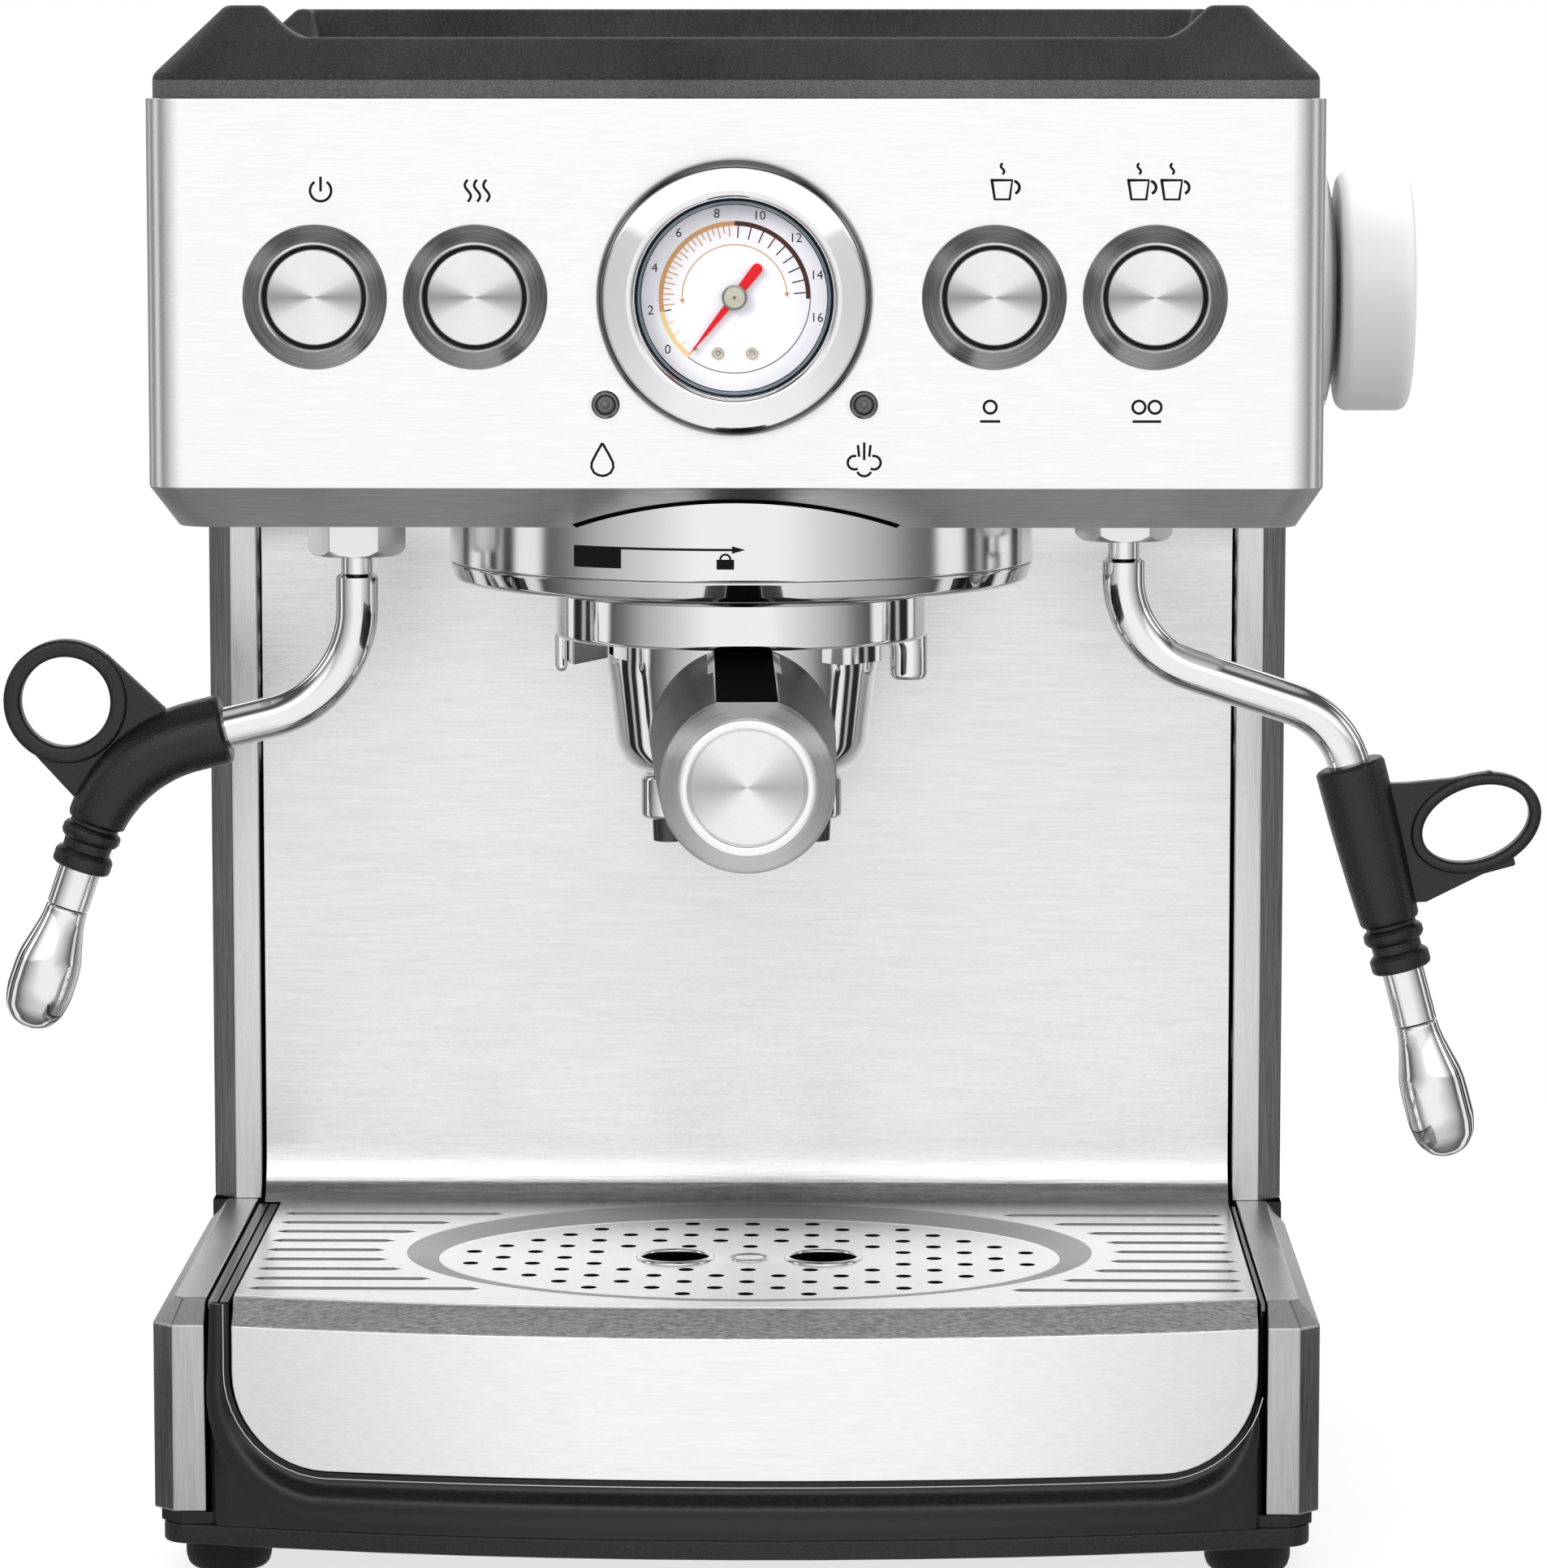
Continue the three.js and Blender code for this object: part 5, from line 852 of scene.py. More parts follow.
RING = [
    (13.8, 0), (17.1, 0), (17.1, -0.5), (16.7, -1.1), (13.3, -3.3), (12.9, -3.4), (12.5, -3.2),
    (12.3, -2.8), (12.2, -2.4), (12.2, 7), (13.8, 7),
]
CAP = [
    (0, -2.2), (10.7, -2.2), (11.1, -2.05), (11.3, -1.6), (11.3, 3.5), (11.9, 3.5), (11.9, 6),
    (2.5, 6), (2.5, 9.5), (0, 9.5),
]
SEAL = [(11.35, -0.6), (12.15, -0.6), (12.15, 2.4), (11.35, 2.4)]
for name in ("power", "steam", "one_cup", "two_cup"):
    node = f"button_ring_{name}"
    at = on_front(node)
    # the caps carry painted fan shade
    ring_steel = spun_steel(f"ring_steel_{name}", at, "Y", 0.34, 0.14, twist=0.7)
    cap_steel = spun_steel(
        f"cap_steel_{name}", at, "Y", 0.96, 0.05, rough=0.42, depth=0.12, fan_shade_depth=0.5, wide=0.5)
    piece = settle(turned(RING, "Y", at), f"ring_{name}", node, ring_steel, crease=40)
    # the ring's inner lip gets a painted highlight line
    repaint(piece, bright_steel_and_painted_highlight, lambda place, way: off_axis(place, at) < 12.75 and place.y < -3.0)
    settle(turned(CAP, "Y", at), f"cap_{name}", f"button_cap_{name}", cap_steel, crease=35)
    settle(turned(SEAL, "Y", at, 64), f"seal_{name}", node, rubber_black, replace=False)

# %% Lamps
DOME = [
    (0, -1.5), (0.4, -1.42), (0.7, -1.15), (0.85, -0.75), (1.05, -0.6), (1.4, -0.75),
    (1.8, -0.6), (2.15, -0.15), (2.3, 0.2), (2.3, 1.5), (4.1, 1.5), (4.1, 8), (0, 8),
]
FLANGE = [(2.15, -0.4), (2.55, -1.0), (2.9, -0.9), (3.25, -0.1), (4.2, -0.04), (4.2, 0.1),
          (2.15, 0.1)]
for node in ("lamp_heat", "lamp_steam"):
    at = on_front(node)
    settle(turned(DOME, "Y", at, 48), f"{node}_dome", node, lamp_grey, crease=40)
    flange = turned(eased(FLANGE, 0.14, 3, closed=True), "Y", at, 48)
    piece = settle(flange, f"{node}_ring", node, dark_chrome_and_painted_edges, replace=False)
    repaint(piece, panel_steel, lambda place, way: off_axis(place, at) > 3.4)

# %% [markdown]
# ## The pressure gauge
#
# A chromed bezel holds a flat glass over a printed dial. The dial's scale is printed ink: a
# coloured arc with short ticks that point to the middle, plain numbers, and a thin inner arc
# with an arrowhead at each end. Each mark is a very thin plate lying on the dial, because a
# thin plate keeps its crisp edge however close the view is.

# %% Bezel, glass and dial
BEZEL_BORE, BEZEL_REACH = 23.4, 32.8
DIAL_FACE, DIAL_REACH = 0.2, 23.1
BEZEL = [
    (25.0, 0), (BEZEL_REACH, 0), (BEZEL_REACH, -1.6), (BEZEL_REACH - 0.4, -3.6),
    (BEZEL_REACH - 1.6, -5.2), (25.2, -7.0), (24.2, -6.8), (BEZEL_BORE, -5.8), (BEZEL_BORE, 2.3),
    (25.0, 2.3),
]
GLASS_REFLECTION_RING = [(21.9, -4.7), (22.3, -5.3), (22.6, -4.95), (22.95, -5.5), (23.35, -5.0),
              (23.35, -4.65), (21.9, -4.62)]
centre = Vector((0, 0, control.z))
piece = settle(turned(eased(BEZEL, 0.9), "Y", centre, 128), "bezel", "gauge_bezel", chrome, 50)
# the bezel's outer rounding gets dark chrome: painted shade
repaint(piece, dark_chrome_and_painted_edges, lambda place, way:
        way.y > -0.8 and off_axis(place, centre) > BEZEL_REACH - 2.4)
dial_plate = [(0.001, DIAL_FACE), (DIAL_REACH, DIAL_FACE), (DIAL_REACH, 2.6), (0.001, 2.6)]
settle(turned(dial_plate, "Y", centre), "dial_plate", "gauge_dial", dial_white)
lens = [(0, -4.6), (22.7, -4.6), (DIAL_REACH, -4.2), (DIAL_REACH, -3.1), (0, -3.1)]
settle(turned(lens, "Y", centre), "lens", "gauge_lens", gauge_glass)
# a painted reflection: a tinted ring at the glass's edge, in front of the lens
glass_reflection_ring = turned(eased(GLASS_REFLECTION_RING, 0.12, 2, closed=True), "Y", centre, 128)
piece = settle(glass_reflection_ring, "glass_reflection_ring", "gauge_bezel", painted_glass_reflection_dark, replace=False)
repaint(piece, painted_glass_reflection_pale, lambda place, way: 22.15 < off_axis(place, centre) < 22.75)


# %% Marks that lie on a flat face
MARK_THICK = 0.06


def on_face(shape, centre, front):
    """Turn a flat drawing in X-Y to stand in X-Z at the given depth, seen from the front."""
    return moved(swung(shape, 90, "X"), (centre[0], front, centre[1]))


def at_clock(angle, reach):
    """A place at an angle clockwise from twelve."""
    turn = math.radians(angle)
    return reach * math.sin(turn), reach * math.cos(turn)


def plate_of(outline, thick=MARK_THICK):
    return pressed(outline, "Z", 0.0, thick)


def sector(inner, outer, start, end, step=2.0):
    """A flat band between two radii, from one clock angle to another."""
    count = max(2, int(abs(end - start) / step) + 1)
    angles = [start + (end - start) * i / (count - 1) for i in range(count)]
    return plate_of([at_clock(a, outer) for a in angles]
                    + [at_clock(a, inner) for a in reversed(angles)])


def tick(angle, inner, outer, wide):
    """A short straight mark that points to the middle."""
    across, out = Vector(at_clock(angle + 90, wide / 2)), Vector(at_clock(angle, 1))
    corners = (out * inner - across, out * outer - across, out * outer + across,
               out * inner + across)
    return plate_of([tuple(c) for c in corners])


def lettering(words, size, place):
    """Plain generic lettering as a flat mesh, centred on its place."""
    curve = bpy.data.curves.new("letters", "FONT")
    curve.body, curve.size = words, size
    curve.align_x, curve.align_y = "CENTER", "CENTER"
    curve.extrude, curve.resolution_u = MARK_THICK / 2, 3
    carrier = placed("letters", curve)
    bpy.context.view_layer.update()
    shape = bmesh.new()
    shape.from_mesh(carrier.to_mesh())
    bpy.data.objects.remove(carrier)
    return moved(shape, (*place, 0))


# %% The printed scale
DIAL = (0.0, control.z)
YELLOW_FROM, TAN_FROM, BROWN_TO, SCALE_TO = 218, 259, 91, 360  # clock angles
SCALE_IN, SCALE_OUT = 16.9, 18.0
yellow = [sector(SCALE_IN, SCALE_OUT, YELLOW_FROM, TAN_FROM)]
yellow += [tick(YELLOW_FROM + 10.25 * i, 15.2, 17, 0.3) for i in range(5)]
tan = [sector(SCALE_IN, SCALE_OUT, TAN_FROM, SCALE_TO)]
tan += [tick(TAN_FROM + 4.6 * i, SCALE_IN - (2.6 if i % 2 else 1.6), 17, 0.28) for i in range(22)]
brown = [sector(SCALE_IN, SCALE_OUT, 0, BROWN_TO), sector(17.8, SCALE_OUT, BROWN_TO, YELLOW_FROM)]
brown += [tick(3 + 10.4 * i, 14.0, 17, 0.3) for i in range(9)]
inner = [sector(12.28, 12.55, 267, 446)]
inner += [plate_of([at_clock(263, 12.4), at_clock(268, 13.1), at_clock(268, 11.7)]),
          plate_of([at_clock(90, 12.4), at_clock(85, 11.7), at_clock(85, 13.1)])]
numbers = [lettering(str(2 * i), 3.1, at_clock(232 + 29 * i, 20.1)) for i in range(9)]
for name, finish, shapes in (
    ("scale_yellow", ink_yellow, yellow), ("scale_tan", ink_tan, tan),
    ("scale_brown", ink_brown, brown), ("scale_inner", ink_tan, inner),
    ("scale_numbers", ink_dark, numbers),
):
    printed = on_face(together(*shapes), DIAL, DIAL_FACE)
    settle(printed, name, "gauge_dial", finish, replace=False)

# %% Screws and needle
for i, (x, z, reach) in enumerate(((-3.95, -13.2, 1.45), (4.1, -13.2, 1.45), (-9.3, -12.1, 0.55))):
    head = [(0, 0.1), (reach * 0.3, 0.1), (reach * 0.45, -0.3), (reach * 0.85, -0.4),
            (reach, -0.15), (reach, 0.22), (0, 0.22)]
    screw = turned(eased(head, 0.12, 2), "Y", (x, 0, control.z + z), 32)
    settle(screw, f"dial_screw_{i + 1}", "gauge_dial", hub_brass, replace=False)
POINTER_ANGLE, TIP, TAIL, TAIL_HALF = 218.3, 17.7, 9.9, 1.3
outline = [(0.0, TIP), (0.5, TIP * 0.6), (1.0, 0.0), (TAIL_HALF, TAIL_HALF - TAIL)]
outline += [(x, y + TAIL_HALF - TAIL) for x, y in arc_points(TAIL_HALF, TAIL_HALF, 8, 0, -180)[1:]]
outline += [(-1.0, 0.0), (-0.5, TIP * 0.6)]
pointer = swung(pressed(outline, "Z", 0, 0.6, 0.12, 2), -POINTER_ANGLE, "Z")
settle(on_face(pointer, DIAL, -0.5), "pointer", "gauge_needle", needle_red)

# %% The needle's hub and pin
HUB = [(0, -1.9), (2.55, -1.9), (2.62, -1.5), (2.62, -0.6), (0, -0.6)]
HUB_EDGE = [(2.55, -2.0), (3.0, -1.9), (3.0, -0.6), (2.62, -0.6)]
PIN = [(0, -2.4), (0.35, -2.4), (0.45, -1.85), (0, -1.85)]
hub = turned(eased(HUB, 0.15, 3), "Y", centre, 64)
settle(hub, "pointer_hub", "gauge_needle", hub_brass, replace=False)
pin = together(turned(HUB_EDGE, "Y", centre, 64), turned(eased(PIN, 0.1, 2), "Y", centre, 32))
settle(pin, "pointer_pin", "gauge_needle", dark_chrome_and_painted_edges, replace=False)

# %% [markdown]
# ## The steam knob
#
# A thick steel disc with a rounded rim turns on a dished chrome escutcheon. Its face is
# brushed in circles, which is why its highlight is a bright fan instead of a spot.

# %% Knob and escutcheon
KNOB_REACH, BORE = 29.7, 4
side = Vector((head_high.x, middle("steam_knob").y, middle("steam_knob").z))
face, back = span("steam_knob")[1].x - side.x - 0.6, 7.5
knob_steel = spun_steel(
    "knob_steel", side, "X", 0.98, 0.02, rough=0.45, depth=0.08, twist=0.0, metal=0.08)
outside = eased(
    [(BORE, back), (28.1, back), (KNOB_REACH, back + 1.8), (KNOB_REACH, face - 2.6),
     (28.9, face - 0.9), (27.0, face - 0.1), (20.7, face + 0.35), (0, face + 0.6)], 1.5)
knob = turned([(0, -18), (BORE, -18)] + outside, "X", side, 128)
settle(knob, "knob_turned", "steam_knob", knob_steel, crease=40)
ESCUTCHEON = [(4.3, 0), (33.0, 0), (32.2, 2.4), (29.0, 4.8), (22.0, 6.4), (12.3, 6.8), (4.3, 6.8)]
escutcheon = turned(eased(ESCUTCHEON, 1.2), "X", side, 128)
settle(escutcheon, "knob_escutcheon", "knob_plate", chrome, crease=45)

# %% [markdown]
# ## Group collar and lock ring
#
# The collar is a chromed skirt that hides the brew head; its lower edge is rolled inwards
# to a mirror lip. The lock ring under it holds the portafilter by two lugs: they pass up
# through two gates in its ledge and then turn onto the ledge. The ring is spun as a full
# channel, and the ledge as two arcs, which leaves the gates open between them.

# %% Collar
COLLAR_OUT, SKIRT_IN, LEDGE_IN = 72.6, 70.6, 40.4
lip = span("group_collar")[0].z
crown, seam = lip + 25.8, lip + 5.2
skirt = eased(
    [(COLLAR_OUT, crown), (COLLAR_OUT, seam + 0.1), (72.2, seam - 0.3), (71.2, seam - 0.3),
     (71.2, lip + 6.6), (SKIRT_IN, lip + 6.8), (SKIRT_IN, crown)], 0.3, 3, closed=True)
collar_steel = spun_steel(
    "collar_steel", group, "Z", 0.86, 0.04, rough=0.12, depth=0.03, twist=0.3)
settle(turned(skirt, "Z", group, 160), "collar", "group_collar", collar_steel, crease=45)
# the rolled lip takes the darker chrome: painted shade
rolled = turned(eased(
    [(71.3, lip + 6.4), (71.3, seam - 0.25), (72.5, seam - 0.3), (COLLAR_OUT, seam - 0.8),
     (71.4, lip + 0.9), (70.2, lip), (66.2, lip + 0.6), (65.6, lip + 5), (LEDGE_IN, lip + 5),
     (LEDGE_IN, lip + 6.4)], 0.45, 4, closed=True), "Z", group, 160)
settle(rolled, "collar_lip", "group_collar", shaded_lip_chrome, crease=45, replace=False)
# a black ring in the collar's seam groove: painted shade
groove = turned([(70.9, seam - 0.3), (72.25, seam - 0.3), (72.25, seam + 0.2), (70.9, seam + 0.2)],
                "Z", group, 160)
settle(groove, "collar_seam_shadow", "group_collar", shadow_black, replace=False)

# %% A painted shadow: a black strip where the collar meets the head's sloping edge
SLOPE_RISE, SLOPE_RUN = 10.6, 17.5
INTO_SLOPE = Vector((0, -0.518, -0.855))
shadow_gap_rings = []
for i in range(-70, 71):
    turn = math.radians(i * 0.5)
    ring = []
    for reach, deep in ((72.3, -0.5), (74.2, -0.5), (74.2, 0.07), (72.3, 0.07)):
        x, y = group.x + reach * math.sin(turn), group.y - reach * math.cos(turn)
        ring.append(Vector((x, y, head_low.z + SLOPE_RISE * (1 - y / SLOPE_RUN)))
                    + INTO_SLOPE * deep)
    if ring[0].y < SLOPE_RUN + 0.6:
        shadow_gap_rings.append(ring)
settle(bridged(shadow_gap_rings), "collar_shadow_gap", "group_collar", shadow_black, replace=False)


# %% Lock ring
def arc_of(profile, start, end, steps):
    """A closed profile swept part of the way round the group, with both ends closed."""
    shape = bmesh.new()
    face = shape.faces.new([shape.verts.new((r, 0, h)) for r, h in profile])
    swung(shape, start, "Z")
    bmesh.ops.spin(shape, geom=[face], cent=(0, 0, 0), axis=AXES["Z"],
                   angle=math.radians(end - start), steps=steps)
    return moved(shape, group)


LOCK_DEEP, DRAFT = 11.7, 0.012
BORED, CHANNEL_IN, CHANNEL_OUT, RING_OUT = 34.4, 39.8, 42, 46.4
lock_top = span("lock_ring")[1].z
lock_bottom = lock_top - LOCK_DEEP
channel = turned(eased(
    [(41.2, lock_bottom), (CHANNEL_OUT, lock_bottom + 0.8), (CHANNEL_OUT, lock_top - 0.6),
     (41.4, lock_top), (BORED, lock_top), (BORED, lock_top - 1.2), (CHANNEL_IN, lock_top - 2.4),
     (CHANNEL_IN, lock_bottom)], 0.5, 3, closed=True), "Z", group, 128)
for vert in channel.verts:
    if math.hypot(vert.co.x, vert.co.y - group.y) > 40.8:
        taper = 1 - DRAFT * (vert.co.z - lock_bottom) / LOCK_DEEP
        vert.co.x *= RING_OUT / CHANNEL_OUT
        vert.co.y = group.y + (vert.co.y - group.y) * taper
ledge = [(BORED, lock_bottom), (39.9, lock_bottom), (39.9, lock_bottom + 2),
         (BORED, lock_bottom + 2)]
arcs = [arc_of(ledge, start, start + 149, 48) for start in (-29.5, 150.5)]
print("lock ring from", round(lock_bottom, 1), "to", round(lock_top, 1), "lip at", round(lip, 1))

# %% [markdown]
# Two posts hang from the ring as stops, one at each side. A post is a row of rounded boxes,
# broad at its root and narrow at its soft foot, bridged into one skin.


# %% The ring's posts and web
def rounded_box(first, last, half, z, steps=8):
    """A ring in X-Y whose corners are well rounded."""
    soft = min((last - first) / 2, half) * 0.92
    ring = []
    for cx, cy, start in ((last - soft, half - soft, 0), (first + soft, half - soft, 90),
                          (first + soft, soft - half, 180), (last - soft, soft - half, 270)):
        corner = arc_points(soft, soft, steps, start, start + 90)
        ring += [(cx + x, cy + y, z) for x, y in corner]
    return ring


stops = []
for way, drop, wide in ((1, 10.8, 9.4), (-1, 8.7, 3.2)):
    reach = way * 46.5
    stations = [  # height from the ring's foot, near and far side drawn in, half width
        (0.6, -3.4, 0, 5.0), (0, -3.2, 0, 5.0), (-0.5, -2.2, 0, 5.0), (-1.2, -1.0, 0, 5.0),
        (-2.2, -0.3, 0, 5.0), (-3.4, 0, 0, 5.0), (1.8 - drop, 0, 0, 4.9),
        (0.8 - drop, 0.3, 0.3, 4.6), (0.2 - drop, 0.7, 0.7, 4.0), (-drop, 1.2, 1.2, 3.2)]
    rings = []
    for height, near, far, half in stations:
        near = near if way > 0 else max(near, 0)
        first, last = sorted((reach + way * (near - wide), reach - way * far))
        rings.append(rounded_box(first, last, half, lock_bottom + height))
    stops.append(moved(bridged(rings), group))
web = [(34.7, lock_bottom - 4.5), (43.4, lock_bottom - 6.0), (43.4, lock_bottom + 0.4),
       (34.7, lock_bottom + 0.4)]
stops.append(arc_of(web, 180, 198, 10))
settle(together(channel, *arcs, *stops), "lock_ring_turned", "lock_ring", chrome, crease=35)
throat = turned([(39.2, lock_top - 1.5), (40.2, lock_top - 1.5), (40.2, lip + 5.6),
                 (39.2, lip + 5.6)], "Z", group, 96)
settle(throat, "group_throat", "lock_ring", throat_steel, replace=False)

# %% [markdown]
# ## Portafilter
#
# The cup is a heavy chromed casting, so it is turned with wide, soft corners. Its handle is a
# moulding whose section is a circle with the top cut flat, getting thicker towards the cup:
# a row of such sections is bridged into one skin. A steel cap closes its end. The
# portafilter is shown locked, so it is turned a little from straight ahead.

# %% Cup with its lugs and neck
LOCKED_AT = 1.7  # degrees from straight ahead
CUP_HIGH, CUP_BORE, CUP_FOOT = 42, 30.3, 24.3
HEEL = -33.7  # where the handle meets the cup, forward of the group's axis
cup_low = span("portafilter_body")[0].z
rim = cup_low + CUP_HIGH
grip_z = middle("portafilter_handle").z + 0.85


def locked(shape):
    """Turn a piece made straight ahead into the locked position."""
    return swung(shape, LOCKED_AT, "Z", group)


cup = turned(eased(
    [(CUP_FOOT, cup_low), (28.9, cup_low + 2.6), (31.4, cup_low + 7), (33.9, cup_low + 28),
     (33.9, rim), (CUP_BORE, rim), (CUP_BORE, rim - 27), (CUP_FOOT, rim - 30), (4, cup_low + 5),
     (4, cup_low)], 2.2, 5, closed=True), "Z", group, 128)
lug = [(32.5, lock_bottom + 2.3), (39, lock_bottom + 2.3), (39, lock_bottom + 5.3),
       (32.5, lock_bottom + 5.3)]
lugs = [arc_of(lug, toward - 13, toward + 13, 12) for toward in (0, 180)]
tab = [(32.4, lock_bottom - 4.6), (38.3, lock_bottom - 4.6), (38.3, lock_bottom - 0.5),
       (32.0, lock_bottom - 0.5)]
lugs.append(arc_of(tab, -50, -26, 16))
neck = turned(eased(
    [(0, HEEL - 34), (5, HEEL - 34), (5, HEEL + 1), (11, HEEL + 1), (11, -27.5), (0, -27.5)],
    0.6, 3), "Y", (0, group.y, grip_z), 64)
settle(locked(together(cup, *lugs, neck)), "cup", "portafilter_body", chrome, crease=40)

# %% Handle
FACET = 7.1  # half the width of the flat along the handle's top
heel_y = HEEL - 0.3
front_y = heel_y - 102


def section(radius, y, facet=FACET, points=88):
    """A circle whose top is cut flat, the flat being twice the facet wide."""
    top = math.sqrt(radius ** 2 - facet ** 2)
    edge = math.degrees(math.atan2(top, facet) - 0.45 / radius)
    flat = [(facet * (1 - i / 4), top) for i in range(9)]
    around = arc_points(radius, radius, points, 180 - edge, 360 + edge)
    return [(x, group.y + y, grip_z + z) for x, z in flat + around]


grip = bridged([section(radius, y) for radius, y in (
    (20.0, front_y), (20.4, front_y + 0.5), (20.9, front_y + 16), (21.3, front_y + 34),
    (21.9, front_y + 56), (22.3, heel_y - 22), (22.65, heel_y - 8), (22.7, heel_y - 3),
    (22.4, heel_y - 1.4), (21.8, heel_y - 0.5), (20.8, heel_y),
)])
piece = settle(locked(grip), "handle_grip", "portafilter_handle", handle_black, crease=14)
repaint(piece, facet_black, lambda place, way: way.z > 0.985)
# the narrow faces along the flat top's edges get dark chrome: a painted highlight line on the black
# handle
repaint(piece, dark_chrome_and_painted_edges, lambda place, way:
        0.928 < way.z < 0.985 and place.y < group.y + HEEL - 6)

# %% End cap
cap_y = front_y - 5.2
cap_middle = Matrix.Rotation(math.radians(LOCKED_AT), 3, "Z") @ Vector((0, cap_y, 0))
cap_middle += Vector((group.x, group.y, grip_z))
# the handle's cap disc carries painted fan shade
cap_steel = spun_steel(
    "cap_steel_handle", cap_middle, "Y", 0.95, rough=0.42, depth=0.14, fan_shade_depth=0.34, wide=0.8)
cap_bevel = spun_steel("cap_bevel_steel", cap_middle, "Y", 0.6, rough=0.3, depth=0.12)
shell = bridged([section(radius, cap_y + back, facet) for radius, back, facet in (
    (13.6, 0, 0.4), (15.6, 0, 2.4), (16.2, 0.15, 3.4), (19.4, 2.6, 6.9), (20.1, 3.2, FACET),
    (20.4, 3.9, FACET), (20.4, 4.6, FACET), (20.2, 4.9, FACET))])
seat = (0, group.y + cap_y - 0.1, grip_z)
DISC = [(0, -0.3), (13.0, -0.3), (13.4, 0.1), (13.4, 1.0), (0, 1.0)]
STEP = [(13.3, 0.6), (13.6, -0.5), (14.7, -0.75), (15.9, -0.3), (16.1, 0.8)]
disc = turned(eased(DISC, 0.3, 3), "Y", seat)
step = turned(eased(STEP, 0.9, 5, closed=True), "Y", seat)
for shape, name, finish in (
    (shell, "handle_cap_shell", cap_bevel), (disc, "handle_cap_disc", cap_steel),
    (step, "handle_cap_step", bright_steel_and_painted_highlight),
):
    settle(locked(shape), name, "handle_cap", finish, crease=28, replace=shape is shell)


# %% [markdown]
# ## The twin spout
#
# One casting carries the coffee to two tips. It is an arm with round ends that is arched
# underneath. The arch is cut with a Boolean modifier whose result is kept, because that is
# the plain way to take one solid shape out of another.

# %% Cutting one shape with others
def carved(shape, *cutters, way="DIFFERENCE"):
    """The shape with the other shapes taken out of it, or joined to it."""
    objects = []
    for each in (shape, *cutters):
        mesh = bpy.data.meshes.new("carving")
        bmesh.ops.recalc_face_normals(each, faces=each.faces)
        each.to_mesh(mesh)
        each.free()
        objects.append(placed("carving", mesh))
    for cutter in objects[1:]:
        step = objects[0].modifiers.new("cut", "BOOLEAN")
        step.operation, step.solver, step.object = way, "EXACT", cutter
    result = bmesh.new()
    result.from_mesh(worked(objects[0]).to_mesh())
    for made in objects:
        bpy.data.meshes.remove(made.data)
    return result


# %% Spout
SPOUT_HALF, SPOUT_ROUND, ARCH_HALF = 18.8, 6.4, 12.4
spout_top = cup_low - 0.4
end = [(SPOUT_HALF + x, y) for x, y in arc_points(SPOUT_ROUND, SPOUT_ROUND, 24, -90, 90)]
stadium = end + [(-x, -y) for x, y in end]
arm = pressed(stadium, "Z", spout_top - 11, spout_top, 1.4, 4)
arch = eased(
    [(-ARCH_HALF, spout_top - 12), (-ARCH_HALF, spout_top - 5.2), (0, spout_top - 4.4),
     (ARCH_HALF, spout_top - 5.2), (ARCH_HALF, spout_top - 12)], 7, 10)
arch = [(-ARCH_HALF, spout_top - 13), *arch, (ARCH_HALF, spout_top - 13)]
arm = carved(arm, pressed(arch, "Y", -8, 8))
TIP_BORE = [(2.6, -16.8), (3.9, -16.8), (4.2, -10.2), (2.6, -10.2)]
tips = [turned(eased(TIP_BORE, 0.4, 3, closed=True), "Z", (x, 0, spout_top), 64)
        for x in (0.6 - SPOUT_HALF, SPOUT_HALF - 0.6)]
nipple = turned([(0, -1), (3.7, -1), (3.7, 4.4), (0, 4.4)], "Z", (0, 0, spout_top), 32)
to_group = (0, group.y, 0)
spout, mouths = moved(together(arm, nipple), to_group), moved(together(*tips), to_group)
settle(locked(spout), "spout", "portafilter_spout", chrome, crease=32)
settle(locked(mouths), "spout_mouths", "portafilter_spout", tip_grey, crease=32, replace=False)

# %% [markdown]
# ## Steam and water wands
#
# Each wand is a chromed tube bent twice in one plane, hanging from a ball in a hexagon nut.
# A moulded grip with a finger ring is pushed over it, and a heavier nozzle ends it. Tube and
# grip are rows of circles set along the same bent line and bridged, so they cannot drift
# apart. The line itself is straight runs joined by round bends.

# %% The bent line
def bent_line(corners, radii, steps=16):
    """Points along straight runs joined by round bends, in X-Z."""
    run = [Vector(corners[0])]
    for i, radius in enumerate(radii):
        corner = Vector(corners[i + 1])
        inward = (corner - Vector(corners[i])).normalized()
        outward = (Vector(corners[i + 2]) - corner).normalized()
        bend = inward.angle(outward)
        reach, push = radius * math.tan(bend / 2), radius * 4 / 3 * math.tan(bend / 4)
        start, end = corner - inward * reach, corner + outward * reach
        first, second = start + inward * push, end - outward * push
        run.append(start)
        for t in (k / steps for k in range(1, steps + 1)):
            run.append(start * (1 - t) ** 3 + first * 3 * t * (1 - t) ** 2
                       + second * 3 * t * t * (1 - t) + end * t ** 3)
    run.append(Vector(corners[-1]))
    return run


def along_line(line, distance):
    """The place and the direction at a distance along a run of points."""
    for here, there in zip(line, line[1:]):
        gap = (there - here).length
        if distance <= gap or there is line[-1]:
            way = (there - here) / gap
            return here + way * distance, way
        distance -= gap


def sleeve(line, stations, centre, points=48):
    """Circles of given radii at given distances along the line, bridged into a skin."""
    rings = []
    for distance, radius in stations:
        at, way = along_line(line, distance)
        rings.append([
            centre + Vector((at.x - way.y * across, deep, at.y + way.x * across))
            for across, deep in arc_points(radius, radius, points)[:-1]
        ])
    return bridged(rings)


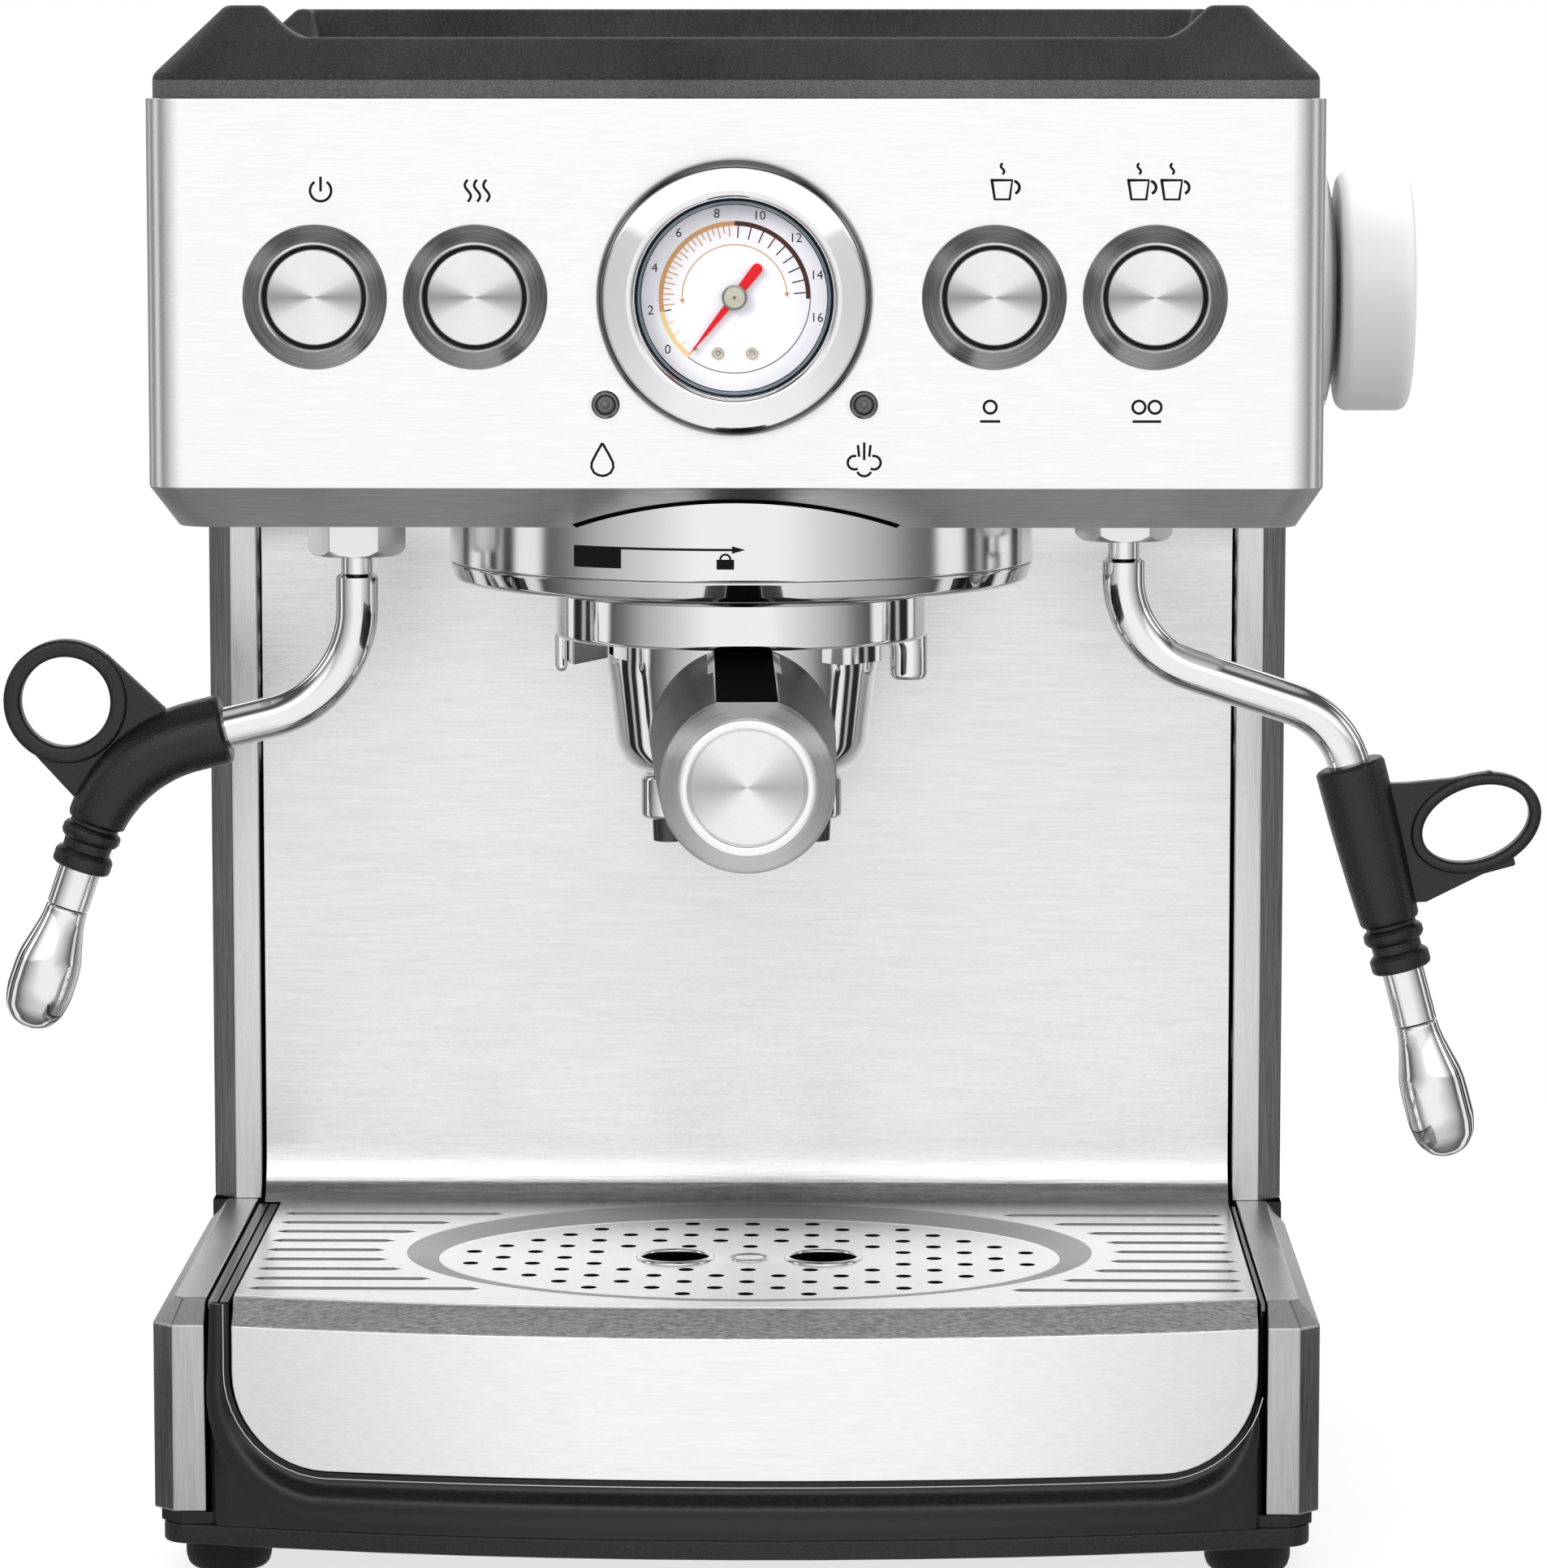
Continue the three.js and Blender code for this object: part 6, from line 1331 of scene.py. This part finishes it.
# %% Where the grip thickens and thins
RIBS = [
    (0.65, -0.4), (1.17, -1.15), (1.95, -1.15), (2.47, -0.4), (3.12, 0.05), (4.55, 0.1),
    (5.46, -0.4), (6.11, -1.25), (8.19, -1.3), (8.84, -0.5), (9.62, 0.05), (11.96, 0.05),
    (12.61, -0.2), (13, -0.8),
]


def grip_stations(start, length, top, foot):
    """A plain body that narrows from its top to its foot, a waist and three ribs."""
    plain = length - RIBS[-1][0]
    run = [(start, top - 1.2), (start + 0.3, top - 0.5), (start + 1.0, top)]
    shares = (i / 24 for i in range(2, 25))
    run += [(start + plain * t, top + (foot - top) * t ** 2) for t in shares]
    return run + [(start + plain + along, foot + out) for along, out in RIBS]


# %% Measures of the two wands
BALL_OUT, BALL_BACK, BALL_REACH = 94.6, 60.0, 6.5
TUBE, LOOP_THICK = 5.2, 3.0
WANDS = {
    "left": dict(
        side=-1, route=[(0, -11.3), (0, -41.8), (59.8, -56.6), (72.6, -94.2)], bends=(28, 36),
        grip=(57.5, 54.5, 8.7, 7.3), nozzle=32,
        loop=(72.4, -43.2), hole=(11.1, 11.1), tilt=0, band=4.3,
        web=[(62.4, -31.3), (46.4, -46.3), (51.4, -54.8), (62.4, -66.8), (69.3, -68.3),
             (84.9, -51.3)],
    ),
    "right": dict(
        side=1, route=[(0, -11.3), (0, -33.4), (53.1, -51.1), (73.3, -126.6)], bends=(24, 22),
        grip=(83, 53, 8.7, 7.4), nozzle=34.5,
        loop=(87.4, -76.9), hole=(13.6, 9), tilt=20, band=3.02,
        web=[(63.4, -67.1), (70.4, -66.9), (81.4, -65.8), (91.4, -63.8), (97.4, -87.3),
             (89.4, -89.5), (75.4, -96.5), (69.4, -96.8)],
    ),
}


# %% A wand's tube, grip and nozzle
def make_tube(line, ball):
    """The tube with the stem and the ball that it turns on."""
    total = sum((b - a).length for a, b in zip(line, line[1:]))
    stations = [(0, TUBE - 1), (0.9, TUBE)] + [(total * i / 90, TUBE) for i in range(1, 91)]
    stem = turned([(0, -12.5), (3.9, -12.5), (3.9, -5), (0, -5)], "Z", ball, 48)
    globe = bmesh.new()
    bmesh.ops.create_uvsphere(globe, u_segments=48, v_segments=24, radius=BALL_REACH)
    return together(sleeve(line, stations, ball), stem, moved(globe, ball)), total


def make_grip(wand, line, ball):
    """The sleeve over the tube, the finger ring and the web between them."""
    way, (half_x, half_z) = wand["side"], wand["hole"]
    middle_x, middle_z = ball.x + way * wand["loop"][0], ball.z + wand["loop"][1]
    lean = way * math.radians(wand["tilt"])

    def leaned(x, z):
        """A point of the upright ring, once the ring leans."""
        return (middle_x + x * math.cos(lean) - z * math.sin(lean),
                middle_z + x * math.sin(lean) + z * math.cos(lean))

    rounded = eased([(0, -LOOP_THICK), (wand["band"], -LOOP_THICK), (wand["band"], LOOP_THICK),
                     (0, LOOP_THICK)], 1.4, 4, closed=True)
    rings = []
    for cos, sin in arc_points(1, 1, 96):
        ring = []
        for out, deep in rounded:
            x, z = leaned((half_x + out) * cos, (half_z + out) * sin)
            ring.append((x, ball.y + deep, z))
        rings.append(ring)
    loop = bridged(rings, ends=False)
    outline = [(ball.x + way * x, ball.z + z) for x, z in wand["web"]]
    web = pressed(outline, "Y", ball.y - LOOP_THICK + 1, ball.y + LOOP_THICK - 1, 0.5, 2)
    finger = [leaned(x, z) for x, z in arc_points(half_x + 0.6, half_z + 0.6, 64)[:-1]]
    web = carved(web, pressed(finger, "Y", ball.y - 9, ball.y + 9))
    return together(sleeve(line, grip_stations(*wand["grip"]), ball), loop, web)


def make_nozzle(long, end, heading, ball):
    """A turned tip on the line's end, pointing the way the line does."""
    profile = [(0, 0), (TUBE, 0), (5.25, -2), (5.7, -5), (7.0, -10), (7.9, -13.4), (8.2, -16.5),
               (8.2, 9.2 - long), (7.2, 4.5 - long), (4.6, 1.2 - long), (1.2, -long), (0, -long)]
    nozzle = turned(eased(profile, 1.5), "Z", (0, 0, 0), 72)
    swung(nozzle, math.degrees(math.atan2(-heading.x, -heading.y)), "Y")
    start = end + heading * 0.3
    return moved(nozzle, ball + Vector((start.x, 0, start.y)))


# %% Both wands
for name, wand in WANDS.items():
    way = wand["side"]
    ball = Vector((way * BALL_OUT, BALL_BACK, span(f"wand_tube_{name}")[1].z - BALL_REACH))
    line = [Vector((way * p.x, p.y)) for p in bent_line(wand["route"], wand["bends"])]
    tube, total = make_tube(line, ball)
    settle(tube, f"wand_{name}_tube", f"wand_tube_{name}", chrome, crease=40)
    grip = make_grip(wand, line, ball)
    settle(grip, f"wand_{name}_grip", f"wand_grip_{name}", grip_black, crease=32)
    nozzle = make_nozzle(wand["nozzle"], *along_line(line, total), ball)
    settle(nozzle, f"wand_{name}_nozzle", f"wand_nozzle_{name}", chrome, crease=40)
    settle(refined(f"wand_nut_{name}", 0.35), f"wand_{name}_nut", f"wand_nut_{name}", satin_chrome)

# %% [markdown]
# ## The drip plate
#
# A thin steel plate with an oval dish pressed into it. The dish's floor is drilled on a
# staggered grid, with two finger holes whose edges are turned up into rims and a small
# dimple in the middle. Beside the dish, short pointed grooves run in from each side.
# The plate's outline is pressed first, the dish is cut as a lofted bowl, and each round
# hole is one thin cutter.

# %% Plate
FRONT_BOW, SHEET, DISH_DEEP = 560, 1.2, 1.8
LIP_FRONT = -9.9  # the plate's flat part starts here
plate_top, plate_mid = plate_high.z, (plate_low.x + plate_high.x) / 2
half_plate = (plate_high.x - plate_low.x) / 2
dish_y = (LIP_FRONT + plate_high.y) / 2
floor_z = plate_top - DISH_DEEP


def bow_line(half, lead, count=48):
    """The bowed front edge, from left to right."""
    places = (-half + 2 * half * i / count for i in range(count + 1))
    return [(x, lead + FRONT_BOW - math.sqrt(FRONT_BOW ** 2 - x * x)) for x in places]


def ellipse(half_x, half_y, z):
    return [(x, dish_y + y, z) for x, y in arc_points(half_x, half_y, 120)[:-1]]


outline = bow_line(half_plate, plate_low.y)
outline += [(half_plate, plate_high.y), (-half_plate, plate_high.y)]
sheet_top = pressed(outline, "Z", plate_top - SHEET, plate_top, 0.3, 2)
under = bridged([ellipse(78, 54.5, floor_z - SHEET), ellipse(86.5, 66.5, plate_top - 0.6)])
dish = bridged([
    ellipse(76.4, 52.9, floor_z), ellipse(77.6, 54.1, floor_z + 0.1),
    ellipse(84.6, 64.6, plate_top - 0.12), ellipse(85.6, 65.6, plate_top),
    ellipse(87.5, 67.5, plate_top + 1),
])
print("dish floor at", round(floor_z, 2), "mm")

# %% Drain holes and finger holes
FINGER_X, FINGER_R, DRAIN_R = 18.5, 8.5, 2.0
GRID_X, GRID_Y = 7.7, 7.8
DRAINED_X, DRAINED_Y = 75, 51.5


def drain_places():
    """Every other place of a grid, inside the dish and clear of the finger holes."""
    places = []
    for i in range(-10, 11):
        for j in range(-7, 8):
            x, y = i * GRID_X, j * GRID_Y
            inside = (x / DRAINED_X) ** 2 + (y / DRAINED_Y) ** 2 < 0.97
            near = math.hypot(abs(x) - FINGER_X, y) < 13.5 or math.hypot(x, y) < 9.5
            if (i + j) % 2 == 0 and inside and not near:
                places.append((x, y))
    return places


def peg(x, y, radius, high, points=20):
    circle = [(x + a, y + b) for a, b in arc_points(radius, radius, points)[:-1]]
    return pressed(circle, "Z", floor_z - 4, floor_z + high)


drains = [peg(x, dish_y + y, DRAIN_R, 2) for x, y in drain_places()]
fingers = [peg(x, dish_y, FINGER_R, 3, 64) for x in (-FINGER_X, FINGER_X)]
plate_body = carved(carved(sheet_top, under, way="UNION"), dish)
plate_body = carved(plate_body, together(*drains, *fingers))
print(len(drains), "drain holes")
RIM = [(8.3, -0.9), (9.9, -0.9), (9.9, 0.25), (9.3, 0.75), (8.7, 0.75), (8.3, 0.3)]
DIMPLE = [(0, -0.1), (3.2, -0.05), (4.6, 0.3), (5.0, 0.15), (5.2, -0.3), (0, -0.4)]
rims = [turned(eased(RIM, 0.3, 3, closed=True), "Z", (x, dish_y, floor_z), 72)
        for x in (-FINGER_X, FINGER_X)]
dimple = turned(eased(DIMPLE, 0.3, 3), "Z", (0, dish_y, floor_z + 0.15), 64)


# %% Grooves beside the dish
GROOVES, GROOVE_PITCH, GROOVE_HALF, POINT = 9, 12.6, 1.9, 2.56
grooves = []
for i in range(GROOVES):
    y = (i - GROOVES // 2) * GROOVE_PITCH
    start = 91.5 * math.sqrt(max(1 - (abs(y) / 71.5) ** 2, 0.3)) - 0.6
    end = half_plate - 2.4
    outline = [(start, y), (start + POINT, y - GROOVE_HALF), (end - POINT, y - GROOVE_HALF),
               (end, y), (end - POINT, y + GROOVE_HALF), (start + POINT, y + GROOVE_HALF)]
    for way in (1, -1):
        grooves.append(bridged([[(way * x, dish_y + at, z) for x, at in outline]
                                for z in (plate_top - 0.8, plate_top + 0.2)]))
plate_body = carved(plate_body, together(*grooves))
plate_all = moved(together(plate_body, *rims, dimple), (plate_mid, 0, 0))
plate = settle(plate_all, "plate_pressed", "tray_plate", plate_steel, crease=28)


# %% The plate's slopes, holes and rims, with painted shade on the slopes, grooves and hole walls
def from_dish(place):
    """Where a place lies in the dish: 1 on its outer edge."""
    return math.hypot((place.x - plate_mid) / 85.6, (place.y - dish_y) / 65.6)


def on_dish_slope(place, way):
    return (from_dish(place) < 1.01 and 0.9 < way.z < 0.997
            and floor_z + 0.2 < place.z < plate_top)


def in_groove(place, way):
    within = abs(place.x - plate_mid) < half_plate - 1.5 and abs(place.y - dish_y) < 56
    return (from_dish(place) > 1.02 and way.z < 0.97 and within
            and plate_top - 0.75 < place.z < plate_top - 0.1)


# the dish's slope and the grooves' walls get painted shade
repaint(plate, shaded_dish_steel, on_dish_slope)
repaint(plate, shaded_dish_steel, in_groove)
# the drain holes' walls get painted shade
repaint(plate, shadow_black, lambda place, way:
        abs(way.z) < 0.2 and from_dish(place) < 0.93 and place.z < floor_z)
repaint(plate, chrome, lambda place, way: place.z > floor_z + 0.02
        and math.hypot(abs(place.x - plate_mid) - FINGER_X, place.y - dish_y) < 10.1)

# %% [markdown]
# ## Printed marks
#
# Small plain symbols are printed over the buttons and lamps, so that a reader knows what each
# one does without a word: a ring with a stroke for power, three wavy lines for steam, one
# cup, two cups, a drop and a small cloud. Each is a set of thin strokes lying on the steel.

# %% Strokes
INK_WIDE, INK_FINE, INK_THICK = 0.62, 0.6, 0.05


def stroke(points, wide=INK_WIDE):
    """A thin flat line through the points with square ends."""
    left, right = [], []
    line = [Vector(p) for p in points]
    for before, here, after in zip(line[:1] + line, line, line[1:] + line[-1:]):
        way = (after - before).normalized()
        across = Vector((-way.y, way.x)) * wide / 2
        left.append(tuple(here + across))
        right.append(tuple(here - across))
    return pressed(left + right[::-1], "Z", 0, INK_THICK)


def circle_run(x, z, radius, start=0.0, end=360.0, count=32):
    return [(x + a, z + b) for a, b in arc_points(radius, radius, count, start, end)]


def wave(x, z, long, swing=0.7, count=20):
    shares = (i / count for i in range(count + 1))
    return [(x + swing * math.sin(t * 2 * math.pi), z + long * (t - 0.5)) for t in shares]


def cup_mark(x, z=337.6):
    """A small cup with its ear and a wisp of steam."""
    cup = [(-2.5, 1.9), (-1.8, -2.6), (1.7, -2.6), (2.3, 1.9), (-2.8, 1.9)]
    return [stroke([(x + a, z + b) for a, b in cup], 0.7),
            stroke(circle_run(x + 2.5, z + 0.2, 1.5, -70, 80, 12), 0.7),
            stroke(wave(x, z + 4.6, 2.6, 0.4), INK_FINE)]


# %% Marks on the head's front
MARK_Z, COUNT_Z, LINE_Z = 337, 286, 282.6
POWER_X, STEAM_X, DROP_X, CLOUD_X = -97.8, -60.8, -31.4, 30.7
half_drop = [(0, 277.4), (1.5, 274.8), (2.5, 272.8), (2.6, 271.6), (2.0, 270.4), (1.0, 269.8)]
drop = [(DROP_X - x, z) for x, z in half_drop] + [(DROP_X, 269.6)]
drop += [(DROP_X + x, z) for x, z in half_drop[::-1]]
puffs = [circle_run(CLOUD_X - 2.3, 272.8, 1.6, 75, 300, 18),
         circle_run(CLOUD_X + 2.3, 272.8, 1.6, -120, 105, 18),
         circle_run(CLOUD_X, 271.4, 1.8, 205, 335, 14)]
jets = [[(CLOUD_X, 277.6), (CLOUD_X, 273.4)]]
jets += [[(CLOUD_X + side * 1.5, 277.0), (CLOUD_X + side * 1.2, 274.2)] for side in (-1, 1)]
MARKS = {
    "mark_power": [stroke(circle_run(POWER_X, MARK_Z, 2.5, 125, 415)),
                   stroke([(POWER_X, 336.8), (POWER_X, 340.3)])],
    "mark_steam": [stroke(wave(STEAM_X + dx, MARK_Z, 5.2)) for dx in (-2.2, 0, 2.2)],
    "mark_one_cup": cup_mark(63.2),
    "mark_two_cup": cup_mark(95.4) + cup_mark(103.2),
    "mark_drop": [stroke(drop, INK_FINE)],
    "mark_cloud": [stroke(line, INK_FINE) for line in puffs + jets],
    "mark_single": [stroke(circle_run(60.5, COUNT_Z, 1.5)),
                    stroke([(58.1, LINE_Z), (62.9, LINE_Z)])],
    "mark_double": [stroke(circle_run(x, COUNT_Z, 1.5)) for x in (95.7, 99.5)]
                   + [stroke([(94.2, LINE_Z), (101, LINE_Z)])],
}
for name, shapes in MARKS.items():
    settle(on_face(together(*shapes), (0, 0), 0.0), name, "head_shell", ink_dark, replace=False)


# %% Marks bent round the collar
def on_collar(shape):
    """Stand a flat drawing up and wrap it on the front of the collar."""
    for vert in swung(shape, 90, "X").verts:
        reach, turn = COLLAR_OUT - vert.co.y, vert.co.x / COLLAR_OUT
        vert.co = group + Vector((reach * math.sin(turn), -reach * math.cos(turn), vert.co.z))
    return shape


def finely(start, end, z, count=14):
    """A level run of many points, so that it bends smoothly."""
    return [(start + (end - start) * i / count, z) for i in range(count + 1)]


block_mark = [stroke(finely(-41.2, -28.2, 249.2), 5.2)]
arrow = [stroke(finely(-29.0, -0.4, 251.5, 30), INK_FINE),
         plate_of([(-0.8, 250.6), (2.4, 251.5), (-0.8, 252.4)], INK_THICK)]
padlock = [stroke(finely(-4.5, -0.3, 248.0), 2.4),
           stroke(circle_run(-2.4, 249.2, 1.2, 0, 180, 14), 0.5)]
for name, shapes in (("mark_insert", block_mark), ("mark_turn", arrow), ("mark_locked", padlock)):
    settle(on_collar(together(*shapes)), name, "group_collar", ink_dark, replace=False)

# %% [markdown]
# ## The room it stands in
#
# Metal shows what is round it more than it shows itself, so the room matters as much as the
# finishes. The floor and the far wall are white. The world that polished parts mirror has
# broad white, grey and dark bands round the horizon, which give chrome its dark edges and
# bright middles. Three large soft lamps give the shapes their shading.

# %% Bands that polished parts mirror
BANDS = [  # degrees from straight ahead, brightness
    (0, 1.0), (16, 1.0), (32, 0.76), (56, 0.46), (70, 0.2), (80, 0.1), (84, 0.92), (96, 0.92),
    (99, 0.02), (104, 0.02), (106, 0.5), (108, 0.5), (110, 0.02), (119, 0.02), (122, 0.9),
    (130, 0.9), (134, 0.04), (144, 0.06), (152, 0.5), (180, 0.8),
]


def studio_bands(tree, across, away):
    """Brightness by direction round the object: across is X, away is the distance behind."""
    turn = work(tree, "ABSOLUTE", work(tree, "ARCTAN2", across, work(tree, "MULTIPLY", away, -1.0)))
    made = add(tree, "ShaderNodeValToRGB")
    feed(tree, made.inputs[0], work(tree, "DIVIDE", turn, math.pi))
    elements = made.color_ramp.elements
    elements[0].position, elements[1].position = 0.0, 1.0
    for degrees, value in BANDS[1:-1]:
        elements.new(degrees / 180)
    for element, (degrees, value) in zip(elements, BANDS):
        element.position, element.color = degrees / 180, (value, value, value, 1)
    return made.outputs[0]


def split(tree, vector):
    parts = add(tree, "ShaderNodeSeparateXYZ")
    feed(tree, parts.inputs[0], vector)
    return parts.outputs


# %% The world
DAYLIGHT, WHITE = (0.62, 0.62, 0.63, 1), (1.0, 1.0, 1.0, 1)
world = bpy.data.worlds.new("studio")
bpy.context.scene.world = world
tree = blank(world)
ray = add(tree, "ShaderNodeLightPath").outputs
parts = split(tree, add(tree, "ShaderNodeTexCoord").outputs["Generated"])
level = studio_bands(tree, parts[0], parts[1])
overhead = ranged(tree, parts[2], 0.84, 0.93, 0.09, 0.62)
mirrored = mixed_colour(tree, ranged(tree, parts[2], 0.6, 0.72, 0.0, 1.0), level, overhead)
plain = mixed_colour(tree, ray["Is Diffuse Ray"], mirrored, DAYLIGHT)
glow = add(tree, "ShaderNodeBackground")
feed(tree, glow.inputs["Color"], mixed_colour(tree, ray["Is Camera Ray"], plain, WHITE))
softbox = work(tree, "MULTIPLY", ranged(tree, parts[2], 0.26, 0.32, 0.0, 0.9),
               ranged(tree, parts[2], 0.54, 0.6, 1.0, 0.0))
feed(tree, glow.inputs["Strength"], work(tree, "MULTIPLY_ADD", softbox, ray["Is Glossy Ray"], 1.0))
feed(tree, add(tree, "ShaderNodeOutputWorld").inputs["Surface"], glow.outputs[0])
print("world made")

# %% Floor
FLOOR_HALF = 14.0  # metres
shape = bmesh.new()
bmesh.ops.create_grid(shape, x_segments=1, y_segments=1, size=FLOOR_HALF)
mesh = bpy.data.meshes.new("floor")
shape.to_mesh(mesh)
shape.free()
floor = placed("floor", mesh)
print("floor", 2 * FLOOR_HALF, "m wide")


# %% The floor's paper, as each kind of ray sees it
def glowing(tree, colour, strength=1.0):
    made = add(tree, "ShaderNodeEmission")
    feed(tree, made.inputs["Color"], colour)
    feed(tree, made.inputs["Strength"], strength)
    return made.outputs[0]


paper = bpy.data.materials.new("floor_paper")
tree = blank(paper)
place = add(tree, "ShaderNodeTexCoord").outputs["Object"]
parts = split(tree, place)
ray = add(tree, "ShaderNodeLightPath").outputs
matt = add(tree, "ShaderNodeBsdfDiffuse")
fibre = noise(tree, place, 300.0, 3.0, 0.6)
feed(tree, matt.inputs["Color"], between(tree, fibre, 0.3, 0.7, grey(0.33), grey(0.35)))
near_paper = add(tree, "ShaderNodeAddShader")
feed(tree, near_paper.inputs[0], matt.outputs[0])
feed(tree, near_paper.inputs[1], glowing(tree, (0.74, 0.74, 0.74, 1)))
distance = far_off(tree, parts[0], parts[1])
far_share = ranged(tree, distance, 0.3, 0.7, 0.0, 1.0)
seen = mixed_shader(tree, far_share, near_paper.outputs[0], glowing(tree, WHITE))
lit = mixed_shader(tree, ray["Is Diffuse Ray"], seen, matt.outputs[0])
banded = glowing(tree, studio_bands(tree, parts[0], parts[1]),
                 ranged(tree, distance, 0.2, 0.34, 0.9, 1.0))
for_metal = mixed_shader(tree, ray["Is Glossy Ray"], lit, banded)
feed(tree, add(tree, "ShaderNodeOutputMaterial").inputs["Surface"], for_metal)
floor.data.materials.append(paper)
print("floor paper made")


# %% Lamps
def lamp(name, place, wide, tall, power):
    """A soft lamp that lights the object and isn't mirrored in it."""
    data = bpy.data.lights.new(name, "AREA")
    data.shape, data.size, data.size_y, data.energy = "RECTANGLE", wide, tall, power
    made = placed(name, data)
    made.location = place
    aim = Vector((0, 0, 0.2)) - Vector(place)
    made.rotation_euler = aim.to_track_quat("-Z", "Y").to_euler()
    made.visible_glossy = False


lamp("key_left", (-1.5, -1.5, 1.5), 1.2, 1.2, 22)
lamp("fill_right", (1.7, -1.2, 0.9), 0.9, 1.2, 9)
lamp("top_soft", (0, 0.1, 1.8), 1.6, 1.6, 20)
bpy.context.scene.view_settings.view_transform = "Standard"
print("lamps made")
